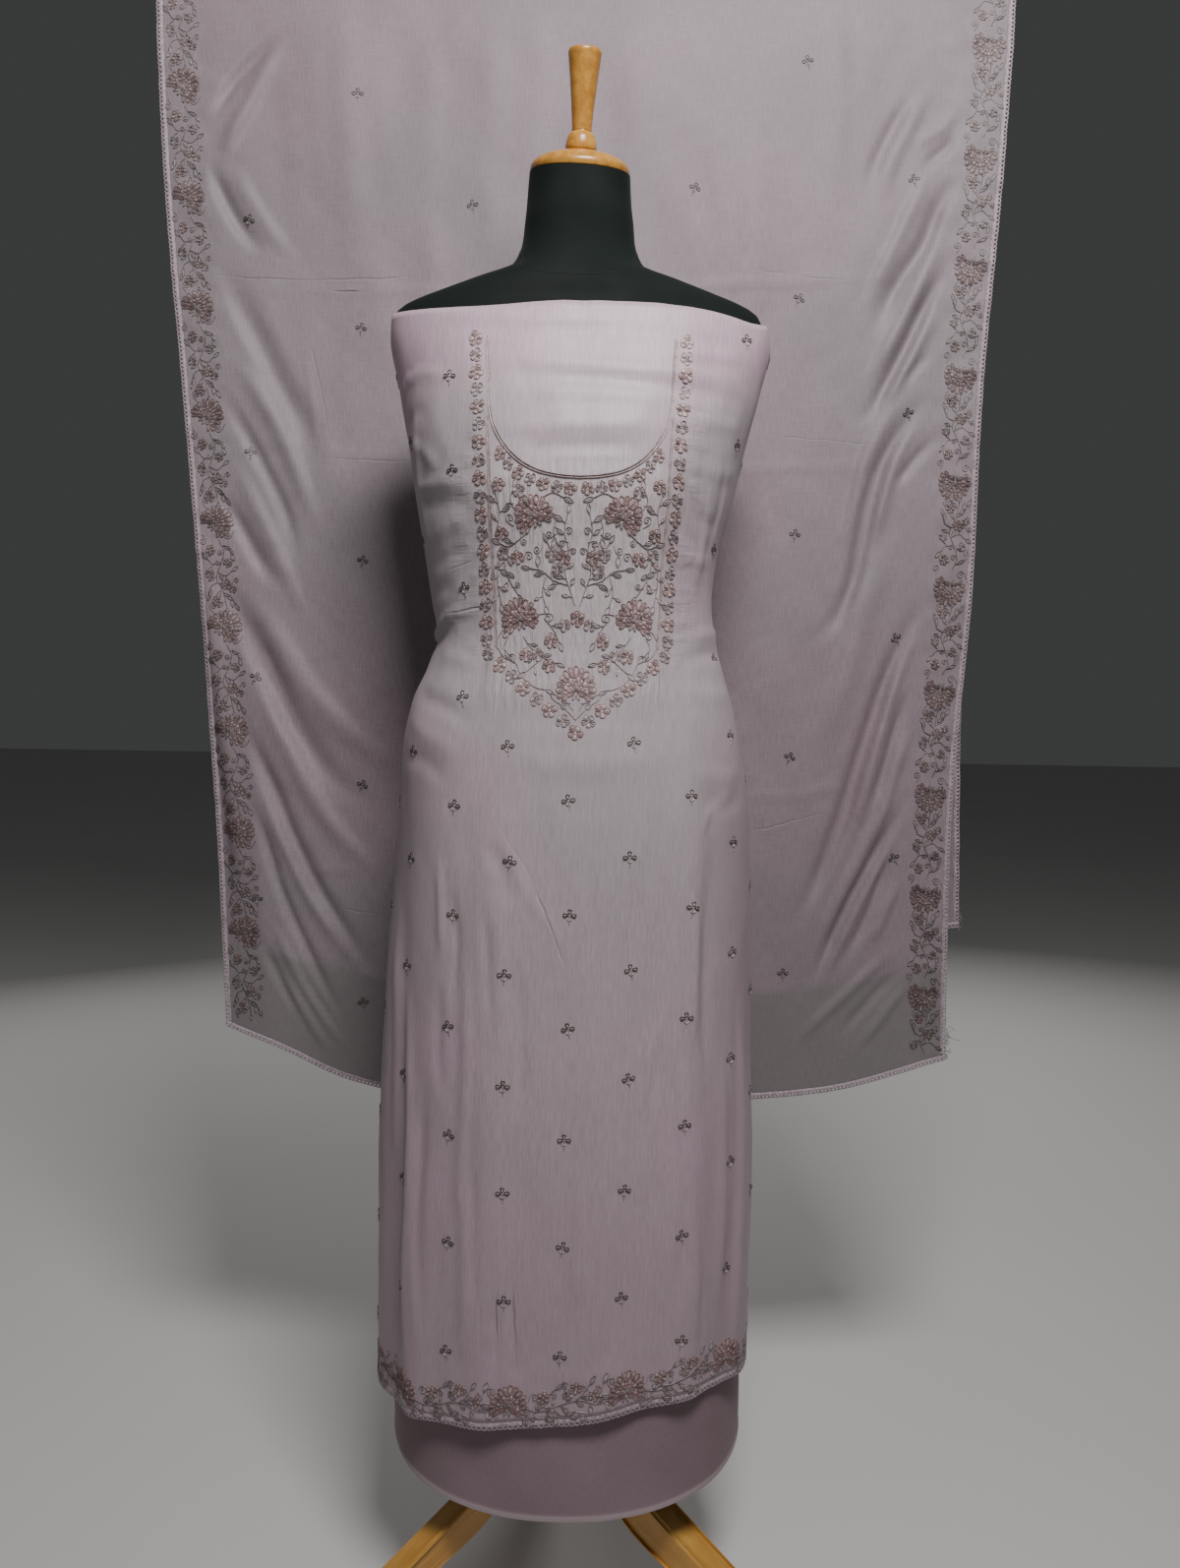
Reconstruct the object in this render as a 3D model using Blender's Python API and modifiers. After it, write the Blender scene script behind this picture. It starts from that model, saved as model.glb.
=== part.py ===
"""Salwar kameez suit on a dress form.

An embroidered kameez length is wrapped straight across the chest of a limbless
dress form and lapped at the centre back. A plain bottom cloth (the salwar length)
is wrapped round the hips under it. The dupatta hangs folded over a rod behind the
form. Metres, +Z up, floor at z = 0, front towards -Y.
"""
import math
from collections import namedtuple

import bmesh
import bpy
import numpy as np
from mathutils import Euler, Vector

# ---------------------------------------------------------------- driving sizes
FORM_AXIS_Y = -0.065        # the form's upright axis, in front of the set's middle
ROD_BEHIND_AXIS = 0.195     # the rod stands this far behind the form's axis
CLOTH = 0.0016              # wall of every cloth
SEAM_GAP = 0.0003           # pieces that meet stand this far apart
LACE_WIDTH = 0.008          # crochet edging round kameez hem and dupatta

ROUND_SIDES = 24            # sides of turned wood and of the rod
FORM_COLUMNS = 36
KAMEEZ_COLUMNS, KAMEEZ_ROWS = 60, 26
SALWAR_COLUMNS, SALWAR_ROWS = 44, 12
DUPATTA_COLUMNS, FRONT_ROWS, BACK_ROWS, OVER_ROWS = 24, 20, 10, 8

# Each ring is a rounded oval: reach to the left, right, front and back of the axis.
Ring = namedtuple("Ring", "z left right front back")
KAMEEZ_RINGS = [
    Ring(1.335, 0.187, 0.188, 0.083, 0.079),    # shoulder points
    Ring(1.310, 0.188, 0.193, 0.090, 0.083),
    Ring(1.260, 0.179, 0.184, 0.106, 0.090),
    Ring(1.200, 0.169, 0.169, 0.121, 0.096),    # bust
    Ring(1.150, 0.162, 0.158, 0.122, 0.097),
    Ring(1.090, 0.151, 0.143, 0.113, 0.092),
    Ring(1.050, 0.145, 0.140, 0.108, 0.088),
    Ring(1.015, 0.140, 0.145, 0.106, 0.086),    # waist
    Ring(0.985, 0.148, 0.153, 0.108, 0.090),
    Ring(0.955, 0.162, 0.162, 0.113, 0.099),
    Ring(0.915, 0.172, 0.171, 0.119, 0.112),
    Ring(0.850, 0.177, 0.182, 0.124, 0.126),
    Ring(0.780, 0.181, 0.185, 0.127, 0.131),    # hips
    Ring(0.620, 0.189, 0.188, 0.130, 0.133),
    Ring(0.440, 0.194, 0.195, 0.134, 0.134),
    Ring(0.230, 0.196, 0.196, 0.138, 0.136),
    Ring(0.100, 0.196, 0.196, 0.140, 0.138),
]
RING_SQUARENESS = 2.25      # 2 is an ellipse, more is squarer

KAMEEZ_LAP_DEG = 20         # each end runs this far past the centre back
SALWAR_LAP_DEG = 15
WRAP_STEP = 0.0025          # the wrap moves out by twice this from end to end

# Height of an edge round the form, by angle from the front (+ is to the right).
Edge = namedtuple("Edge", "angle_deg z")
KAMEEZ_TOP = [
    Edge(-180, 1.322), Edge(-90, 1.333), Edge(-60, 1.327), Edge(-25, 1.322),
    Edge(0, 1.327), Edge(35, 1.325), Edge(60, 1.320), Edge(90, 1.329), Edge(180, 1.322),
]
KAMEEZ_HEM = [
    Edge(-180, 0.250), Edge(-90, 0.240), Edge(-45, 0.236), Edge(-15, 0.244), Edge(0, 0.250),
    Edge(20, 0.262), Edge(45, 0.266), Edge(90, 0.262), Edge(180, 0.250),
]
SALWAR_TOP_Z = 0.985
SALWAR_ROWS_CROWD_UP = 1.7  # above 1, rows stand closer where the hips swell
SALWAR_HEM = [
    Edge(-180, 0.170), Edge(-90, 0.178), Edge(-45, 0.158), Edge(0, 0.149),
    Edge(45, 0.158), Edge(90, 0.175), Edge(180, 0.170),
]

# Soft upright folds of the skirt: how far each stands out, and where it fades.
SkirtFold = namedtuple("SkirtFold", "angle_deg width_deg out z_low z_high")
KAMEEZ_FOLDS = [
    SkirtFold(-72, 14, 0.0050, 0.10, 0.80),
    SkirtFold(-46, 11, 0.0060, 0.10, 0.55),
    SkirtFold(-20, 12, 0.0035, 0.10, 0.90),
    SkirtFold(9, 12, 0.0030, 0.10, 0.75),
    SkirtFold(36, 12, 0.0045, 0.10, 0.95),
    SkirtFold(66, 13, 0.0050, 0.10, 0.70),
    SkirtFold(112, 15, 0.0060, 0.10, 0.85),
    SkirtFold(150, 14, 0.0050, 0.10, 0.75),
    SkirtFold(-112, 14, 0.0055, 0.10, 0.80),
    SkirtFold(-148, 15, 0.0060, 0.10, 0.90),
]
FOLD_FADE = 0.16            # height over which a skirt fold dies away

# The bottom cloth hangs inside the kameez by these amounts, left and right.
Inset = namedtuple("Inset", "z left right depth")
SALWAR_INSETS = [
    Inset(1.00, 0.0080, 0.0080, 0.008), Inset(0.60, 0.0085, 0.0080, 0.008),
    Inset(0.27, 0.0140, 0.0080, 0.009), Inset(0.10, 0.0185, 0.0050, 0.005),
]

# The dress form: neck and shoulders, then the kameez rings drawn in.
SHOULDER_RINGS = [
    Ring(1.4740, 0.0500, 0.0505, 0.0495, 0.0515),
    Ring(1.4300, 0.0535, 0.0540, 0.0525, 0.0555),
    Ring(1.3930, 0.0600, 0.0600, 0.057, 0.061),
    Ring(1.3785, 0.0690, 0.0690, 0.062, 0.066),
    Ring(1.3700, 0.0880, 0.0880, 0.066, 0.069),
    Ring(1.3640, 0.1080, 0.1080, 0.069, 0.071),
    Ring(1.3570, 0.1290, 0.1290, 0.071, 0.072),
    Ring(1.3490, 0.1520, 0.1520, 0.073, 0.073),
    Ring(1.3420, 0.1705, 0.1705, 0.074, 0.073),
    Ring(1.3360, 0.1810, 0.1810, 0.075, 0.073),
]
BODY_LEVELS = [1.318, 1.285, 1.245, 1.200, 1.150, 1.100, 1.055, 1.020, 0.985,
               0.955, 0.915, 0.870, 0.820, 0.770, 0.752]
BODY_FOOT_Z = 0.742
BODY_FOOT_DRAW_IN = 0.012
BODY_GAP_ABOVE_WAIST, BODY_GAP_BELOW_WAIST = 0.0042, 0.0123
GAP_CHANGE_TOP, GAP_CHANGE_FOOT = 1.020, 0.985

# Turned wood, as (radius, height) outlines.
NECK_TOP_Z = SHOULDER_RINGS[0].z
NECK_TILT_DEG, NECK_LEAN_DEG = 10.3, 1.9      # the neck is cut lower at the front and right
CAP_BASE_Z = NECK_TOP_Z + SEAM_GAP
CAP_RADIUS, CAP_HEIGHT = 0.0497, 0.021
FINIAL_BASE_Z = CAP_BASE_Z + CAP_HEIGHT + SEAM_GAP      # measured up the neck's own axis
FINIAL_OUTLINE = [          # radius, height above its base: a bead, then a cone that widens
    (0.0000, 0.0000), (0.0147, 0.0000), (0.0155, 0.0025), (0.0152, 0.0070),
    (0.0140, 0.0120), (0.0117, 0.0160), (0.0095, 0.0181), (0.0099, 0.0233),
    (0.0115, 0.0432), (0.0138, 0.0648), (0.0160, 0.0837), (0.0164, 0.0873),
    (0.0153, 0.0900), (0.0000, 0.0912),
]

# Pole, hub and three legs.
POLE_RADIUS = 0.017
HUB_RADIUS, HUB_LOW_Z, HUB_TOP_Z = 0.036, 0.112, 0.225
LEG_ANGLES = {"leg_front_left": 210, "leg_front_right": 330, "leg_rear": 90}
LegStation = namedtuple("LegStation", "low_r low_z top_r top_z width")
LEG_STATIONS = [
    LegStation(0.0365, 0.140, 0.0365, 0.200, 0.036),
    LegStation(0.0600, 0.126, 0.0660, 0.176, 0.036),
    LegStation(0.0900, 0.090, 0.1080, 0.130, 0.036),
    LegStation(0.1400, 0.059, 0.1600, 0.094, 0.036),
    LegStation(0.1950, 0.030, 0.2100, 0.062, 0.036),
    LegStation(0.2350, 0.000, 0.2500, 0.036, 0.038),
    LegStation(0.2950, 0.000, 0.2930, 0.014, 0.040),
]
LEG_CORNER = 0.004          # bevel of the leg's long edges

# Dupatta: its outline, seen from the front.
ROD_Z, ROD_RADIUS, ROD_LENGTH = 1.790, 0.0125, 1.100
ROD_CLEARANCE = 0.0006
Side = namedtuple("Side", "z left right")
FRONT_SIDES = [
    Side(1.80, -0.486, 0.489), Side(1.52, -0.477, 0.478), Side(1.30, -0.460, 0.467),
    Side(1.07, -0.443, 0.465), Side(0.84, -0.429, 0.453), Side(0.45, -0.412, 0.459),
]
BACK_SIDES = [
    Side(1.80, -0.486, 0.489), Side(1.52, -0.474, 0.483), Side(1.30, -0.455, 0.475),
    Side(1.04, -0.437, 0.470), Side(0.84, -0.428, 0.474), Side(0.65, -0.420, 0.481),
]
Hem = namedtuple("Hem", "x z")
FRONT_HEM = [
    Hem(-0.415, 0.550), Hem(-0.335, 0.516), Hem(-0.275, 0.488), Hem(-0.225, 0.473),
    Hem(0.000, 0.456), Hem(0.220, 0.467), Hem(0.330, 0.481), Hem(0.460, 0.521),
]
BACK_HEM = [Hem(-0.425, 0.690), Hem(-0.200, 0.640), Hem(0.200, 0.632), Hem(0.479, 0.675)]

# Hanging folds: a ridge from its upper end to its lower end, standing out by `out`.
HangFold = namedtuple("HangFold", "x_up z_up x_low z_low width out")
FRONT_FOLDS = [
    HangFold(-0.44, 1.75, -0.36, 1.28, 0.060, 0.010),
    HangFold(-0.40, 1.36, -0.31, 1.02, 0.055, 0.011),
    HangFold(-0.41, 1.05, -0.22, 0.53, 0.060, 0.014),
    HangFold(-0.38, 0.86, -0.24, 0.48, 0.050, 0.010),
    HangFold(0.45, 1.60, 0.33, 1.22, 0.060, 0.012),
    HangFold(0.43, 1.30, 0.32, 1.04, 0.055, 0.010),
    HangFold(0.42, 0.98, 0.33, 0.52, 0.060, 0.012),
    HangFold(0.12, 1.72, 0.14, 0.80, 0.090, 0.006),
    HangFold(-0.14, 1.70, -0.10, 0.90, 0.090, 0.006),
]
BACK_FOLDS = [
    HangFold(-0.36, 1.72, -0.30, 0.72, 0.080, 0.010),
    HangFold(-0.08, 1.70, -0.05, 0.66, 0.090, 0.008),
    HangFold(0.18, 1.72, 0.22, 0.68, 0.080, 0.010),
    HangFold(0.40, 1.66, 0.38, 0.74, 0.060, 0.008),
]

Finish = namedtuple("Finish", "colour roughness metallic")
FINISHES = {
    "kameez_crepe": Finish((0.50, 0.44, 0.48), 0.45, 0.0),
    "salwar_cloth": Finish((0.17, 0.12, 0.14), 0.75, 0.0),
    "dupatta_silk": Finish((0.36, 0.31, 0.34), 0.45, 0.0),
    "lace_thread": Finish((0.42, 0.34, 0.39), 0.60, 0.0),
    "form_jersey": Finish((0.012, 0.018, 0.017), 0.85, 0.0),
    "varnished_wood": Finish((0.50, 0.24, 0.06), 0.35, 0.0),
}
COLLECTION = "salwar_kameez_suit"


# ---------------------------------------------------------------- scene and materials
def clear_scene():
    for item in list(bpy.data.objects):
        bpy.data.objects.remove(item, do_unlink=True)


def make_material(name):
    finish = FINISHES[name]
    material = bpy.data.materials.new(name)
    material.use_nodes = True
    shader = material.node_tree.nodes["Principled BSDF"]
    shader.inputs["Base Color"].default_value = (*finish.colour, 1.0)
    shader.inputs["Roughness"].default_value = finish.roughness
    shader.inputs["Metallic"].default_value = finish.metallic
    return material


def add_object(name, mesh, material, parent, collection):
    part = bpy.data.objects.new(name, mesh)
    part.parent = parent
    mesh.materials.append(material)
    collection.objects.link(part)
    return part


def add_empty(name, location, collection):
    empty = bpy.data.objects.new(name, None)
    empty.location = location
    collection.objects.link(empty)
    return empty


# ---------------------------------------------------------------- curves and tables
def column(rows, name):
    return np.array([getattr(row, name) for row in rows])


def smooth_value(at, known, values):
    """Cubic curve through table values, read at `at` (known may rise or fall)."""
    order = np.argsort(known)
    known, values = known[order], values[order]
    slopes = np.gradient(values, known)
    at = min(max(at, known[0]), known[-1])
    i = int(min(max(np.searchsorted(known, at) - 1, 0), len(known) - 2))
    span = known[i + 1] - known[i]
    t = (at - known[i]) / span
    start = (1 + 2 * t) * (1 - t) ** 2 * values[i] + t * (1 - t) ** 2 * span * slopes[i]
    end = t * t * (3 - 2 * t) * values[i + 1] + t * t * (t - 1) * span * slopes[i + 1]
    return float(start + end)


def ring_at(rings, z):
    known = column(rings, "z")
    reach = [smooth_value(z, known, column(rings, side)) for side in Ring._fields[1:]]
    return Ring(z, *reach)


def edge_height(edges, angle):
    wrapped = math.degrees(math.atan2(math.sin(angle), math.cos(angle)))
    return smooth_value(wrapped, column(edges, "angle_deg"), column(edges, "z"))


def smooth_step(low, high, value):
    t = min(max((value - low) / (high - low), 0.0), 1.0)
    return t * t * (3 - 2 * t)


def ring_point(ring, angle, out=0.0):
    """A point of the ring at an angle from the front, moved out from the axis."""
    sine, cosine = math.sin(angle), math.cos(angle)
    across = (ring.right if sine > 0 else ring.left) + out
    deep = (ring.front if cosine > 0 else ring.back) + out
    power = 2 / RING_SQUARENESS
    x = math.copysign(abs(sine) ** power, sine) * across
    y = -math.copysign(abs(cosine) ** power, cosine) * deep
    return x, y, ring.z


def on_tilted_neck(point):
    """A point above or round the neck's top, turned with the slanting cut of the neck."""
    middle = Vector((0.0, 0.0, NECK_TOP_Z))
    turn = Euler((math.radians(NECK_TILT_DEG), math.radians(NECK_LEAN_DEG), 0.0)).to_matrix()
    return tuple(middle + turn @ (Vector(point) - middle))


# ---------------------------------------------------------------- mesh builders
def grid_mesh(name, rows):
    """A sheet through rows of points."""
    wide = len(rows[0])
    points = [point for row in rows for point in row]
    faces = []
    for r in range(len(rows) - 1):
        for c in range(wide - 1):
            corner = r * wide + c
            faces.append((corner, corner + 1, corner + wide + 1, corner + wide))
    mesh = bpy.data.meshes.new(name)
    mesh.from_pydata(points, [], faces)
    return mesh


def closed_loft(name, rings):
    """A solid through closed rings of points, with a flat face at each end."""
    around = len(rings[0])
    points = [point for ring in rings for point in ring]
    faces = [tuple(range(around))]
    for r in range(len(rings) - 1):
        for c in range(around):
            after = (c + 1) % around
            faces.append((r * around + c, r * around + after,
                          (r + 1) * around + after, (r + 1) * around + c))
    faces.append(tuple(range(len(points) - around, len(points))))
    mesh = bpy.data.meshes.new(name)
    mesh.from_pydata(points, [], faces)
    face_outward(mesh)
    return mesh


def face_outward(mesh):
    shape = bmesh.new()
    shape.from_mesh(mesh)
    bmesh.ops.recalc_face_normals(shape, faces=shape.faces)
    shape.to_mesh(mesh)
    shape.free()


def add_cloth(name, rows, material, parent, collection):
    """A cloth wall of even thickness about a sheet of points."""
    part = add_object(name, grid_mesh(name, rows), material, parent, collection)
    wall = part.modifiers.new("wall", "SOLIDIFY")
    wall.thickness = CLOTH
    wall.offset = 0.0
    wall.use_even_offset = True
    return part


def add_turned(name, outline, base_z, material, parent, collection):
    """A turned solid: an outline of (radius, height) points spun about the axis."""
    mesh = bpy.data.meshes.new(name)
    points = [(radius, 0.0, height) for radius, height in outline]
    mesh.from_pydata(points, [(i, i + 1) for i in range(len(points) - 1)], [])
    part = add_object(name, mesh, material, parent, collection)
    part.location.z = base_z
    spin = part.modifiers.new("spin", "SCREW")
    spin.steps = ROUND_SIDES
    spin.render_steps = ROUND_SIDES
    spin.use_merge_vertices = True
    spin.merge_threshold = 1e-5
    spin.use_normal_calculate = True
    return part


def add_cylinder(name, radius, length, material, parent, collection):
    mesh = bpy.data.meshes.new(name)
    shape = bmesh.new()
    bmesh.ops.create_cone(shape, cap_ends=True, segments=ROUND_SIDES,
                          radius1=radius, radius2=radius, depth=length)
    shape.to_mesh(mesh)
    shape.free()
    return add_object(name, mesh, material, parent, collection)


# ---------------------------------------------------------------- wrapped cloths
def skirt_fold_out(angle, z):
    """How far the kameez skirt's folds stand out at a point."""
    out = 0.0
    for fold in KAMEEZ_FOLDS:
        away = math.radians(fold.angle_deg) - angle
        away = abs(math.degrees(math.atan2(math.sin(away), math.cos(away))))
        if away < fold.width_deg:
            ridge = 0.5 + 0.5 * math.cos(math.pi * away / fold.width_deg)
            out += fold.out * ridge * (1 - smooth_step(fold.z_high - FOLD_FADE, fold.z_high, z))
    return out


def kameez_point(angle, z, turn):
    """Middle of the kameez wall; turn runs from -1 to 1 along the wrap."""
    out = WRAP_STEP * turn + skirt_fold_out(angle, z)
    return ring_point(ring_at(KAMEEZ_RINGS, z), angle, out)


def salwar_point(angle, z, turn):
    """Middle of the bottom cloth's wall, inside the kameez rings."""
    outer = ring_at(KAMEEZ_RINGS, z)
    known = column(SALWAR_INSETS, "z")
    left, right, depth = (smooth_value(z, known, column(SALWAR_INSETS, side))
                          for side in Inset._fields[1:])
    ring = Ring(z, outer.left - left, outer.right - right,
                outer.front - depth, outer.back - depth)
    return ring_point(ring, angle, 0.8 * WRAP_STEP * turn)


def wrap_rows(point_at, low_edge, high_edge, lap_deg, columns, heights):
    """Rows of points round the form; heights run from 0 at the low edge to 1."""
    rows = []
    reach = math.pi + math.radians(lap_deg)
    for height in heights:
        row = []
        for c in range(columns + 1):
            turn = 2 * c / columns - 1
            angle = turn * reach
            low, high = low_edge(angle), high_edge(angle)
            row.append(point_at(angle, low + height * (high - low), turn))
        rows.append(row)
    return rows


def build_kameez(materials, axis, collection):
    def hem_top(angle):
        return edge_height(KAMEEZ_HEM, angle) + LACE_WIDTH

    def top(angle):
        return edge_height(KAMEEZ_TOP, angle)

    heights = np.linspace(0, 1, KAMEEZ_ROWS)
    rows = wrap_rows(kameez_point, hem_top, top, KAMEEZ_LAP_DEG, KAMEEZ_COLUMNS, heights)
    add_cloth("kameez", rows, materials["kameez_crepe"], axis, collection)


def build_kameez_lace(materials, axis, collection):
    def hem(angle):
        return edge_height(KAMEEZ_HEM, angle)

    def hem_top(angle):
        return hem(angle) + LACE_WIDTH - SEAM_GAP

    rows = wrap_rows(kameez_point, hem, hem_top, KAMEEZ_LAP_DEG, KAMEEZ_COLUMNS, [0, 1])
    add_cloth("kameez_hem_lace", rows, materials["lace_thread"], axis, collection)


def build_salwar(materials, axis, collection):
    def hem(angle):
        return edge_height(SALWAR_HEM, angle)

    def top(_angle):
        return SALWAR_TOP_Z

    heights = 1 - np.linspace(1, 0, SALWAR_ROWS) ** SALWAR_ROWS_CROWD_UP
    rows = wrap_rows(salwar_point, hem, top, SALWAR_LAP_DEG, SALWAR_COLUMNS, heights)
    add_cloth("salwar_cloth", rows, materials["salwar_cloth"], axis, collection)


# ---------------------------------------------------------------- dress form
def drawn_in(ring, gap):
    return Ring(ring.z, ring.left - gap, ring.right - gap, ring.front - gap, ring.back - gap)


def body_ring(z):
    """The form inside the kameez, with room left for the cloths over it."""
    below = 1 - smooth_step(GAP_CHANGE_FOOT, GAP_CHANGE_TOP, z)
    gap = BODY_GAP_ABOVE_WAIST + below * (BODY_GAP_BELOW_WAIST - BODY_GAP_ABOVE_WAIST)
    return drawn_in(ring_at(KAMEEZ_RINGS, z), gap)


def build_form(materials, axis, collection):
    levels = SHOULDER_RINGS + [body_ring(z) for z in BODY_LEVELS]
    foot = drawn_in(body_ring(BODY_FOOT_Z), BODY_FOOT_DRAW_IN)
    angles = [2 * math.pi * c / FORM_COLUMNS for c in range(FORM_COLUMNS)]
    rings = [[ring_point(ring, angle) for angle in angles] for ring in levels + [foot]]
    rings[0] = [on_tilted_neck(point) for point in rings[0]]
    add_object("form_body", closed_loft("form_body", rings), materials["form_jersey"],
               axis, collection)


def cap_outline():
    """A flat-bottomed disc with a small upright edge and a low dome over it."""
    rim_height = 0.004
    dome_points = 6
    outline = [(0.0, 0.0), (CAP_RADIUS - 0.001, 0.0), (CAP_RADIUS, rim_height)]
    for i in range(1, dome_points + 1):
        turn = math.pi / 2 * i / dome_points
        height = rim_height + (CAP_HEIGHT - rim_height) * math.sin(turn)
        outline.append((CAP_RADIUS * math.cos(turn), height))
    outline[-1] = (0.0, CAP_HEIGHT)
    return outline


def build_wood(materials, axis, collection):
    wood = materials["varnished_wood"]
    for name, outline, base_z in (("form_neck_cap", cap_outline(), CAP_BASE_Z),
                                  ("form_finial", FINIAL_OUTLINE, FINIAL_BASE_Z)):
        part = add_turned(name, outline, base_z, wood, axis, collection)
        part.location = on_tilted_neck((0.0, 0.0, base_z))
        part.rotation_euler = (math.radians(NECK_TILT_DEG), math.radians(NECK_LEAN_DEG), 0.0)

    pole_low, pole_high = HUB_TOP_Z + SEAM_GAP, BODY_FOOT_Z - SEAM_GAP
    pole = add_cylinder("form_pole", POLE_RADIUS, pole_high - pole_low, wood, axis, collection)
    pole.location.z = (pole_low + pole_high) / 2
    hub = add_cylinder("tripod_hub", HUB_RADIUS, HUB_TOP_Z - HUB_LOW_Z, wood, axis, collection)
    hub.location.z = (HUB_LOW_Z + HUB_TOP_Z) / 2

    for name, degrees in LEG_ANGLES.items():
        rings = [leg_ring(station) for station in LEG_STATIONS]
        leg = add_object(name, closed_loft(name, rings), wood, axis, collection)
        leg.rotation_euler.z = math.radians(degrees)


def leg_ring(station):
    """The leg's section from its lower line to its upper line, long edges bevelled."""
    half = station.width / 2
    run, rise = station.top_r - station.low_r, station.top_z - station.low_z
    cut = LEG_CORNER / math.hypot(run, rise)
    ring = []
    for along, across in ((0, half - LEG_CORNER), (cut, half), (1 - cut, half),
                          (1, half - LEG_CORNER), (1, LEG_CORNER - half), (1 - cut, -half),
                          (cut, -half), (0, LEG_CORNER - half)):
        ring.append((station.low_r + along * run, across, station.low_z + along * rise))
    return ring


# ---------------------------------------------------------------- dupatta and rod
CLOTH_BEND = ROD_RADIUS + ROD_CLEARANCE + CLOTH / 2   # bend radius at mid-wall


def side_x(sides, z, across):
    """Across the cloth from its left edge (0) to its right edge (1)."""
    known = column(sides, "z")
    left = smooth_value(z, known, column(sides, "left"))
    right = smooth_value(z, known, column(sides, "right"))
    return left + across * (right - left)


def hang_fold_out(folds, x, z):
    """How far the hanging folds stand out of the flat at a point."""
    out = 0.0
    for fold in folds:
        run, rise = fold.x_low - fold.x_up, fold.z_low - fold.z_up
        length = math.hypot(run, rise)
        along = ((x - fold.x_up) * run + (z - fold.z_up) * rise) / length ** 2
        away = abs((x - fold.x_up) * rise - (z - fold.z_up) * run) / length
        if 0 < along < 1 and away < fold.width:
            out += fold.out * math.sin(math.pi * along) * (0.5 + 0.5 * math.cos(
                math.pi * away / fold.width))
    return out


def hang_point(layer, across, down):
    """Middle of a hanging layer's wall; down is 0 at the rod and 1 at the hem."""
    hem = layer.hem
    foot_x = side_x(layer.sides, min(row.z for row in hem), across)
    foot_z = smooth_value(foot_x, column(hem, "x"), column(hem, "z"))
    z = ROD_Z + down * (foot_z - ROD_Z)
    x = side_x(layer.sides, z, across)
    out = hang_fold_out(layer.folds, x, z) * smooth_step(0, 0.06, down)
    return x, layer.facing * (CLOTH_BEND + out), z


Layer = namedtuple("Layer", "name sides hem folds facing rows")
LAYERS = [
    Layer("front", FRONT_SIDES, FRONT_HEM, FRONT_FOLDS, -1, FRONT_ROWS),
    Layer("back", BACK_SIDES, BACK_HEM, BACK_FOLDS, 1, BACK_ROWS),
]


def layer_rows(layer, across_stops, down_stops):
    return [[hang_point(layer, across, down) for across in across_stops]
            for down in down_stops]


def build_layer(layer, materials, rod_axis, collection):
    """One hanging layer with its lace down both sides and along the hem."""
    silk, thread = materials["dupatta_silk"], materials["lace_thread"]
    width = layer.sides[0].right - layer.sides[0].left
    drop = ROD_Z - min(row.z for row in layer.hem)
    side, gap = LACE_WIDTH / width, SEAM_GAP / width
    foot, foot_gap, top_gap = LACE_WIDTH / drop, SEAM_GAP / drop, 2 * SEAM_GAP / drop

    across = np.linspace(side, 1 - side, DUPATTA_COLUMNS + 1)
    down = np.linspace(top_gap, 1 - foot, layer.rows + 1)
    add_cloth(f"dupatta_{layer.name}", layer_rows(layer, across, down), silk,
              rod_axis, collection)
    strips = {"left": (0.0, side - gap), "right": (1 - side + gap, 1.0)}
    for side_name, stops in strips.items():
        add_cloth(f"lace_{layer.name}_{side_name}", layer_rows(layer, stops, down),
                  thread, rod_axis, collection)
    hem_across = np.concatenate([[0.0], across, [1.0]])
    add_cloth(f"lace_{layer.name}_hem",
              layer_rows(layer, hem_across, (1 - foot + foot_gap, 1.0)),
              thread, rod_axis, collection)


def build_over_rod(materials, rod_axis, collection):
    """The stretch that bends over the rod and joins the two layers."""
    top = FRONT_SIDES[0]
    across = np.linspace(top.left, top.right, DUPATTA_COLUMNS // 2 + 1)
    rows = []
    for r in range(OVER_ROWS + 1):
        turn = math.pi * r / OVER_ROWS
        y, z = -CLOTH_BEND * math.cos(turn), ROD_Z + CLOTH_BEND * math.sin(turn)
        rows.append([(x, y, z) for x in across])
    add_cloth("dupatta_over_rod", rows, materials["dupatta_silk"], rod_axis, collection)


def build_rod(materials, rod_axis, collection):
    rod = add_cylinder("dupatta_rod", ROD_RADIUS, ROD_LENGTH, materials["varnished_wood"],
                       rod_axis, collection)
    rod.location.z = ROD_Z
    rod.rotation_euler.y = math.pi / 2


def build():
    clear_scene()
    collection = bpy.data.collections.new(COLLECTION)
    bpy.context.scene.collection.children.link(collection)
    materials = {name: make_material(name) for name in FINISHES}
    axis = add_empty("form_axis", (0, FORM_AXIS_Y, 0), collection)
    rod_axis = add_empty("rod_axis", (0, FORM_AXIS_Y + ROD_BEHIND_AXIS, 0), collection)

    build_form(materials, axis, collection)
    build_wood(materials, axis, collection)
    build_salwar(materials, axis, collection)
    build_kameez(materials, axis, collection)
    build_kameez_lace(materials, axis, collection)
    build_rod(materials, rod_axis, collection)
    build_over_rod(materials, rod_axis, collection)
    for layer in LAYERS:
        build_layer(layer, materials, rod_axis, collection)


build()
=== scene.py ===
"""Salwar kameez suit on a dress form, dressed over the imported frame.

Metres, +Z up, floor at z = 0, front towards -Y.
"""
import math
import random
from collections import namedtuple

import bpy
import numpy as np
from mathutils import Euler, Matrix, Vector


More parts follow.
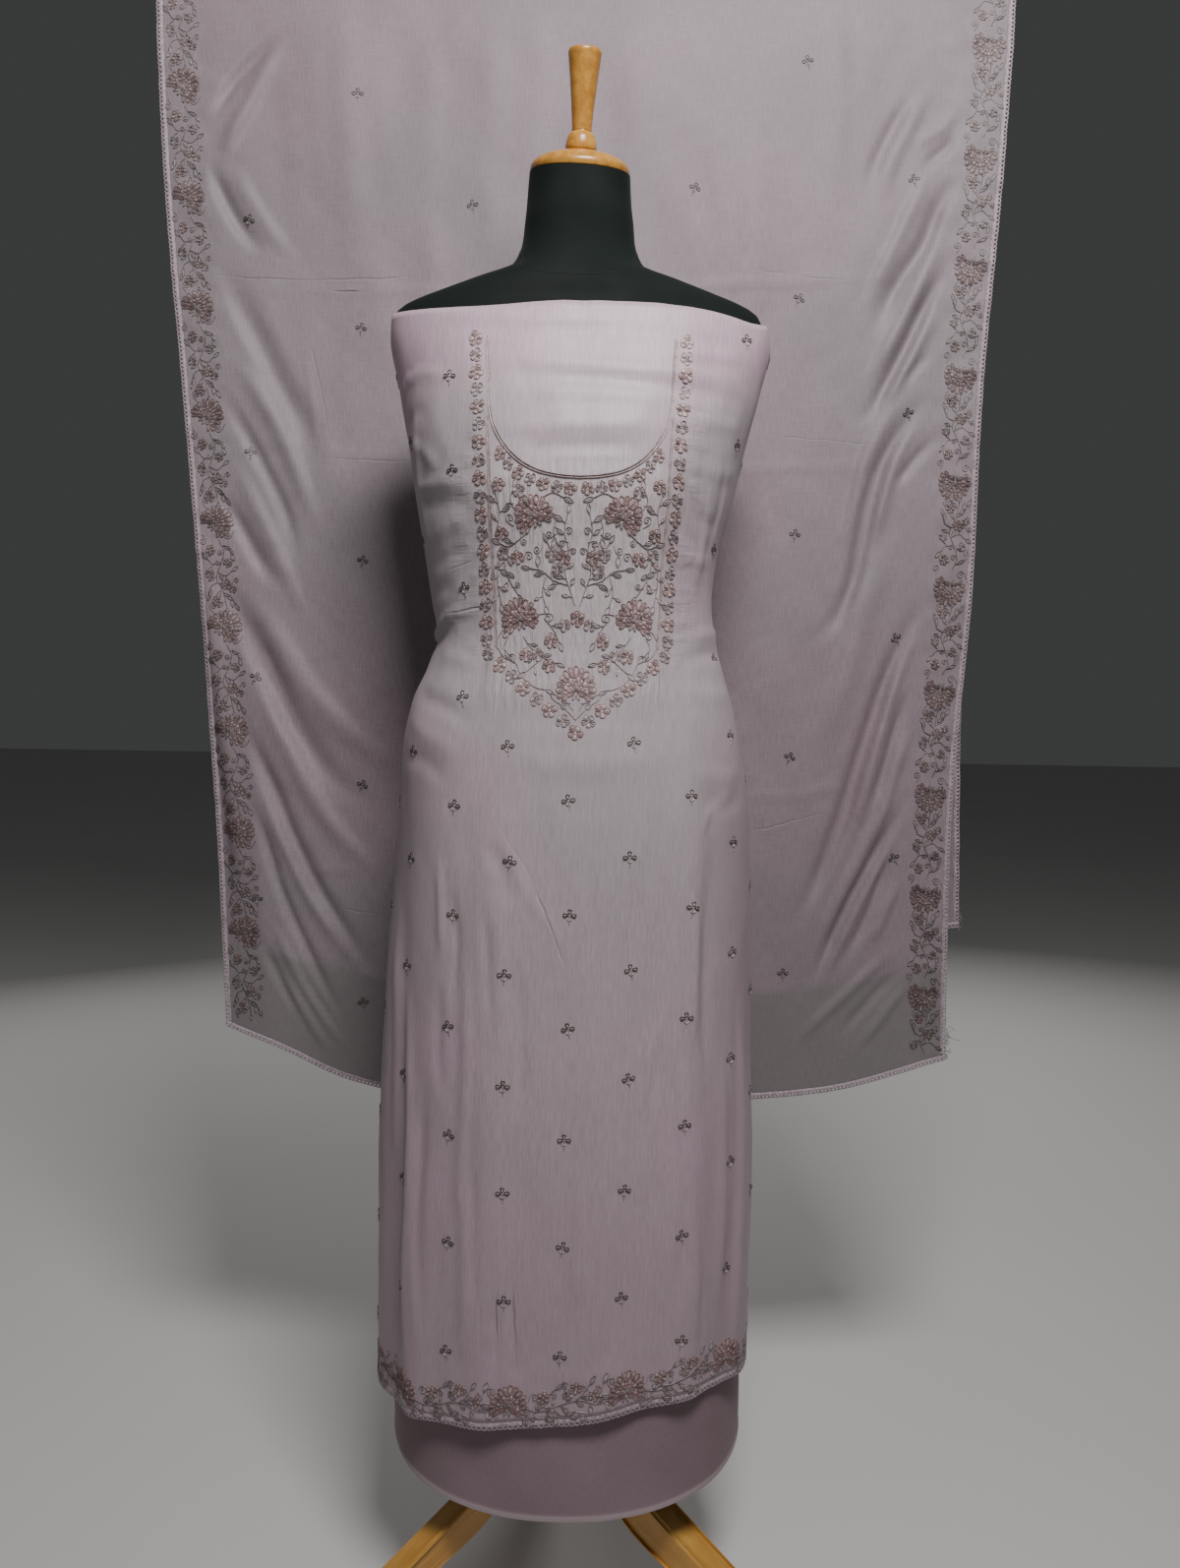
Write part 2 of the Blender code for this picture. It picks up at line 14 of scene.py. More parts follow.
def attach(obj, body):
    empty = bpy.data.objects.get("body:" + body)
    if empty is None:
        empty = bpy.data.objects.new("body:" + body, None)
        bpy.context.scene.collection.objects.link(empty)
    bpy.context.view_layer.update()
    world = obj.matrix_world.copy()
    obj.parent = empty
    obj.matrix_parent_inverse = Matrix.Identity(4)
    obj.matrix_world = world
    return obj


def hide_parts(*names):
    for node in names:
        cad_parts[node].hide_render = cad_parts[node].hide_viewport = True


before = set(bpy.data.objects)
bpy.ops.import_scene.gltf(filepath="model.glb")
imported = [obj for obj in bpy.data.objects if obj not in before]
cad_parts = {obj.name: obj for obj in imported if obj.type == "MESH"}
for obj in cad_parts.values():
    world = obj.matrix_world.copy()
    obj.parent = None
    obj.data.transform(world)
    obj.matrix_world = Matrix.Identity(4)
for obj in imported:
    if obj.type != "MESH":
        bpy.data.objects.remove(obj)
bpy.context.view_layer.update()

# ---------------------------------------------------------------- dress form: padded torso
# A limbless torso of papier-mache under a dark green cotton jersey, stretched over it and
# sewn round the foot of the neck and along the shoulders. It carries the suit.
FORM_AXIS_Y = -0.065
Ring = namedtuple("Ring", "z left right front back")
BODY_RINGS = [
    Ring(1.335, 0.187, 0.188, 0.083, 0.079),
    Ring(1.310, 0.188, 0.193, 0.090, 0.083),
    Ring(1.260, 0.179, 0.184, 0.106, 0.090),
    Ring(1.200, 0.169, 0.169, 0.121, 0.096),
    Ring(1.150, 0.162, 0.158, 0.122, 0.097),
    Ring(1.090, 0.151, 0.143, 0.113, 0.092),
    Ring(1.050, 0.145, 0.140, 0.108, 0.088),
    Ring(1.015, 0.140, 0.145, 0.106, 0.086),
    Ring(0.985, 0.148, 0.153, 0.108, 0.090),
    Ring(0.955, 0.162, 0.162, 0.113, 0.099),
    Ring(0.915, 0.172, 0.171, 0.119, 0.112),
    Ring(0.850, 0.177, 0.182, 0.124, 0.126),
    Ring(0.780, 0.181, 0.185, 0.127, 0.131),
    Ring(0.620, 0.189, 0.188, 0.130, 0.133),
    Ring(0.440, 0.194, 0.195, 0.134, 0.134),
    Ring(0.230, 0.196, 0.196, 0.138, 0.136),
    Ring(0.100, 0.196, 0.196, 0.140, 0.138),
]
RING_SQUARENESS = 2.25
SHOULDER_RINGS = [
    Ring(1.4740, 0.0500, 0.0505, 0.0495, 0.0515),
    Ring(1.4300, 0.0535, 0.0540, 0.0525, 0.0555),
    Ring(1.3930, 0.0600, 0.0600, 0.057, 0.061),
    Ring(1.3785, 0.0690, 0.0690, 0.062, 0.066),
    Ring(1.3700, 0.0880, 0.0880, 0.066, 0.069),
    Ring(1.3640, 0.1080, 0.1080, 0.069, 0.071),
    Ring(1.3570, 0.1290, 0.1290, 0.071, 0.072),
    Ring(1.3490, 0.1520, 0.1520, 0.073, 0.073),
    Ring(1.3420, 0.1705, 0.1705, 0.074, 0.073),
    Ring(1.3360, 0.1810, 0.1810, 0.075, 0.073),
]
TORSO_LEVELS = [1.318, 1.285, 1.245, 1.200, 1.150, 1.100, 1.055, 1.020, 0.985,
                0.955, 0.915, 0.870, 0.820, 0.770, 0.752]
TORSO_FOOT_Z, TORSO_FOOT_DRAW_IN = 0.742, 0.012
GAP_ABOVE_WAIST, GAP_BELOW_WAIST = 0.0042, 0.0123
GAP_CHANGE_TOP, GAP_CHANGE_FOOT = 1.020, 0.985
TORSO_COLUMNS, TORSO_ROWS = 96, 110
NECK_TILT_DEG, NECK_LEAN_DEG = 10.3, 1.9
TORSO_FLAT_RADIUS = 0.16
SEAM_RADIUS, SEAM_SIDES = 0.0004, 6
NECK_SEAM_Z, NECK_SEAM_RISE, NECK_SEAM_POINTS = 1.3560, 0.040, 121
SHOULDER_SEAM_TOP_Z, SHOULDER_SEAM_FOOT_Z, SHOULDER_SEAM_POINTS = 1.4300, 1.3365, 60
SHOULDER_SEAM_FINER = 0.8
SHARP_EDGE_DEG = 40
JERSEY_DARK, JERSEY_LIGHT = (0.0036, 0.0060, 0.0050, 1), (0.0080, 0.0125, 0.0110, 1)
JERSEY_KNIT = (900.0, 900.0, 1600.0)
SEAM_DARK, SEAM_LIGHT = (0.0015, 0.0025, 0.0022, 1), (0.0040, 0.0062, 0.0055, 1)


def smooth_values(at, known, values):
    """Cubic curve through table values, read at an array of places."""
    order = np.argsort(known)
    known = np.asarray(known, float)[order]
    values = np.asarray(values, float)[order]
    slopes = np.gradient(values, known)
    at = np.clip(at, known[0], known[-1])
    i = np.clip(np.searchsorted(known, at) - 1, 0, len(known) - 2)
    span = known[i + 1] - known[i]
    t = (at - known[i]) / span
    start = (1 + 2 * t) * (1 - t) ** 2 * values[i] + t * (1 - t) ** 2 * span * slopes[i]
    end = t * t * (3 - 2 * t) * values[i + 1] + t * t * (t - 1) * span * slopes[i + 1]
    return start + end


def smooth_step(low, high, value):
    t = np.clip((value - low) / (high - low), 0.0, 1.0)
    return t * t * (3 - 2 * t)


def column(rows, name):
    return np.array([getattr(row, name) for row in rows])


def ring_reaches(z):
    """How far the body reaches left, right, front and back of its axis at heights z."""
    known = column(BODY_RINGS, "z")
    return [smooth_values(z, known, column(BODY_RINGS, side)) for side in Ring._fields[1:]]


def ring_points(reaches, angle, z, out=0.0):
    """Points round the body at angles from the front, + to the right, moved out."""
    left, right, front, back = reaches
    sine, cosine = np.sin(angle), np.cos(angle)
    across = np.where(sine > 0, right, left) + out
    deep = np.where(cosine > 0, front, back) + out
    power = 2 / RING_SQUARENESS
    x = np.sign(sine) * np.abs(sine) ** power * across
    y = -np.sign(cosine) * np.abs(cosine) ** power * deep
    return np.stack([x, FORM_AXIS_Y + y, z + 0 * x], axis=-1)


def placed(name, data):
    """A new object in the scene, for a mesh, a light or the camera."""
    made = bpy.data.objects.new(name, data)
    bpy.context.scene.collection.objects.link(made)
    return made


def smooth_mesh(name, points, faces):
    mesh = bpy.data.meshes.new(name)
    mesh.from_pydata(points, [], faces)
    mesh.shade_smooth()
    return mesh


def thicken(piece, wall):
    """Gives a sheet its thickness, half to either side."""
    thick = piece.modifiers.new("wall", "SOLIDIFY")
    thick.thickness = wall
    thick.offset = 0.0


def sheet_mesh(name, points, flat=None, wall=0.0, joined=False):
    """A smooth sheet through a grid of points. flat holds each point's place on the
    uncut cloth, in metres. joined closes the sheet into a tube."""
    rows, columns = points.shape[:2]
    corner = np.arange(rows * columns).reshape(rows, columns)
    after = np.roll(corner, -1, axis=1)
    if not joined:
        corner, after = corner[:, :-1], after[:, :-1]
    faces = np.stack([corner[:-1], after[:-1], after[1:], corner[1:]], axis=-1).reshape(-1, 4)
    mesh = smooth_mesh(name, points.reshape(-1, 3).tolist(), faces.tolist())
    if flat is not None:
        layer = mesh.uv_layers.new(name="cloth")
        layer.data.foreach_set("uv", flat.reshape(-1, 2)[faces.ravel()].ravel())
    piece = placed(name, mesh)
    if wall:
        thicken(piece, wall)
    return piece


def cap_ends(piece, columns, rows):
    """Closes both ends of a tube of points with a face."""
    mesh = piece.data
    points = [tuple(v.co) for v in mesh.vertices]
    faces = [tuple(p.vertices) for p in mesh.polygons]
    first = tuple(range(columns))
    last = tuple(range((rows - 1) * columns, rows * columns))
    closed = smooth_mesh(mesh.name, points, faces + [first[::-1], last])
    if mesh.uv_layers:
        flat = np.zeros(2 * len(closed.loops))
        known = np.zeros(2 * len(mesh.loops))
        mesh.uv_layers[0].data.foreach_get("uv", known)
        flat[:len(known)] = known
        closed.uv_layers.new(name="cloth").data.foreach_set("uv", flat)
    closed.set_sharp_from_angle(angle=math.radians(SHARP_EDGE_DEG))
    piece.data = closed
    return piece


def tube(name, path, radius):
    """A thin round thread along a path of points."""
    path = np.asarray(path, float)
    ahead = np.gradient(path, axis=0)
    ahead /= np.linalg.norm(ahead, axis=1)[:, None]
    side = np.cross(ahead, (0.0, 0.0, 1.0))
    side[np.linalg.norm(side, axis=1) < 0.05] = (1.0, 0.0, 0.0)
    side /= np.linalg.norm(side, axis=1)[:, None]
    up = np.cross(side, ahead)
    turns = np.linspace(0, 2 * math.pi, SEAM_SIDES, endpoint=False)[None, :, None]
    ring = np.cos(turns) * side[:, None] + np.sin(turns) * up[:, None]
    piece = sheet_mesh(name, path[:, None] + radius * ring, joined=True)
    return cap_ends(piece, SEAM_SIDES, len(path))


def join_pieces(name, pieces):
    """Several meshes of one finish made into one piece."""
    points, faces, first = [], [], 0
    for piece in pieces:
        points += [tuple(v.co) for v in piece.data.vertices]
        faces += [tuple(first + i for i in p.vertices) for p in piece.data.polygons]
        first = len(points)
        bpy.data.objects.remove(piece, do_unlink=True)
    return placed(name, smooth_mesh(name, points, faces))


def feed(tree, made, inputs):
    """Gives a shader node's inputs their values, or the sockets that feed them."""
    for name, value in inputs.items():
        if isinstance(value, bpy.types.NodeSocket):
            tree.links.new(value, made.inputs[name])
        else:
            made.inputs[name].default_value = value


def node(tree, kind, inputs=None, **settings):
    made = tree.nodes.new(kind)
    for key, value in settings.items():
        setattr(made, key, value)
    feed(tree, made, inputs or {})
    return made


def flat_place(tree):
    """The place on the uncut cloth, in metres."""
    return node(tree, "ShaderNodeUVMap", uv_map="cloth").outputs[0]


def piece_place(tree):
    """The place on the piece as it stands, in metres."""
    return node(tree, "ShaderNodeTexCoord").outputs["Object"]


def noise(tree, vector, scale, detail=2.0, roughness=0.5):
    made = node(tree, "ShaderNodeTexNoise", {"Vector": vector, "Scale": scale,
                                             "Detail": detail, "Roughness": roughness})
    return made.outputs["Fac"]


def mix_colour(tree, factor, first, second, blend="MIX"):
    made = node(tree, "ShaderNodeMix", {0: factor, 6: first, 7: second},
                data_type="RGBA", blend_type=blend)
    return made.outputs[2]


def arithmetic(tree, operation, first, second=0.0, third=0.0):
    return node(tree, "ShaderNodeMath", {0: first, 1: second, 2: third},
                operation=operation).outputs[0]


def times(tree, *values):
    """All the values multiplied together."""
    product = values[0]
    for value in values[1:]:
        product = arithmetic(tree, "MULTIPLY", product, value)
    return product


def vector_math(tree, operation, first, second):
    return node(tree, "ShaderNodeVectorMath", {0: first, 1: second}, operation=operation).outputs


def map_range(tree, value, low, high, to_low=0.0, to_high=1.0):
    """Rises smoothly from to_low to to_high as the value goes from low to high."""
    made = node(tree, "ShaderNodeMapRange", {"Value": value, "From Min": low, "From Max": high,
                                             "To Min": to_low, "To Max": to_high},
                interpolation_type="SMOOTHSTEP")
    return made.outputs["Result"]


def bump(tree, height, strength, distance, normal=None):
    inputs = {"Height": height, "Strength": strength, "Distance": distance}
    if normal:
        inputs["Normal"] = normal
    return node(tree, "ShaderNodeBump", inputs).outputs["Normal"]


def new_material(name):
    material = bpy.data.materials.new(name)
    material.use_nodes = True
    return material, material.node_tree, material.node_tree.nodes["Principled BSDF"]


def new_group(name, inputs, outputs):
    """A shader node group with named sockets, given as name: socket type."""
    group = bpy.data.node_groups.new(name, "ShaderNodeTree")
    for label, kind in inputs.items():
        group.interface.new_socket(name=label, in_out="INPUT", socket_type=kind)
    for label, kind in outputs.items():
        group.interface.new_socket(name=label, in_out="OUTPUT", socket_type=kind)
    return group, group.nodes.new("NodeGroupInput"), group.nodes.new("NodeGroupOutput")


def thread_group():
    """Streaks and threads of a woven or knitted cloth, from its flat place in metres."""
    sockets = {"Flat": "NodeSocketVector", "Streaks Across": "NodeSocketFloat",
               "Streaks Along": "NodeSocketFloat", "Threads": "NodeSocketFloat"}
    group, given, out = new_group("cloth_threads", sockets,
                                  {"Streak": "NodeSocketFloat", "Thread": "NodeSocketFloat",
                                   "Height": "NodeSocketFloat"})
    spread = node(group, "ShaderNodeCombineXYZ", {"X": given.outputs["Streaks Across"],
                                                 "Y": given.outputs["Streaks Along"]})
    stretched = vector_math(group, "MULTIPLY", given.outputs["Flat"], spread.outputs[0])
    streak = noise(group, stretched[0], 1.0, 3.0, 0.6)
    thread = noise(group, given.outputs["Flat"], given.outputs["Threads"], 1.0)
    both = arithmetic(group, "MULTIPLY_ADD", thread, 0.35, streak)
    feed(group, out, {"Streak": streak, "Thread": thread, "Height": both})
    return group


CLOTH_THREADS = thread_group()


def threads_of(tree, flat, across, along, threads):
    """Streaks and threads in counts to the metre."""
    return node(tree, "ShaderNodeGroup", {"Flat": flat, "Streaks Across": across,
                                          "Streaks Along": along, "Threads": threads},
                node_tree=CLOTH_THREADS).outputs


def torso_profile():
    """Rings from the neck's top down to the torso's foot, evenly spaced down the side."""
    levels = np.array(TORSO_LEVELS + [TORSO_FOOT_Z])
    below = 1 - smooth_step(GAP_CHANGE_FOOT, GAP_CHANGE_TOP, levels)
    gap = GAP_ABOVE_WAIST + below * (GAP_BELOW_WAIST - GAP_ABOVE_WAIST)
    gap[-1] += TORSO_FOOT_DRAW_IN
    lower = np.stack([levels] + [reach - gap for reach in ring_reaches(levels)], axis=1)
    known = np.vstack([np.array(SHOULDER_RINGS), lower])
    steps = np.hypot(np.diff(known[:, 0]), np.diff(known[:, 1]))
    down = np.concatenate([[0.0], np.cumsum(steps)])
    at = np.linspace(0, down[-1], TORSO_ROWS)
    return [smooth_values(at, down, known[:, i])[:, None] for i in range(5)]


def on_tilted_neck(points):
    """Points turned with the neck's top, which is cut lower at the front and to the right."""
    tilt = Euler((math.radians(NECK_TILT_DEG), math.radians(NECK_LEAN_DEG), 0.0))
    turn = np.array(tilt.to_matrix())
    middle = np.array((0.0, FORM_AXIS_Y, SHOULDER_RINGS[0].z))
    return middle + (points - middle) @ turn.T


def tilted_share(z):
    """How much of the tilt a height of the neck takes: all at its top, none at its foot."""
    return np.clip((z - SHOULDER_RINGS[1].z) / (SHOULDER_RINGS[0].z - SHOULDER_RINGS[1].z), 0, 1)


torso_z, *torso_reaches = torso_profile()
torso_angles = np.linspace(0, 2 * math.pi, TORSO_COLUMNS, endpoint=False)[None]
torso_points = ring_points(torso_reaches, torso_angles, torso_z)
torso_points += (on_tilted_neck(torso_points) - torso_points) * tilted_share(torso_z)[..., None]
torso_flat = np.stack(np.broadcast_arrays(torso_angles * TORSO_FLAT_RADIUS, torso_z), axis=-1)
torso = cap_ends(sheet_mesh("form_torso", torso_points, torso_flat, joined=True),
                 TORSO_COLUMNS, TORSO_ROWS)


def torso_point(angle, z):
    """The torso's surface at angles and heights above the waist."""
    order = np.argsort(torso_z[:, 0])
    reaches = [np.interp(z, torso_z[order, 0], reach[order, 0]) for reach in torso_reaches]
    return ring_points(reaches, angle, z)


seam_turn = np.linspace(-math.pi, math.pi, NECK_SEAM_POINTS)
neck_seam = torso_point(seam_turn, NECK_SEAM_Z + NECK_SEAM_RISE * np.sin(seam_turn) ** 2)
seam_z = np.linspace(SHOULDER_SEAM_TOP_Z, SHOULDER_SEAM_FOOT_Z, SHOULDER_SEAM_POINTS)
shoulder_seams = [tube("seam", torso_point(np.full_like(seam_z, side * math.pi / 2), seam_z),
                       SEAM_RADIUS * SHOULDER_SEAM_FINER) for side in (-1, 1)]
seams = join_pieces("form_seams", [tube("seam", neck_seam, SEAM_RADIUS)] + shoulder_seams)

jersey, tree, shader = new_material("form_jersey")
knit = threads_of(tree, flat_place(tree), *JERSEY_KNIT)
cloudy = noise(tree, piece_place(tree), 9.0, 3.0)
feed(tree, shader, {"Base Color": mix_colour(tree, cloudy, JERSEY_DARK, JERSEY_LIGHT),
                    "Roughness": map_range(tree, cloudy, 0.3, 0.7, 0.72, 0.92),
                    "Normal": bump(tree, knit["Height"], 0.25, 0.0004),
                    "Sheen Weight": 0.035, "Sheen Roughness": 0.4,
                    "Sheen Tint": (0.45, 0.6, 0.55, 1), "Specular IOR Level": 0.16})

seam_jersey, tree, shader = new_material("form_seam_thread")
spun = noise(tree, piece_place(tree), 1500.0, 1.0)
feed(tree, shader, {"Base Color": mix_colour(tree, spun, SEAM_DARK, SEAM_LIGHT), "Roughness": 0.8})

torso.data.materials.append(jersey)
seams.data.materials.append(seam_jersey)
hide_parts("form_body")
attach(torso, "root")
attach(seams, "root")

# ---------------------------------------------------------------- dress form: turned wood
# The neck cap and finial are turned from beech, stained honey brown and varnished, and
# screwed to the neck. The pole and hub are turned from the same wood.
SEAM_GAP = 0.0003
TURNED_SIDES, DOME_ROWS, TURNED_FLAT_RADIUS = 72, 14, 0.05
CAP_BASE_Z = SHOULDER_RINGS[0].z + SEAM_GAP
CAP_RADIUS, CAP_RIM, CAP_HEIGHT = 0.0497, 0.004, 0.021
FINIAL_BASE_Z = CAP_BASE_Z + CAP_HEIGHT + SEAM_GAP
FINIAL_OUTLINE = [
    (0.0000, 0.0000), (0.0141, 0.0000), (0.0150, 0.0008), (0.0155, 0.0025), (0.0155, 0.0048),
    (0.0152, 0.0070), (0.0147, 0.0095), (0.0140, 0.0120), (0.0130, 0.0142), (0.0117, 0.0160),
    (0.0106, 0.0170), (0.0097, 0.0175), (0.0095, 0.0181), (0.0099, 0.0186), (0.0098, 0.0196),
    (0.0099, 0.0233), (0.0106, 0.0320), (0.0115, 0.0432), (0.0138, 0.0648), (0.0160, 0.0837),
    (0.0163, 0.0856), (0.0164, 0.0873), (0.0161, 0.0888), (0.0153, 0.0900), (0.0120, 0.0908),
    (0.0070, 0.0911), (0.0000, 0.0912),
]
WOOD_DARK, WOOD_MID = (0.22, 0.085, 0.020, 1), (0.46, 0.225, 0.055, 1)
WOOD_LIGHT = (0.66, 0.37, 0.105, 1)
TURNED_STAIN, LEG_STAIN = (0.80, 0.72, 0.50, 1), (1.0, 0.98, 0.82, 1)
GRAIN_SPREAD, PORE_SPREAD = (130.0, 9.0, 130.0), (900.0, 30.0, 900.0)


def turned(name, outline, base_z):
    """A turned piece on the neck's tilted axis, from its outline of (radius, height)."""
    outline = np.array(outline, float)[1:-1]
    turn = np.linspace(0, 2 * math.pi, TURNED_SIDES, endpoint=False)[None]
    radius, height = outline[:, :1], outline[:, 1:]
    points = np.stack([radius * np.cos(turn), FORM_AXIS_Y + radius * np.sin(turn),
                       base_z + height + 0 * turn], axis=-1)
    points = on_tilted_neck(points)
    flat = np.stack(np.broadcast_arrays(TURNED_FLAT_RADIUS * np.abs(np.cos(turn)), height), axis=-1)
    return cap_ends(sheet_mesh(name, points, flat, joined=True), TURNED_SIDES, len(outline))


def wood_group():
    """Long grain, pores and a soft change of tone along the grain."""
    group, given, out = new_group("wood_grain", {"Grain Place": "NodeSocketVector"},
                                  {"Colour": "NodeSocketColor", "Gloss": "NodeSocketFloat",
                                   "Height": "NodeSocketFloat"})
    stretched = vector_math(group, "MULTIPLY", given.outputs[0], GRAIN_SPREAD)
    fine = vector_math(group, "MULTIPLY", given.outputs[0], PORE_SPREAD)
    grain = noise(group, stretched[0], 1.0, 4.0, 0.6)
    pores = noise(group, fine[0], 1.0, 2.0, 0.7)
    cloudy = noise(group, given.outputs[0], 16.0, 2.0)
    base = mix_colour(group, map_range(group, grain, 0.32, 0.68), WOOD_MID, WOOD_LIGHT)
    pored = mix_colour(group, map_range(group, pores, 0.60, 0.78, 0.0, 0.45), base, WOOD_DARK)
    toned = mix_colour(group, map_range(group, cloudy, 0.35, 0.7, 0.0, 0.35), pored, WOOD_MID)
    feed(group, out, {"Colour": toned, "Gloss": map_range(group, cloudy, 0.3, 0.7, 0.22, 0.40),
                      "Height": arithmetic(group, "MULTIPLY_ADD", pores, -0.5, grain)})
    return group


WOOD_GRAIN = wood_group()


def wood_material(name, grain_place, stain, coat):
    """Wood grained by a place on the piece; the stain tints it and the coat is varnish."""
    material, tree, shader = new_material(name)
    grain = node(tree, "ShaderNodeGroup", {0: grain_place(tree)}, node_tree=WOOD_GRAIN).outputs
    feed(tree, shader, {"Base Color": mix_colour(tree, 1.0, grain["Colour"], stain, "MULTIPLY"),
                        "Roughness": grain["Gloss"],
                        "Normal": bump(tree, grain["Height"], 0.18, 0.0006),
                        "Coat Weight": coat, "Coat Roughness": 0.18, "Specular IOR Level": 0.35})
    return material


turned_wood = wood_material("turned_beech", piece_place, TURNED_STAIN, 0.22)
dome = np.linspace(0, math.pi / 2, DOME_ROWS)
cap_outline = [(0.0, 0.0), (CAP_RADIUS - 0.0010, 0.0), (CAP_RADIUS - 0.0003, 0.0006),
               (CAP_RADIUS, 0.0016), (CAP_RADIUS, CAP_RIM - 0.0004)]
cap_outline += [(CAP_RADIUS * math.cos(turn), CAP_RIM + (CAP_HEIGHT - CAP_RIM) * math.sin(turn))
                for turn in dome[:-1]]
cap_outline += [(0.0, CAP_HEIGHT)]
neck_cap = turned("neck_cap_turned", cap_outline, CAP_BASE_Z)
finial = turned("finial_turned", FINIAL_OUTLINE, FINIAL_BASE_Z)
for piece, solid in ((neck_cap, "form_neck_cap"), (finial, "form_finial")):
    piece.data.materials.append(turned_wood)
    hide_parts(solid)
    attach(piece, "root")


def dress_solid(name, material):
    """Gives a shown CAD node its material."""
    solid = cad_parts[name]
    if not solid.material_slots:
        solid.data.materials.append(material)
    for slot in solid.material_slots:
        slot.link = "OBJECT"
        slot.material = material


for name in ("form_pole", "tripod_hub"):
    dress_solid(name, turned_wood)

# ---------------------------------------------------------------- dress form: bent legs
# Three legs of bent laminated beech, square in section with eased edges, varnished.
# Each sweeps down from the hub and ends flat on the floor.
LEG_TURNS = {"leg_front_left": 210, "leg_front_right": 330, "leg_rear": 90}
LegStation = namedtuple("LegStation", "low_r low_z top_r top_z width")
LEG_STATIONS = [
    LegStation(0.0365, 0.140, 0.0365, 0.200, 0.036),
    LegStation(0.0600, 0.126, 0.0660, 0.176, 0.036),
    LegStation(0.0900, 0.090, 0.1080, 0.130, 0.036),
    LegStation(0.1400, 0.059, 0.1600, 0.094, 0.036),
    LegStation(0.1950, 0.030, 0.2100, 0.062, 0.036),
    LegStation(0.2350, 0.000, 0.2500, 0.036, 0.038),
    LegStation(0.2950, 0.000, 0.2930, 0.014, 0.040),
]
LEG_EASE, LEG_ROWS, LEG_EASE_POINTS, LEG_FLAT_WIDTH = 0.0032, 56, 4, 0.14
LEG_CORNERS = ((1, 1), (1, -1), (-1, -1), (-1, 1))


def leg_rows():
    """Sections down a leg that points along +X, with the length along its middle."""
    known = np.array(LEG_STATIONS)
    middle = (known[:, 0:2] + known[:, 2:4]) / 2
    along = np.concatenate([[0], np.cumsum(np.hypot(*np.diff(middle, axis=0).T))])
    at = np.linspace(0, along[-1], LEG_ROWS)
    low_r, low_z, top_r, top_z, width = (smooth_values(at, along, known[:, i])[:, None]
                                         for i in range(5))
    low_z = np.maximum(low_z, 0.0)
    rise = np.hypot(top_r - low_r, top_z - low_z)
    ups, acrosses = [], []
    # corners run round the section: top right, top left, bottom left, bottom right
    for corner, (sign_up, sign_across) in enumerate(LEG_CORNERS):
        for turn in np.linspace(0, math.pi / 2, LEG_EASE_POINTS):
            angle = corner * math.pi / 2 + turn
            ups.append(sign_up * (rise / 2 - LEG_EASE) + LEG_EASE * math.cos(angle))
            acrosses.append(sign_across * (width / 2 - LEG_EASE) + LEG_EASE * math.sin(angle))
    ups, acrosses = np.concatenate(ups, axis=1), np.concatenate(acrosses, axis=1)
    middle_r, middle_z = (low_r + top_r) / 2, (low_z + top_z) / 2
    r = middle_r + ups / rise * (top_r - low_r)
    z = middle_z + ups / rise * (top_z - low_z)
    return r, acrosses, z, at


leg_wood = wood_material("laminated_beech", flat_place, LEG_STAIN, 0.4)
leg_r, leg_across, leg_z, leg_along = leg_rows()
section = leg_r.shape[1]
for name, degrees in LEG_TURNS.items():
    turn = math.radians(degrees)
    x = leg_r * math.cos(turn) - leg_across * math.sin(turn)
    y = FORM_AXIS_Y + leg_r * math.sin(turn) + leg_across * math.cos(turn)
    round_leg = np.linspace(0, LEG_FLAT_WIDTH, section)[None] + 0 * leg_r + degrees
    flat = np.stack([round_leg, leg_along[:, None] + 0 * leg_r], axis=-1)
    leg = sheet_mesh(f"{name}_bent", np.stack([x, y, leg_z], axis=-1), flat, joined=True)
    leg = cap_ends(leg, section, LEG_ROWS)
    leg.data.materials.append(leg_wood)
    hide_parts(name)
    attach(leg, "root")

# ---------------------------------------------------------------- creases shared by the cloths
# Woven cloth that hangs or is pulled round a form: soft ridges and troughs, each laid
# with its own path, width and depth, and a faint unevenness of the whole sheet.
Crease = namedtuple("Crease", "path width out lean", defaults=(0.0,))
CREASE_TAPER, CREASE_NEAR, CREASE_STEP = 0.35, 2.5, 0.002
UNEVEN_WAVES, UNEVEN_TURN = 26, 0.55


def crease_relief(creases, across, up):
    """How far creases lift the cloth at places (across, up), in metres. A crease's path
    is given from end to end; lean moves its crest to one side, which steepens that side."""
    relief = np.zeros(np.broadcast(across, up).shape)
    across, up = across + relief, up + relief
    for crease in creases:
        path = np.array(crease.path)
        tall = abs(path[-1, 1] - path[0, 1]) > abs(path[-1, 0] - path[0, 0])
        run, cross = (1, 0) if tall else (0, 1)
        along_all, side_all = (up, across) if tall else (across, up)
        low, high = path[:, run].min(), path[:, run].max()
        near = (along_all > low) & (along_all < high)
        near &= (side_all > path[:, cross].min() - CREASE_NEAR * crease.width)
        near &= (side_all < path[:, cross].max() + CREASE_NEAR * crease.width)
        along = along_all[near]
        middle = smooth_values(along, path[:, run], path[:, cross])
        ahead = smooth_values(along + CREASE_STEP, path[:, run], path[:, cross])
        slant = np.cos(np.arctan((ahead - middle) / CREASE_STEP))
        away = np.clip((side_all[near] - middle) * slant / crease.width, -1, 1)
        shifted = np.clip(away + crease.lean * (1 - away ** 2), -1, 1)
        share = (along - low) / (high - low)
        fade = smooth_step(0, CREASE_TAPER, share) * smooth_step(0, CREASE_TAPER, 1 - share)
        relief[near] += crease.out * fade * (0.5 + 0.5 * np.cos(math.pi * shifted))
    return relief


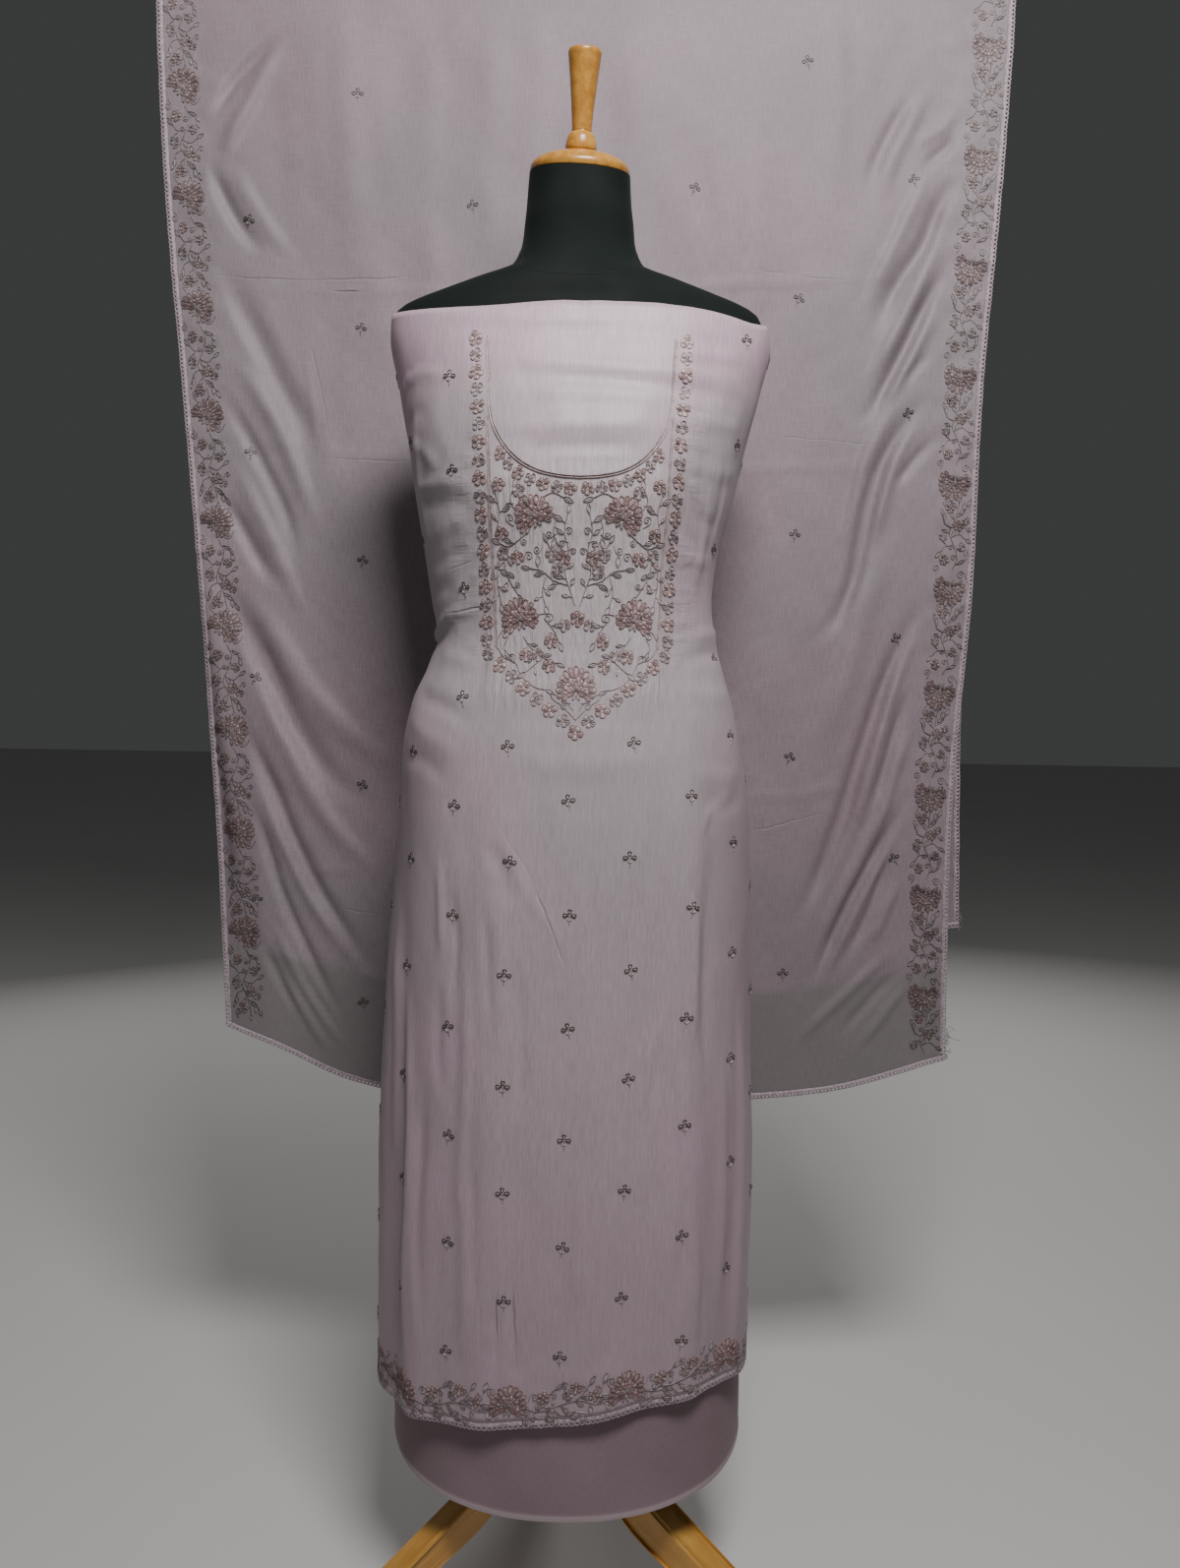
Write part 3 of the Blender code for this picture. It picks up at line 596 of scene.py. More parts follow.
def uneven(across, up, seed, height, shortest=0.07, longest=0.30):
    """A faint unevenness: many slow waves of seeded direction and length."""
    draw = random.Random(seed)
    relief = np.zeros(np.broadcast(across, up).shape)
    for _ in range(UNEVEN_WAVES):
        length = draw.uniform(shortest, longest)
        turn = draw.gauss(0.0, UNEVEN_TURN)
        start = draw.uniform(0, 2 * math.pi)
        relief += np.sin(2 * math.pi * (across * math.cos(turn) + up * math.sin(turn)) / length
                         + start) * length
    return relief * height / (UNEVEN_WAVES ** 0.5 * longest * 0.5)


WAVER = 0.008


def pressed_crease_group():
    """A sharp pressed or pulled line on a cloth: 1 on the line, 0 away from it. It runs from
    a start along a unit direction, wavers a little, and dies away at both ends."""
    sockets = dict.fromkeys(("Flat", "Start", "Ahead", "Aside"), "NodeSocketVector")
    sockets.update(dict.fromkeys(("Length", "Width"), "NodeSocketFloat"))
    group, given, out = new_group("pressed_crease", sockets, {"Line": "NodeSocketFloat"})
    flat, start, forward, sideways, length, width = [given.outputs[name] for name in sockets]
    away = vector_math(group, "SUBTRACT", flat, start)[0]
    along = vector_math(group, "DOT_PRODUCT", away, forward)["Value"]
    aside = vector_math(group, "DOT_PRODUCT", away, sideways)["Value"]
    aside = arithmetic(group, "SUBTRACT", aside, WAVER / 2)
    waver = noise(group, flat, 22.0, 2.0)
    aside = arithmetic(group, "ABSOLUTE", arithmetic(group, "MULTIPLY_ADD", waver, WAVER, aside))
    near = map_range(group, arithmetic(group, "DIVIDE", aside, width), 1.0, 0.0)
    share = arithmetic(group, "DIVIDE", along, length)
    starts, ends = map_range(group, share, 0.0, 0.25), map_range(group, share, 1.0, 0.75)
    broken = map_range(group, noise(group, flat, 14.0, 1.0), 0.32, 0.62, 0.25, 1.0)
    feed(group, out, {"Line": times(group, near, times(group, starts, ends), broken)})
    return group


PRESSED_CREASE = pressed_crease_group()
PressedLine = namedtuple("PressedLine", "start end width depth")


def pressed_lines(tree, flat, lines):
    """All the sharp lines of a cloth; depth says how strongly each one shows, in its bump and in
    the shade painted along it.
    """
    total = None
    for line in lines:
        whole = Vector((line.end[0] - line.start[0], line.end[1] - line.start[1], 0.0))
        ahead = whole.normalized()
        made = node(tree, "ShaderNodeGroup",
                    {"Flat": flat, "Start": (*line.start, 0.0), "Length": whole.length,
                     "Width": line.width, "Ahead": ahead, "Aside": (-ahead.y, ahead.x, 0.0)},
                    node_tree=PRESSED_CREASE)
        shown = arithmetic(tree, "MULTIPLY", made.outputs["Line"], line.depth)
        total = shown if total is None else arithmetic(tree, "MAXIMUM", total, shown)
    return total


# ---------------------------------------------------------------- bottom cloth
# The uncut salwar length: plain matt cotton-silk in a darker mauve, wrapped round the hips
# under the kameez and pinned at the back. Its lower edge is turned up in a narrow hem.
SHOWN_WALL = 0.0008
WRAP_STEP = 0.0025
Inset = namedtuple("Inset", "z left right depth")
SALWAR_INSETS = [
    Inset(1.00, 0.0080, 0.0080, 0.008), Inset(0.60, 0.0085, 0.0080, 0.008),
    Inset(0.27, 0.0140, 0.0080, 0.009), Inset(0.10, 0.0185, 0.0050, 0.005),
]
Edge = namedtuple("Edge", "angle_deg z")
SALWAR_TOP_Z, SALWAR_LAP_DEG = 0.985, 15
SALWAR_HEM = [
    Edge(-180, 0.170), Edge(-90, 0.178), Edge(-45, 0.158), Edge(0, 0.149),
    Edge(45, 0.158), Edge(90, 0.175), Edge(180, 0.170),
]
SALWAR_COLUMNS, SALWAR_ROWS, SALWAR_ROWS_CROWD_DOWN = 200, 56, 2.2
SALWAR_HEM_DEPTH, SALWAR_HEM_PROUD, SALWAR_HEM_STEP = 0.0058, 0.0007, 0.001
SALWAR_LAP_OUT = 0.8 * WRAP_STEP
SALWAR_SOFT_Z, SALWAR_FLAT_Z = 0.45, 0.6
SALWAR_SOFT = [
    Crease([(-0.150, 0.14), (-0.140, 0.30), (-0.150, 0.50)], 0.030, 0.0022, 0.3),
    Crease([(-0.040, 0.13), (-0.050, 0.28), (-0.045, 0.45)], 0.035, 0.0014),
    Crease([(0.080, 0.13), (0.085, 0.27), (0.075, 0.45)], 0.040, 0.0016, -0.3),
    Crease([(0.165, 0.14), (0.160, 0.30), (0.165, 0.50)], 0.028, 0.0020),
    Crease([(0.250, 0.14), (0.260, 0.40)], 0.035, 0.0020),
    Crease([(-0.260, 0.14), (-0.250, 0.42)], 0.040, 0.0022),
    Crease([(0.380, 0.13), (0.375, 0.45)], 0.045, 0.0024, 0.2),
    Crease([(-0.390, 0.13), (-0.400, 0.48)], 0.045, 0.0020, -0.2),
]
SALWAR_DARK, SALWAR_LIGHT = (0.205, 0.143, 0.164, 1), (0.272, 0.198, 0.226, 1)
SALWAR_HEM_PALE = (0.44, 0.37, 0.39, 1)
SALWAR_WEAVE, SALWAR_SLUB = (1300.0, 150.0, 1500.0), (90.0, 900.0, 600.0)
SALWAR_UNEVEN = (5, 0.0004)


def edge_height(edges, angle):
    wrapped = np.degrees(np.arctan2(np.sin(angle), np.cos(angle)))
    return smooth_values(wrapped, column(edges, "angle_deg"), column(edges, "z"))


def surface_normals(points):
    """Unit normals of a grid of points, outward where rows run up and columns to the right."""
    rows, columns = np.gradient(points, axis=0), np.gradient(points, axis=1)
    normals = np.cross(columns, rows)
    return normals / np.linalg.norm(normals, axis=-1, keepdims=True)


def arc_lengths(points):
    """Length round each row of a grid of points, from its first point."""
    steps = np.linalg.norm(np.diff(points, axis=1), axis=-1)
    return np.concatenate([np.zeros((len(points), 1)), np.cumsum(steps, axis=1)], axis=1)


def salwar_points():
    reach = math.pi + math.radians(SALWAR_LAP_DEG)
    turn = np.linspace(-1, 1, SALWAR_COLUMNS + 1)[None]
    angle = turn * reach
    height = np.linspace(0, 1, SALWAR_ROWS)[:, None] ** SALWAR_ROWS_CROWD_DOWN
    hem = edge_height(SALWAR_HEM, angle)
    z = hem + height * (SALWAR_TOP_Z - hem)
    known = column(SALWAR_INSETS, "z")
    left, right, depth = (smooth_values(z, known, column(SALWAR_INSETS, side))
                          for side in Inset._fields[1:])
    outer_left, outer_right, outer_front, outer_back = ring_reaches(z)
    reaches = [outer_left - left, outer_right - right, outer_front - depth, outer_back - depth]
    points = ring_points(reaches, angle, z, SALWAR_LAP_OUT * turn)
    around = arc_lengths(points)
    around -= around[:, SALWAR_COLUMNS // 2][:, None]
    shown = 1 - smooth_step(SALWAR_SOFT_Z, SALWAR_FLAT_Z, z)
    relief = crease_relief(SALWAR_SOFT, around, z) * shown
    relief += uneven(around, z, *SALWAR_UNEVEN) * shown
    hem_fold = 1 - smooth_step(SALWAR_HEM_DEPTH - SALWAR_HEM_STEP, SALWAR_HEM_DEPTH, z - hem)
    relief += SALWAR_HEM_PROUD * hem_fold
    points = points + surface_normals(points) * relief[..., None]
    return points, np.stack([around, z], axis=-1), hem_fold


def cotton_material():
    material, tree, shader = new_material("salwar_cotton")
    flat = flat_place(tree)
    hem = node(tree, "ShaderNodeAttribute", attribute_name="turned_hem").outputs["Fac"]
    weave, slub = threads_of(tree, flat, *SALWAR_WEAVE), threads_of(tree, flat, *SALWAR_SLUB)
    cloudy = noise(tree, flat, 7.0, 3.0)
    shade = arithmetic(tree, "MULTIPLY_ADD", weave["Streak"], 0.45, times(tree, cloudy, 0.55))
    body = mix_colour(tree, map_range(tree, shade, 0.3, 0.7), SALWAR_DARK, SALWAR_LIGHT)
    both = arithmetic(tree, "MULTIPLY_ADD", slub["Streak"], 0.5, weave["Height"])
    body = mix_colour(tree, times(tree, hem, 0.55), body, SALWAR_HEM_PALE)
    feed(tree, shader, {"Base Color": body,
                        "Roughness": map_range(tree, weave["Thread"], 0.3, 0.7, 0.66, 0.82),
                        "Normal": bump(tree, both, 0.22, 0.0005), "Sheen Weight": 0.03,
                        "Sheen Roughness": 0.5, "Specular IOR Level": 0.30})
    return material


def mark_points(piece, name, values):
    """A value kept at each of a mesh's points, which its material reads by name."""
    kept = piece.data.attributes.new(name, "FLOAT", "POINT")
    kept.data.foreach_set("value", np.asarray(values, float).ravel())


salwar_grid, salwar_flat, salwar_hem = salwar_points()
salwar = sheet_mesh("salwar_length", salwar_grid, salwar_flat, SHOWN_WALL)
mark_points(salwar, "turned_hem", salwar_hem)
salwar.data.materials.append(cotton_material())
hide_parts("salwar_cloth")
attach(salwar, "root")

# ---------------------------------------------------------------- kameez length
# The uncut kameez length: fine lilac crepe-satin, pulled straight across the chest from
# arm to arm, lapped and pinned at the centre back, and hanging straight from the waist.
KAMEEZ_LAP_DEG = 20
KAMEEZ_TOP = [
    Edge(-180, 1.322), Edge(-90, 1.333), Edge(-60, 1.327), Edge(-25, 1.322),
    Edge(0, 1.327), Edge(35, 1.325), Edge(60, 1.320), Edge(90, 1.329), Edge(180, 1.322),
]
KAMEEZ_HEM = [
    Edge(-180, 0.250), Edge(-90, 0.240), Edge(-45, 0.236), Edge(-15, 0.244), Edge(0, 0.250),
    Edge(20, 0.262), Edge(45, 0.266), Edge(90, 0.262), Edge(180, 0.250),
]
LACE_WIDTH = 0.008
SkirtFold = namedtuple("SkirtFold", "angle_deg width_deg out z_high")
KAMEEZ_FOLDS = [
    SkirtFold(-72, 14, 0.0050, 0.80),
    SkirtFold(-46, 11, 0.0060, 0.55),
    SkirtFold(-20, 12, 0.0035, 0.90),
    SkirtFold(9, 12, 0.0030, 0.75),
    SkirtFold(36, 12, 0.0045, 0.95),
    SkirtFold(66, 13, 0.0050, 0.70),
    SkirtFold(112, 15, 0.0060, 0.85),
    SkirtFold(150, 14, 0.0050, 0.75),
    SkirtFold(-112, 14, 0.0055, 0.80),
    SkirtFold(-148, 15, 0.0060, 0.90),
]
FOLD_FADE = 0.16
KAMEEZ_CREASES = [
    # pulls across the chest, from arm to arm
    Crease([(-0.170, 1.318), (-0.050, 1.310), (0.080, 1.313)], 0.011, 0.0012),
    Crease([(-0.075, 1.296), (0.020, 1.297), (0.180, 1.290)], 0.010, -0.0010),
    Crease([(0.070, 1.277), (0.120, 1.281), (0.185, 1.286)], 0.008, 0.0014, 0.3),
    Crease([(-0.100, 1.268), (0.000, 1.262), (0.090, 1.257), (0.195, 1.256)],
           0.012, 0.0018, -0.35),
    Crease([(-0.085, 1.252), (0.000, 1.251), (0.090, 1.245), (0.200, 1.240)], 0.009, -0.0016),
    Crease([(-0.070, 1.234), (0.000, 1.236), (0.095, 1.231)], 0.009, 0.0010),
    Crease([(0.080, 1.214), (0.130, 1.214), (0.190, 1.216)], 0.009, 0.0016, -0.3),
    Crease([(-0.060, 1.215), (0.020, 1.216), (0.090, 1.212)], 0.010, 0.0008),
    Crease([(-0.085, 1.200), (0.000, 1.203), (0.095, 1.203)], 0.010, 0.0018, -0.3),
    Crease([(-0.062, 1.184), (0.005, 1.186), (0.075, 1.188)], 0.008, -0.0020),
    # the left arm and bust
    Crease([(-0.215, 1.232), (-0.185, 1.256), (-0.150, 1.260), (-0.112, 1.250)],
           0.007, 0.0020, -0.4),
    Crease([(-0.210, 1.213), (-0.180, 1.225), (-0.145, 1.228)], 0.010, -0.0010),
    Crease([(-0.200, 1.206), (-0.165, 1.190), (-0.125, 1.163)], 0.010, 0.0014),
    Crease([(-0.196, 1.170), (-0.168, 1.160), (-0.140, 1.160), (-0.088, 1.156)],
           0.009, 0.0022, 0.4),
    Crease([(-0.190, 1.146), (-0.160, 1.140), (-0.120, 1.138), (-0.088, 1.136)], 0.014, -0.0022),
    Crease([(-0.180, 1.108), (-0.150, 1.112), (-0.110, 1.118), (-0.085, 1.122)], 0.012, 0.0012),
    Crease([(-0.178, 1.080), (-0.140, 1.086), (-0.090, 1.096)], 0.010, -0.0010),
    Crease([(-0.170, 1.250), (-0.176, 1.200), (-0.172, 1.140), (-0.160, 1.080)],
           0.012, 0.0016, 0.2),
    # the right arm and bust
    Crease([(0.100, 1.176), (0.150, 1.172), (0.200, 1.178)], 0.012, 0.0012),
    Crease([(0.155, 1.192), (0.160, 1.150), (0.153, 1.105)], 0.010, -0.0018, -0.3),
    Crease([(0.138, 1.175), (0.142, 1.130), (0.136, 1.090), (0.128, 1.050)], 0.011, 0.0016),
    Crease([(0.098, 1.138), (0.135, 1.126), (0.175, 1.122)], 0.010, -0.0010),
    Crease([(0.095, 1.100), (0.130, 1.090), (0.170, 1.092)], 0.010, 0.0010),
    Crease([(0.092, 1.039), (0.112, 1.032), (0.140, 1.033)], 0.006, 0.0010),
    # gathered at the waist
    Crease([(-0.215, 1.006), (-0.170, 1.022), (-0.130, 1.036), (-0.088, 1.040)],
           0.008, 0.0032, 0.45),
    Crease([(-0.210, 0.994), (-0.165, 1.009), (-0.120, 1.020)], 0.010, -0.0022),
    Crease([(-0.200, 1.052), (-0.160, 1.058), (-0.110, 1.062)], 0.012, -0.0014),
    Crease([(-0.150, 1.000), (-0.120, 0.990), (-0.085, 0.985)], 0.010, 0.0012),
    Crease([(0.100, 0.992), (0.150, 1.000), (0.210, 0.998)], 0.010, -0.0020),
    Crease([(0.110, 1.012), (0.160, 1.018), (0.215, 1.020)], 0.010, 0.0020, -0.3),
    Crease([(0.100, 0.968), (0.150, 0.960), (0.200, 0.962)], 0.014, 0.0012),
    # over the hips
    Crease([(-0.190, 0.958), (-0.140, 0.948), (-0.085, 0.928)], 0.014, -0.0024),
    Crease([(-0.200, 0.934), (-0.150, 0.918), (-0.100, 0.898)], 0.015, 0.0016),
    Crease([(-0.205, 0.890), (-0.160, 0.893), (-0.110, 0.870)], 0.014, -0.0016),
    Crease([(-0.080, 0.900), (0.010, 0.892), (0.110, 0.902)], 0.020, 0.0010),
    Crease([(0.110, 0.890), (0.160, 0.880), (0.205, 0.884)], 0.014, 0.0012),
    Crease([(0.120, 0.866), (0.165, 0.852), (0.200, 0.858)], 0.014, -0.0014),
    Crease([(0.120, 0.815), (0.140, 0.845), (0.175, 0.860)], 0.008, 0.0012),
    # the fine slanting crease and its neighbours
    Crease([(-0.064, 0.832), (-0.052, 0.802), (-0.036, 0.770), (-0.017, 0.744), (0.003, 0.706)],
           0.0055, 0.0016, 0.3),
    Crease([(-0.078, 0.826), (-0.062, 0.790), (-0.052, 0.750)], 0.012, -0.0018),
    Crease([(0.030, 0.820), (0.036, 0.770), (0.034, 0.715)], 0.007, 0.0006),
    # upright folds and dimples of the skirt, left to right
    Crease([(-0.190, 0.760), (-0.184, 0.600), (-0.186, 0.460)], 0.014, 0.0024, 0.3),
    Crease([(-0.168, 0.700), (-0.160, 0.520), (-0.160, 0.330), (-0.148, 0.225)],
           0.012, 0.0040, 0.45),
    Crease([(-0.142, 0.600), (-0.146, 0.440), (-0.136, 0.300)], 0.012, -0.0030, 0.2),
    Crease([(-0.132, 0.808), (-0.129, 0.745), (-0.127, 0.690)], 0.008, 0.0024, -0.3),
    Crease([(-0.115, 0.780), (-0.109, 0.720), (-0.112, 0.650)], 0.008, -0.0020),
    Crease([(-0.126, 0.690), (-0.128, 0.620), (-0.124, 0.560)], 0.010, -0.0016),
    Crease([(-0.100, 0.735), (-0.098, 0.590), (-0.108, 0.430)], 0.012, 0.0022, -0.2),
    Crease([(-0.078, 0.775), (-0.073, 0.700), (-0.068, 0.620)], 0.007, -0.0020, 0.3),
    Crease([(-0.064, 0.770), (-0.062, 0.690), (-0.060, 0.600)], 0.009, 0.0016),
    Crease([(-0.049, 0.715), (-0.042, 0.640), (-0.046, 0.545)], 0.008, -0.0018, -0.3),
    Crease([(-0.104, 0.520), (-0.094, 0.430), (-0.098, 0.300)], 0.014, 0.0020),
    Crease([(-0.084, 0.560), (-0.088, 0.450), (-0.082, 0.320)], 0.010, -0.0014),
    Crease([(-0.0625, 0.372), (-0.0620, 0.335), (-0.0610, 0.290)], 0.0045, -0.0013),
    Crease([(-0.0450, 0.380), (-0.0445, 0.340), (-0.0440, 0.288)], 0.0045, -0.0014),
    Crease([(-0.054, 0.400), (-0.053, 0.340), (-0.053, 0.262)], 0.009, 0.0010),
    Crease([(-0.020, 0.620), (-0.012, 0.500), (-0.016, 0.400)], 0.016, 0.0010),
    Crease([(0.012, 0.540), (0.014, 0.450), (0.010, 0.340)], 0.012, 0.0022, -0.3),
    Crease([(0.036, 0.620), (0.028, 0.548), (0.022, 0.500)], 0.009, 0.0014, 0.4),
    Crease([(0.048, 0.440), (0.056, 0.370), (0.050, 0.300)], 0.014, -0.0010),
    Crease([(0.103, 0.668), (0.089, 0.628), (0.083, 0.598), (0.079, 0.545)], 0.007, 0.0020, 0.45),
    Crease([(0.094, 0.600), (0.090, 0.545), (0.092, 0.470)], 0.010, 0.0018),
    Crease([(0.119, 0.790), (0.121, 0.700), (0.121, 0.600)], 0.012, 0.0030, -0.4),
    Crease([(0.142, 0.800), (0.142, 0.690), (0.146, 0.560)], 0.012, -0.0030, 0.2),
    Crease([(0.106, 0.560), (0.118, 0.500), (0.116, 0.340)], 0.010, -0.0018, 0.3),
    Crease([(0.095, 0.500), (0.099, 0.390), (0.101, 0.275)], 0.007, 0.0024, 0.5),
    Crease([(0.128, 0.480), (0.134, 0.380), (0.132, 0.290)], 0.011, 0.0020),
    Crease([(0.142, 0.400), (0.1430, 0.345), (0.1440, 0.290)], 0.006, -0.0016),
    Crease([(0.163, 0.640), (0.166, 0.480), (0.160, 0.300)], 0.012, 0.0028, -0.3),
    Crease([(0.184, 0.700), (0.188, 0.520), (0.182, 0.320)], 0.011, -0.0022),
    # lifted hem edge, right and left
    Crease([(0.196, 0.480), (0.196, 0.380), (0.190, 0.255)], 0.012, 0.0030, 0.3),
    Crease([(-0.030, 0.300), (0.020, 0.300), (0.080, 0.306)], 0.008, 0.0006),
    # sides and back, where the cloth hangs from the hips
    Crease([(-0.235, 0.860), (-0.240, 0.600), (-0.236, 0.300)], 0.020, 0.0036, 0.3),
    Crease([(-0.285, 0.700), (-0.280, 0.480), (-0.290, 0.250)], 0.018, -0.0030),
    Crease([(-0.330, 0.900), (-0.335, 0.640), (-0.325, 0.330)], 0.020, 0.0034, -0.3),
    Crease([(-0.385, 0.780), (-0.380, 0.520), (-0.390, 0.260)], 0.020, -0.0028),
    Crease([(-0.440, 0.880), (-0.446, 0.600), (-0.436, 0.300)], 0.022, 0.0036, 0.2),
    Crease([(-0.500, 0.760), (-0.492, 0.500), (-0.500, 0.260)], 0.020, 0.0026),
    Crease([(0.240, 0.850), (0.236, 0.620), (0.246, 0.300)], 0.018, 0.0034, -0.3),
    Crease([(0.290, 0.720), (0.296, 0.480), (0.288, 0.260)], 0.018, -0.0030),
    Crease([(0.340, 0.900), (0.334, 0.600), (0.344, 0.320)], 0.020, 0.0036, 0.3),
    Crease([(0.398, 0.800), (0.404, 0.520), (0.396, 0.270)], 0.020, -0.0026),
    Crease([(0.455, 0.860), (0.450, 0.620), (0.460, 0.300)], 0.020, 0.0034),
    Crease([(0.510, 0.700), (0.516, 0.480), (0.508, 0.260)], 0.018, 0.0024, 0.3),
    Crease([(-0.300, 1.235), (-0.400, 1.228), (-0.520, 1.240)], 0.014, 0.0016),
    Crease([(-0.280, 1.150), (-0.380, 1.158), (-0.500, 1.142)], 0.014, -0.0016),
    Crease([(-0.260, 1.052), (-0.360, 1.040), (-0.470, 1.050)], 0.012, 0.0024, 0.3),
    Crease([(-0.240, 1.018), (-0.340, 1.010), (-0.440, 1.022)], 0.012, -0.0022),
    Crease([(0.270, 1.250), (0.380, 1.240), (0.510, 1.246)], 0.014, 0.0018),
    Crease([(0.260, 1.180), (0.360, 1.172), (0.480, 1.184)], 0.014, -0.0014),
    Crease([(0.250, 1.058), (0.350, 1.050), (0.460, 1.060)], 0.012, 0.0022, -0.3),
    Crease([(0.240, 1.010), (0.340, 1.020), (0.440, 1.012)], 0.012, -0.0020),
    Crease([(-0.460, 0.975), (-0.360, 0.960), (-0.270, 0.968)], 0.016, 0.0020),
    Crease([(0.280, 0.962), (0.380, 0.952), (0.480, 0.968)], 0.016, 0.0020),
]
KAMEEZ_ROWS = 196
FRONT_REACH, FRONT_COLUMNS, BACK_COLUMNS = math.radians(78), 132, 42
TABLE_LOW_Z, TABLE_HIGH_Z, TABLE_ROWS = 0.226, 1.345, 300
TABLE_TURNS, TABLE_COLUMNS, TABLE_HALF = 1201, 560, 0.66
HEM_MEAN_Z = 0.25
KAMEEZ_UNEVEN, KAMEEZ_FINELY_UNEVEN = (11, 0.0006), (12, 0.00022, 0.025, 0.07)


def kameez_surface(angle, z, around, turn):
    """The kameez's middle at angles and heights; around is the length from centre front."""
    folds = np.zeros(np.broadcast(angle, z).shape)
    for fold in KAMEEZ_FOLDS:
        away = np.radians(fold.angle_deg) - angle
        away = np.abs(np.degrees(np.arctan2(np.sin(away), np.cos(away))))
        ridge = 0.5 + 0.5 * np.cos(math.pi * np.minimum(away / fold.width_deg, 1))
        folds += fold.out * ridge * (1 - smooth_step(fold.z_high - FOLD_FADE, fold.z_high, z))
    points = ring_points(ring_reaches(z), angle, z, WRAP_STEP * turn + folds)
    relief = crease_relief(KAMEEZ_CREASES, around, z)
    relief += uneven(around, z, *KAMEEZ_UNEVEN) + uneven(around, z, *KAMEEZ_FINELY_UNEVEN)
    return points + surface_normals(points) * relief[..., None]


def kameez_arcs():
    """For rows of heights: angle steps and the length round the body from centre front."""
    z = np.linspace(TABLE_LOW_Z, TABLE_HIGH_Z, TABLE_ROWS)[:, None]
    reach = math.pi + math.radians(KAMEEZ_LAP_DEG)
    angle = np.linspace(-reach, reach, TABLE_TURNS)[None]
    around = arc_lengths(ring_points(ring_reaches(z), angle, z))
    return z, angle, around - around[:, TABLE_TURNS // 2][:, None]


def read_table(table, first, step, at):
    """Bilinear reading of a table (rows, columns, ...) at places (across, up)."""
    place = [(at[i] - first[i]) / step[i] for i in (0, 1)]
    place = [np.clip(place[i], 0, table.shape[1 - i] - 1.001) for i in (0, 1)]
    c, r = place[0].astype(int), place[1].astype(int)
    across, up = (place[0] - c)[..., None], (place[1] - r)[..., None]
    low = table[r, c] * (1 - across) + table[r, c + 1] * across
    high = table[r + 1, c] * (1 - across) + table[r + 1, c + 1] * across
    return low * (1 - up) + high * up


arc_z, arc_angle, arc_around = kameez_arcs()
arc_first = (arc_angle[0, 0], TABLE_LOW_Z)
arc_step = (arc_angle[0, 1] - arc_angle[0, 0], arc_z[1, 0] - arc_z[0, 0])


def around_at(angle, z):
    return read_table(arc_around[..., None], arc_first, arc_step, (angle, z))[..., 0]


def kameez_table():
    """Places and normals of the kameez over (length round, height)."""
    around = np.linspace(-TABLE_HALF, TABLE_HALF, TABLE_COLUMNS)
    angle = np.stack([np.interp(around, arc_around[r], arc_angle[0]) for r in range(TABLE_ROWS)])
    turn = angle / arc_angle[0, -1]
    points = kameez_surface(angle, arc_z + 0 * angle, around[None] + 0 * angle, turn)
    return points, surface_normals(points), angle


kameez_places, kameez_normals, kameez_angles = kameez_table()
table_first = (-TABLE_HALF, TABLE_LOW_Z)
table_step = (2 * TABLE_HALF / (TABLE_COLUMNS - 1), arc_step[1])


def on_kameez(across, up, lift):
    """Points on the kameez: length round from centre front, height, and lift off it."""
    at = (np.asarray(across, float), np.asarray(up, float))
    places = read_table(kameez_places, table_first, table_step, at)
    normals = read_table(kameez_normals, table_first, table_step, at)
    return places + normals * (SHOWN_WALL / 2 + np.asarray(lift, float))[..., None]


def kameez_hem_z(across):
    """Height of the kameez's lower edge, lace included, at lengths from centre front."""
    across = np.asarray(across, float)
    angle = read_table(kameez_angles[..., None], table_first, table_step,
                       (across, np.full_like(across, HEM_MEAN_Z)))[..., 0]
    return edge_height(KAMEEZ_HEM, angle)


reach = math.pi + math.radians(KAMEEZ_LAP_DEG)
kameez_turns = np.concatenate([
    np.linspace(-reach, -FRONT_REACH, BACK_COLUMNS, endpoint=False),
    np.linspace(-FRONT_REACH, FRONT_REACH, FRONT_COLUMNS, endpoint=False),
    np.linspace(FRONT_REACH, reach, BACK_COLUMNS + 1),
])[None]
hem_top = edge_height(KAMEEZ_HEM, kameez_turns) + LACE_WIDTH
kameez_z = hem_top + np.linspace(0, 1, KAMEEZ_ROWS)[:, None] * (
    edge_height(KAMEEZ_TOP, kameez_turns) - hem_top)
kameez_around = around_at(kameez_turns + 0 * kameez_z, kameez_z)
kameez_grid = kameez_surface(kameez_turns, kameez_z, kameez_around, kameez_turns / reach)
kameez_flat = np.stack([kameez_around, kameez_z], axis=-1)
kameez = sheet_mesh("kameez_length", kameez_grid, kameez_flat, SHOWN_WALL)

CREPE_PINK, CREPE_GREY = (0.525, 0.378, 0.452, 1), (0.424, 0.378, 0.395, 1)
CREPE_DEEP = (0.290, 0.215, 0.248, 1)
# Sharp creases: each is bumped, and shade is painted along it in the colour.
KAMEEZ_PRESSED = [
    PressedLine((-0.0600, 0.392), (-0.0626, 0.300), 0.0012, 0.9),
    PressedLine((-0.0470, 0.396), (-0.0420, 0.296), 0.0013, 1.0),
    PressedLine((-0.0700, 0.846), (-0.0300, 0.776), 0.0022, 0.4),
    PressedLine((-0.0340, 0.782), (0.0020, 0.700), 0.0019, 0.7),
    PressedLine((-0.1420, 1.0350), (-0.0800, 1.0410), 0.0019, 1.0),
    PressedLine((-0.1300, 1.0760), (-0.0960, 1.0840), 0.0016, 0.5),
    PressedLine((0.0960, 1.0480), (0.1180, 1.0420), 0.0016, 0.7),
    PressedLine((-0.400, 0.640), (-0.392, 0.480), 0.0014, 0.8),
    PressedLine((0.410, 0.560), (0.418, 0.380), 0.0014, 0.8),
]
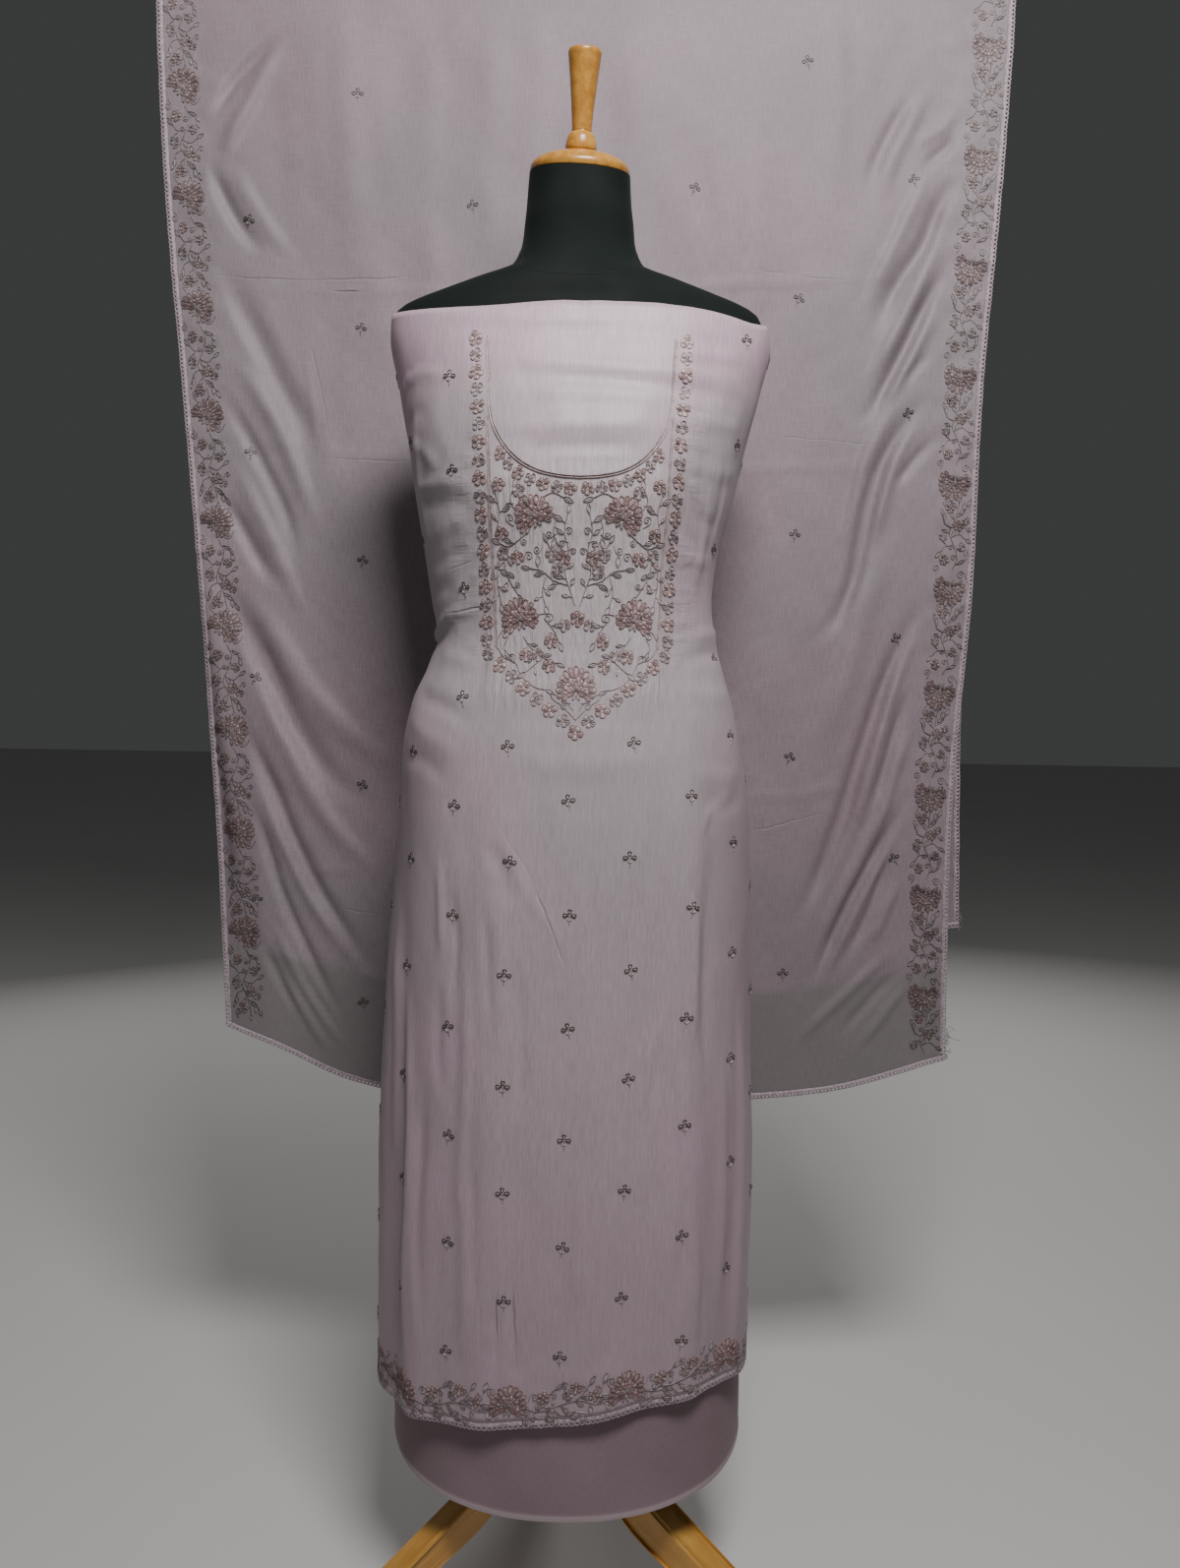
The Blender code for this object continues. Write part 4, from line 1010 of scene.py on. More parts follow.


# Where shade is painted into a cloth's tone: across and along the uncut cloth, and by what share.
ShadeBand = namedtuple("ShadeBand", "across_from across_to along_from along_to share")
# Painted shade: the kameez darkens a little below the waist and more towards the hem.
KAMEEZ_SHADE_BANDS = [ShadeBand(-2.0, -1.0, 0.66, 0.30, 0.30), ShadeBand(-2.0, -1.0, 0.98, 0.90, 0.12)]
# Partly the panel's greyer ground, partly painted light that lifts the shade under the bust.
PANEL_PALE_AND_LIT = (0.600, 0.545, 0.560, 1)

# Ramps over the kameez's flat, in metres: where each one starts, where it is full, and the
# shares there where they aren't 0 and 1.
GREY_CLOUDS, GREY_UP = (0.28, 0.50), (0.45, 0.85, 0.35, 1.0)
GREY_BELOW_NECK = (1.285, 1.215, 0.10, 1.0)
# Painted shade: where the skirt's sides darken, across and down the flat.
SHADED_SIDE_IN, SHADED_SIDE_OUT, SHADED_SIDE_DOWN = (0.100, 0.185), (0.380, 0.260), (0.96, 0.86, 0.0, 0.48)
PANEL_SIDE, PANEL_FOOT, PANEL_TOP = (0.100, 0.066), (0.96, 1.06, 0.0, 0.62), (1.215, 1.160)
WORK_LEFT, WORK_RIGHT = (-0.090, -0.076), (0.098, 0.084)
WORK_FOOT, WORK_TOP = (0.93, 0.96), (1.175, 1.155)
LEFT_FAR, LEFT_CLOSE = (-0.142, -0.104), (-0.086, -0.096)
RIGHT_FAR, RIGHT_CLOSE = (0.150, 0.112), (0.094, 0.104)
PULLS_FOOT, PULLS_TOP, PULLS_PATCHY = (0.95, 1.02), (1.28, 1.20), (0.38, 0.60)
PUCKERS, PULLED_THREADS = (170.0, 22.0, 400.0), (15.0, 95.0, 400.0)
KAMEEZ_WEAVE, KAMEEZ_RIBS, KAMEEZ_GLOSS = (900.0, 62.0), (430.0, 16.0), 0.18


def yoke_tones(tree, across, up, cloudy, pink, grey, deep):
    """The kameez's two tones, greyer in the middle; painted shade deepening the skirt's sides;
    a paler, greyer ground in the worked panel that also paints light under the bust."""
    middle = times(tree, map_range(tree, up, *GREY_UP), map_range(tree, up, *GREY_BELOW_NECK))
    greyed = times(tree, map_range(tree, cloudy, *GREY_CLOUDS), middle)
    outer = arithmetic(tree, "ABSOLUTE", across)
    # painted shade on the skirt's sides, where they turn from the light
    sides = times(tree, map_range(tree, outer, *SHADED_SIDE_IN), map_range(tree, outer, *SHADED_SIDE_OUT),
                  map_range(tree, up, *SHADED_SIDE_DOWN))
    # the panel's paler, greyer ground, which also paints light into the shade under the bust
    panel = times(tree, map_range(tree, outer, *PANEL_SIDE), map_range(tree, up, *PANEL_FOOT),
                  map_range(tree, up, *PANEL_TOP))
    tone = mix_colour(tree, sides, mix_colour(tree, greyed, pink, grey), deep)
    return mix_colour(tree, panel, tone, PANEL_PALE_AND_LIT)


def yoke_pulls(tree, flat, across, up, normal):
    """Puckers that the close stitching draws in the panel, and pulled threads beside it."""
    inside = times(tree, map_range(tree, across, *WORK_LEFT), map_range(tree, across, *WORK_RIGHT),
                   map_range(tree, up, *WORK_FOOT), map_range(tree, up, *WORK_TOP))
    pulled = threads_of(tree, flat, *PUCKERS)
    normal = bump(tree, times(tree, pulled["Streak"], inside), 0.95, 0.0030, normal)
    left, right = (times(tree, map_range(tree, across, *far), map_range(tree, across, *close))
                   for far, close in ((LEFT_FAR, LEFT_CLOSE), (RIGHT_FAR, RIGHT_CLOSE)))
    patchy = map_range(tree, noise(tree, flat, 30.0, 1.0), *PULLS_PATCHY)
    sides = times(tree, arithmetic(tree, "ADD", left, right), map_range(tree, up, *PULLS_FOOT),
                  map_range(tree, up, *PULLS_TOP), patchy)
    reach_out = threads_of(tree, flat, *PULLED_THREADS)
    return bump(tree, times(tree, reach_out["Streak"], sides), 0.5, 0.0030, normal)


def satin_material(name, pink, grey, deep, weave, ribs, gloss, pressed, shade_bands,
                   yoke=False, single=None):
    """Crepe-satin: fine upright streaks, two soft tones, and pulled threads at the yoke.
    pressed holds its sharp lines, which also darken the colour as painted shade; the bands
    say where shade is painted into its tone; single is the tone where one layer hangs alone."""
    material, tree, shader = new_material(name)
    flat = flat_place(tree)
    across, up = node(tree, "ShaderNodeSeparateXYZ", {"Vector": flat}).outputs[:2]
    crepe, ribbed = threads_of(tree, flat, *weave, 1500.0), threads_of(tree, flat, *ribs, 900.0)
    cloudy = noise(tree, flat, 3.6, 2.0, 0.45)
    if yoke:
        tone = yoke_tones(tree, across, up, cloudy, pink, grey, deep)
    else:
        tone = mix_colour(tree, map_range(tree, cloudy, 0.36, 0.64), pink, grey)
    # painted shade: each band mixes the tone towards the deep colour
    for band in shade_bands:
        beside = map_range(tree, across, band.across_from, band.across_to)
        along = map_range(tree, up, band.along_from, band.along_to, 0.0, band.share)
        tone = mix_colour(tree, times(tree, beside, along), tone, deep)
    if single:
        alone = node(tree, "ShaderNodeAttribute", attribute_name="one_layer").outputs["Fac"]
        tone = mix_colour(tree, alone, tone, single)
    streaks = arithmetic(tree, "MULTIPLY_ADD", ribbed["Streak"], 0.35,
                         times(tree, crepe["Streak"], 0.65))
    # Pressed lines darken the colour along each crease as well as bumping it: painted shade.
    lines = pressed_lines(tree, flat, pressed)
    shade = arithmetic(tree, "MAXIMUM", map_range(tree, streaks, 0.64, 0.34, 0.0, 0.50),
                       times(tree, lines, 0.55))
    normal = bump(tree, crepe["Height"], 0.30, 0.0005)
    normal = bump(tree, arithmetic(tree, "SUBTRACT", 1.0, lines), 0.9, 0.0012, normal)
    if yoke:
        normal = yoke_pulls(tree, flat, across, up, normal)
    feed(tree, shader, {
        "Base Color": mix_colour(tree, shade, tone, deep),
        "Roughness": map_range(tree, crepe["Thread"], 0.3, 0.7, 0.62 - gloss, 0.74 - gloss),
        "Normal": normal, "Sheen Weight": 0.03, "Sheen Roughness": 0.35,
        "Specular IOR Level": 0.55})
    return material


kameez.data.materials.append(
    satin_material("kameez_satin", CREPE_PINK, CREPE_GREY, CREPE_DEEP, KAMEEZ_WEAVE,
                   KAMEEZ_RIBS, KAMEEZ_GLOSS, KAMEEZ_PRESSED, KAMEEZ_SHADE_BANDS, yoke=True))
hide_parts("kameez")
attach(kameez, "root")

# ---------------------------------------------------------------- embroidery stitches
# Zardozi-style handwork in twisted silk: dusty-rose and grey-mauve cords couched down as
# outlines, with small padded petals of pale metal-wound thread between them. The pale
# thread is partly painted highlight: its fills, single stitches and beads stand for glints.
Stitching = namedtuple("Stitching", "points faces tones")
ROSE, MAUVE, PALE, BLUSH, DEEP = range(5)
CORD_WIDTH, CORD_RISE = 0.00120, 0.0010
STROKE_WIDTH, STROKE_RISE, FINE_CORD = 0.0010, 0.0009, 0.0011
PAD_RISE, PAD_SHARE, PAD_BASE = 0.0011, 0.22, 0.0003
PETAL_OUTLINE = [(0.00, 0.0), (0.18, 0.50), (0.45, 0.86), (0.75, 1.0), (0.93, 0.62), (1.0, 0.0)]
LEAF_OUTLINE = [(0.00, 0.0), (0.20, 0.66), (0.45, 1.0), (0.70, 0.80), (0.88, 0.38), (1.0, 0.0)]


def stitching():
    return Stitching([], [], [])


def add_cord(work, path, tone, width=CORD_WIDTH, rise=CORD_RISE, closed=False):
    """A cord couched along a path of (across, up), highest down its middle."""
    path = np.asarray(path, float)
    ahead = np.roll(path, -1, 0) - np.roll(path, 1, 0) if closed else np.gradient(path, axis=0)
    ahead /= np.maximum(np.linalg.norm(ahead, axis=1)[:, None], 1e-9)
    first = len(work.points)
    for (x, y), (ahead_x, ahead_y) in zip(path.tolist(), ahead.tolist()):
        side_x, side_y = ahead_y * width / 2, -ahead_x * width / 2
        work.points.extend([(x - side_x, y - side_y, 0.0), (x, y, rise),
                            (x + side_x, y + side_y, 0.0)])
    count = len(path)
    for i in range(count if closed else count - 1):
        here, after = first + 3 * i, first + 3 * ((i + 1) % count)
        for k in (0, 1):
            work.faces.append((here + k, here + k + 1, after + k + 1, after + k))
            work.tones.append(tone)


def add_petal(work, root, tip, width, edge, fill, outline=PETAL_OUTLINE, cord=CORD_WIDTH):
    """A padded petal with a cord round it, from its root to its tip."""
    root, tip = np.array(root, float), np.array(tip, float)
    ahead = tip - root
    side = np.array([ahead[1], -ahead[0]]) / max(np.linalg.norm(ahead), 1e-9) * width / 2
    right = [root + ahead * along + side * wide for along, wide in outline]
    left = [root + ahead * along - side * wide for along, wide in outline[-2:0:-1]]
    loop = right + left
    if fill is not None:
        first, count = len(work.points), len(loop)
        work.points.extend([(p[0], p[1], 0.0002) for p in loop])
        pad = min(PAD_RISE, PAD_SHARE * width + PAD_BASE)
        for along in (0.36, 0.72):
            middle = root + ahead * along
            work.points.append((middle[0], middle[1], pad))
        low, high, tip_at = first + count, first + count + 1, len(outline) - 1
        for i in range(count):
            after = (i + 1) % count
            both = (min(i, count - i) + min(after, count - after)) / 2
            centre = low if both < tip_at * 0.5 else high
            work.faces.append((first + i, first + after, centre))
            work.tones.append(fill)
        half = tip_at // 2 + tip_at % 2
        work.faces.append((first + half, high, low))
        work.faces.append((first + count - half, low, high))
        work.tones.extend([fill, fill])
    add_cord(work, loop, edge, cord, CORD_RISE * cord / CORD_WIDTH + 0.0002, closed=True)


def add_bead(work, x, y, radius, tone, sides=6):
    first = len(work.points)
    for i in range(sides):
        turn = 2 * math.pi * i / sides
        work.points.append((x + radius * math.cos(turn), y + radius * math.sin(turn), 0.0001))
    work.points.append((x, y, radius * 0.9))
    for i in range(sides):
        work.faces.append((first + i, first + (i + 1) % sides, first + sides))
        work.tones.append(tone)


def place(work, motif, x, y, turn_deg=0.0, size=1.0, flip=1):
    """Adds a motif at (x, y), turned clockwise from upright; flip -1 mirrors it."""
    turn, first = math.radians(turn_deg), len(work.points)
    cosine, sine = math.cos(turn) * size, math.sin(turn) * size
    local = np.array(motif.points)
    local[:, 0] *= flip
    moved = np.stack([x + local[:, 0] * cosine + local[:, 1] * sine,
                      y - local[:, 0] * sine + local[:, 1] * cosine,
                      local[:, 2] * size ** 0.5], axis=1)
    work.points.extend(map(tuple, moved.tolist()))
    for face in motif.faces:
        face = face if flip > 0 else face[::-1]
        work.faces.append(tuple(first + i for i in face))
    work.tones.extend(motif.tones)


def curve_through(points, step):
    """Evenly spaced points on a smooth curve through a few points."""
    points = np.asarray(points, float)
    along = np.concatenate([[0], np.cumsum(np.linalg.norm(np.diff(points, axis=0), axis=1))])
    count = max(2, int(round(along[-1] / step)) + 1)
    at = np.linspace(0, along[-1], count)
    return np.stack([smooth_values(at, along, points[:, i]) for i in (0, 1)], axis=1)


def polar(radius, degrees):
    """A point at a distance and at degrees clockwise from upright."""
    return radius * math.sin(math.radians(degrees)), radius * math.cos(math.radians(degrees))


def add_stroke(work, root, tip, tone, width=STROKE_WIDTH):
    """One straight stitch of thread, laid inside a loop; a pale one paints the loop's highlight."""
    root, tip = np.array(root, float), np.array(tip, float)
    path = [root + (tip - root) * share for share in (0.28, 0.55, 0.84)]
    add_cord(work, path, tone, width, STROKE_RISE)


# Shares of a flower's radius, and how far its petals stray.
PETAL_ROOT, PETALS_ROUND, HEART_RADIUS = 0.22, 3.7, 0.19
PETAL_SWAY_DEG, PETAL_REACH = 7, (0.86, 1.10)


def flower(petals, radius, edge, fills, heart, seed, cord=CORD_WIDTH):
    """Round looped petals of uneven reach; fills are worked in turn, and None leaves a
    petal open with one pale stitch in it."""
    work, draw = stitching(), random.Random(seed)
    for i in range(petals):
        degrees = 360 * i / petals + draw.uniform(-PETAL_SWAY_DEG, PETAL_SWAY_DEG)
        reach, fill = radius * draw.uniform(*PETAL_REACH), fills[i % len(fills)]
        root, tip = polar(radius * PETAL_ROOT, degrees), polar(reach, degrees)
        add_petal(work, root, tip, radius * PETALS_ROUND / petals, edge, fill, cord=cord)
        if fill is None:
            add_stroke(work, root, tip, heart)
    add_bead(work, 0, 0, radius * HEART_RADIUS, heart)
    return work


FAN_TALL, FAN_SWAY_DEG, FAN_REACH = 1.12, 1.5, (0.96, 1.04)
FanTier = namedtuple("FanTier", "count spread_deg root reach width droop fills")
FAN_TIERS = [
    FanTier(13, 103, 0.0112, 0.0202, 0.0043, 0.0030, (None, BLUSH)),
    FanTier(10, 92, 0.0072, 0.0122, 0.0040, 0.0012, (None, PALE)),
    FanTier(7, 80, 0.0038, 0.0086, 0.0038, 0.0006, (BLUSH, None)),
    FanTier(4, 54, 0.0006, 0.0052, 0.0032, 0.0, (PALE, BLUSH)),
]
FAN_LOOPS = [((0.0012, -0.0010), (0.0082, -0.0040), 0.0030),
             ((0.0066, -0.0028), (0.0128, -0.0086), 0.0028)]


def fan(edge, heart):
    """A spray: long open loops with a pale stitch in each, over close tiers of small filled
    ones, and two curled loops below; its root is at the origin."""
    work, draw = stitching(), random.Random(8)
    for tier in FAN_TIERS:
        for i in range(tier.count):
            degrees = tier.spread_deg * (2 * i / (tier.count - 1) - 1)
            degrees += draw.uniform(-FAN_SWAY_DEG, FAN_SWAY_DEG)
            reach = tier.reach - tier.droop * (abs(degrees) / tier.spread_deg) ** 2
            reach *= draw.uniform(*FAN_REACH)
            root, tip = polar(tier.root, degrees), polar(reach, degrees)
            root, tip = (root[0], root[1] * FAN_TALL), (tip[0], tip[1] * FAN_TALL)
            fill = tier.fills[i % len(tier.fills)]
            round_it = heart if tier is FAN_TIERS[-1] else edge
            add_petal(work, root, tip, tier.width, round_it, fill, cord=FINE_CORD)
            if tier is FAN_TIERS[0]:
                add_stroke(work, root, tip, PALE)
    for side in (-1, 1):
        for (x, y), (tip_x, tip_y), width in FAN_LOOPS:
            root, tip = (side * x, y), (side * tip_x, tip_y)
            add_petal(work, root, tip, width, edge, None)
            add_stroke(work, root, tip, PALE)
        add_petal(work, (side * 0.0008, -0.0024), (side * 0.0030, -0.0078), 0.0024,
                  MAUVE, PALE, LEAF_OUTLINE)
    return work


def leaf(length, width, edge, fill):
    """A loop with a short stalk; an open one holds a single pale stitch."""
    work = stitching()
    add_petal(work, (0, 0), (0.0006, length), width, edge, fill, LEAF_OUTLINE, FINE_CORD)
    add_cord(work, [(0, -0.0034), (0.0002, -0.0015), (0, 0.0004)], edge, FINE_CORD)
    if fill is None:
        add_stroke(work, (0, 0), (0.0006, length), PALE, 0.0012)
    return work


CURL_TURNS, CURL_POINTS = 1.45, 15


def curl(radius, tone):
    """A tendril that winds in on itself, starting at the origin and going up."""
    work = stitching()
    turns = np.linspace(0, CURL_TURNS * 2 * math.pi, CURL_POINTS)
    shrink = radius * (1 - 0.82 * turns / turns[-1])
    path = np.stack([radius - shrink * np.cos(turns), shrink * np.sin(turns) * 1.15], axis=1)
    path = np.vstack([[(0.0, -radius * 1.6)], path])
    add_cord(work, path, tone, FINE_CORD)
    add_bead(work, path[-1][0], path[-1][1], 0.0011, PALE)
    return work


SPRIG_BLADE = [(0.0004, -0.0050), (0.0018, -0.0040), (0.0026, -0.0026)]


def sprig():
    """The small scattered motif: three open loops round pale beads, on a stalk."""
    work = stitching()
    for degrees, reach in ((-92, 0.0064), (0, 0.0056), (92, 0.0064)):
        root, tip = polar(0.0012, degrees), polar(reach, degrees)
        add_petal(work, root, tip, 0.0036, DEEP, None, cord=0.0010)
        add_stroke(work, polar(0.0008, degrees), polar(reach * 0.97, degrees), PALE, 0.0012)
    for degrees in (-50, 50):
        x, y = polar(0.0034, degrees)
        add_bead(work, x, y, 0.0008, PALE, 5)
    add_bead(work, 0, 0.0002, 0.0011, PALE)
    add_cord(work, [(0, -0.0014), (0.0003, -0.0050), (0, -0.0092)], MAUVE, 0.0010)
    for side in (-1, 1):
        blade = [(side * x, y) for x, y in SPRIG_BLADE]
        add_cord(work, blade, PALE, 0.0008)
    return work


ROSETTE_ROSE = flower(5, 0.0072, ROSE, (BLUSH, PALE, None), PALE, 1, 0.0011)
ROSETTE_MAUVE = flower(5, 0.0064, MAUVE, (None, PALE), BLUSH, 2, 0.0010)
FLOWER_ROSE = flower(6, 0.0066, ROSE, (BLUSH, PALE, None), PALE, 3, 0.0011)
FLOWER_MAUVE = flower(5, 0.0062, MAUVE, (PALE, BLUSH, None), PALE, 4, 0.0011)
FAN = fan(ROSE, MAUVE)
LEAF, LEAF_SMALL = leaf(0.0104, 0.0044, MAUVE, None), leaf(0.0076, 0.0034, BLUSH, PALE)
OPEN_LEAF = leaf(0.0084, 0.0040, MAUVE, None)
CURL, CURL_SMALL = curl(0.0046, MAUVE), curl(0.0034, MAUVE)
SPRIG = sprig()
VINE_MOTIFS = (LEAF, LEAF_SMALL, CURL_SMALL, OPEN_LEAF, LEAF)
STEM_STEP, LEAF_OUT, LEAF_TURN_DEG = 0.0025, 0.0030, (38, 62)
LEAF_SIZE, END_LEAF_SIZE = (0.78, 1.05), (0.8, 1.0)


def add_vine(work, path, draw, gap=0.0082, first_side=1):
    """A stem with leaves and tendrils to either side in turn, and a leaf at its end."""
    line = curve_through(path, STEM_STEP)
    add_cord(work, line, MAUVE)
    walk = curve_through(path, gap)
    for i in range(1, len(walk)):
        ahead = walk[i] - walk[i - 1]
        turn = math.degrees(math.atan2(ahead[0], ahead[1]))
        side = first_side * (1 if i % 2 else -1)
        if i == len(walk) - 1:
            place(work, LEAF, *line[-1], turn, draw.uniform(*END_LEAF_SIZE))
            continue
        turn += side * draw.uniform(*LEAF_TURN_DEG)
        out = np.array(polar(LEAF_OUT, turn))
        kind = VINE_MOTIFS[draw.randrange(len(VINE_MOTIFS))]
        place(work, kind, *(walk[i] + out), turn, draw.uniform(*LEAF_SIZE), side)


THREAD_FINISHES = {
    "thread_rose": ((0.132, 0.062, 0.067, 1), (0.398, 0.240, 0.237, 1), 0.38),
    "thread_mauve": ((0.100, 0.073, 0.082, 1), (0.390, 0.308, 0.321, 1), 0.34),
    "thread_pale_and_glint": ((0.300, 0.250, 0.250, 1), (0.700, 0.620, 0.600, 1), 0.30),
    "thread_blush": ((0.200, 0.135, 0.135, 1), (0.480, 0.370, 0.355, 1), 0.34),
    "thread_deep": ((0.030, 0.018, 0.022, 1), (0.135, 0.090, 0.098, 1), 0.38),
}


def thread_material(name, dark, light, roughness):
    """Twisted thread: fine plies catch the light along a soft gloss."""
    material, tree, shader = new_material(name)
    plies, patches = (noise(tree, piece_place(tree), *kind)
                      for kind in ((1900.0, 2.0, 0.7), (160.0, 2.0)))
    shade = arithmetic(tree, "MULTIPLY_ADD", plies, 0.6, times(tree, patches, 0.4))
    feed(tree, shader, {
        "Base Color": mix_colour(tree, map_range(tree, shade, 0.34, 0.66), dark, light),
        "Roughness": map_range(tree, patches, 0.3, 0.7, roughness - 0.08, roughness + 0.12),
        "Normal": bump(tree, plies, 0.5, 0.0004), "Sheen Weight": 0.2, "Specular IOR Level": 0.6})
    return material


def thread_set(prefix, shade_factor):
    """The five threads of one cloth, darkened alike by one factor; the dupatta's set is a
    darker copy of the kameez's, painted shade for its dimmer light.
    """
    threads = []
    for name, (*tones, roughness) in THREAD_FINISHES.items():
        dark, light = [tuple(shade_factor * part for part in tone[:3]) + (1,) for tone in tones]
        threads.append(thread_material(prefix + name, dark, light, roughness))
    return threads


THREADS = thread_set("kameez_", 1.0)


def sew(name, work, on_cloth, threads=THREADS):
    """Lays stitching on a cloth as one joined piece. on_cloth gives the place of a point."""
    flat_points = np.array(work.points)
    mesh = smooth_mesh(name, on_cloth(*flat_points.T).tolist(), work.faces)
    for material in threads:
        mesh.materials.append(material)
    mesh.polygons.foreach_set("material_index", work.tones)
    piece = placed(name, mesh)
    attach(piece, "root")
    return piece


# ---------------------------------------------------------------- kameez: neck and yoke work
# A neckline is drawn in cord as a deep U, with a long panel below it that ends in a bracket
# point. Rosettes edge both; inside are sprays, flowers and tendrils, the same left and right.
YOKE_CENTRE, NECK_HALF_WIDTH, NECK_CORD_SIZE = 0.0055, 0.088, (0.0016, 0.0013)
YOKE_SEED, YOKE_LEAF_GAP = 50, 0.0084
NECK_CORD = [(-0.0885, 1.292), (-0.0860, 1.262), (-0.0850, 1.232), (-0.0800, 1.207),
             (-0.0700, 1.189), (-0.0560, 1.1745), (-0.0390, 1.1650), (-0.0200, 1.1605),
             (0.0, 1.1590)]
PANEL_CORD = [(-0.0865, 1.215), (-0.0845, 1.172), (-0.0835, 1.130), (-0.0810, 1.080),
              (-0.0795, 1.040), (-0.0770, 1.003)]
BRACKET_CORD = [(-0.0770, 1.003), (-0.0690, 0.9925), (-0.0580, 0.9880), (-0.0540, 0.9790),
                (-0.0470, 0.9705), (-0.0360, 0.9640), (-0.0270, 0.9620), (-0.0225, 0.9550),
                (-0.0130, 0.9480), (0.0, 0.9350)]
ROSETTE_SIDE = [(-0.1000, 1.290), (-0.0985, 1.250), (-0.0960, 1.210), (-0.0950, 1.160),
                (-0.0925, 1.110), (-0.0900, 1.060), (-0.0885, 1.010)]
ROSETTE_POINT = [(-0.0860, 0.9960), (-0.0700, 0.9820), (-0.0520, 0.9660), (-0.0330, 0.9500),
                 (-0.0160, 0.9370), (0.0, 0.9230)]
ROSETTE_NECK = [(-0.0740, 1.1800), (-0.0620, 1.1660), (-0.0450, 1.1560), (-0.0250, 1.1500),
                (-0.0080, 1.1480)]
ROSETTE_PITCH, NECK_ROSETTE_PITCH = 0.0163, 0.0138
YOKE_FANS = [(-0.0405, 1.1210, -26), (-0.0540, 1.0270, -14)]
YOKE_FLOWERS = [(-0.0755, 1.1520, FLOWER_ROSE), (-0.0560, 1.1460, FLOWER_MAUVE),
                (-0.0725, 1.1080, FLOWER_ROSE), (-0.0715, 1.0900, FLOWER_MAUVE),
                (-0.0570, 1.0860, FLOWER_ROSE), (-0.0250, 1.0900, FLOWER_MAUVE),
                (-0.0130, 1.0860, FLOWER_ROSE), (-0.0190, 1.0760, FLOWER_MAUVE),
                (-0.0120, 1.0240, FLOWER_MAUVE), (-0.0245, 1.0080, FLOWER_ROSE),
                (-0.0370, 0.9960, FLOWER_MAUVE), (-0.0260, 0.9850, FLOWER_ROSE),
                (-0.0480, 0.9950, FLOWER_ROSE)]
YOKE_VINES = [
    [(-0.0480, 1.1085), (-0.0570, 1.1010), (-0.0660, 1.0960), (-0.0740, 1.0990)],
    [(-0.0640, 1.0985), (-0.0700, 1.0800), (-0.0640, 1.0640), (-0.0560, 1.0520)],
    [(-0.0760, 1.0850), (-0.0770, 1.0640), (-0.0735, 1.0440)],
    [(-0.0780, 1.1100), (-0.0745, 1.1280), (-0.0785, 1.1440)],
    [(-0.0025, 1.0420), (-0.0070, 1.0560), (-0.0120, 1.0720), (-0.0090, 1.0920),
     (-0.0130, 1.1100), (-0.0100, 1.1260)],
    [(-0.0100, 1.0800), (-0.0220, 1.0880), (-0.0290, 1.1000)],
    [(-0.0200, 1.1230), (-0.0230, 1.1080), (-0.0190, 1.0980)],
    [(-0.0090, 1.0610), (-0.0220, 1.0650), (-0.0340, 1.0740), (-0.0450, 1.0760)],
    [(-0.0300, 1.0680), (-0.0330, 1.0540), (-0.0300, 1.0420)],
    [(-0.0510, 1.0130), (-0.0420, 1.0010), (-0.0310, 0.9930), (-0.0190, 0.9880)],
    [(-0.0660, 1.0120), (-0.0700, 1.0020), (-0.0640, 0.9950)],
    [(-0.0310, 1.0300), (-0.0230, 1.0200), (-0.0170, 1.0080)],
    [(-0.0330, 0.9920), (-0.0420, 0.9840), (-0.0480, 0.9790)],
    [(-0.0030, 0.9440), (-0.0110, 0.9540), (-0.0210, 0.9590)],
    [(-0.0330, 1.1400), (-0.0240, 1.1440), (-0.0140, 1.1400)],
    [(-0.0580, 1.1280), (-0.0640, 1.1380), (-0.0610, 1.1490)],
]
YOKE_CURLS = [
    (-0.0660, 1.1180, -60, 0.9), (-0.0730, 1.0170, 30, 1.0), (-0.0280, 1.0350, 80, 1.0),
    (-0.0630, 0.9960, 70, 0.8), (-0.0500, 1.0880, 10, 0.9), (-0.0350, 1.0920, 200, 0.8),
]


def both_sides(path):
    """A path on the left half followed by its mirror image on the right."""
    path = np.asarray(path, float)
    mirrored = path[::-1] * (-1, 1)
    if abs(path[-1, 0]) < 1e-6:
        mirrored = mirrored[1:]
    return np.vstack([path, mirrored])


yoke = stitching()
centred = (YOKE_CENTRE, 0.0)
for offset in (0.0, 0.0019):
    neck_line = np.array(NECK_CORD) * (1 + offset / NECK_HALF_WIDTH, 1) - (0.0, offset)
    add_cord(yoke, both_sides(curve_through(neck_line, 0.003)) + centred,
             BLUSH if offset else MAUVE, *NECK_CORD_SIZE)
for side in (-1, 1):
    for offset in (0.0, 0.0017):
        line = curve_through(PANEL_CORD, 0.006) * (-side, 1) + centred + (side * offset, 0)
        add_cord(yoke, line, BLUSH if offset else MAUVE)
add_cord(yoke, both_sides(curve_through(BRACKET_CORD, 0.0025)) + centred, MAUVE)

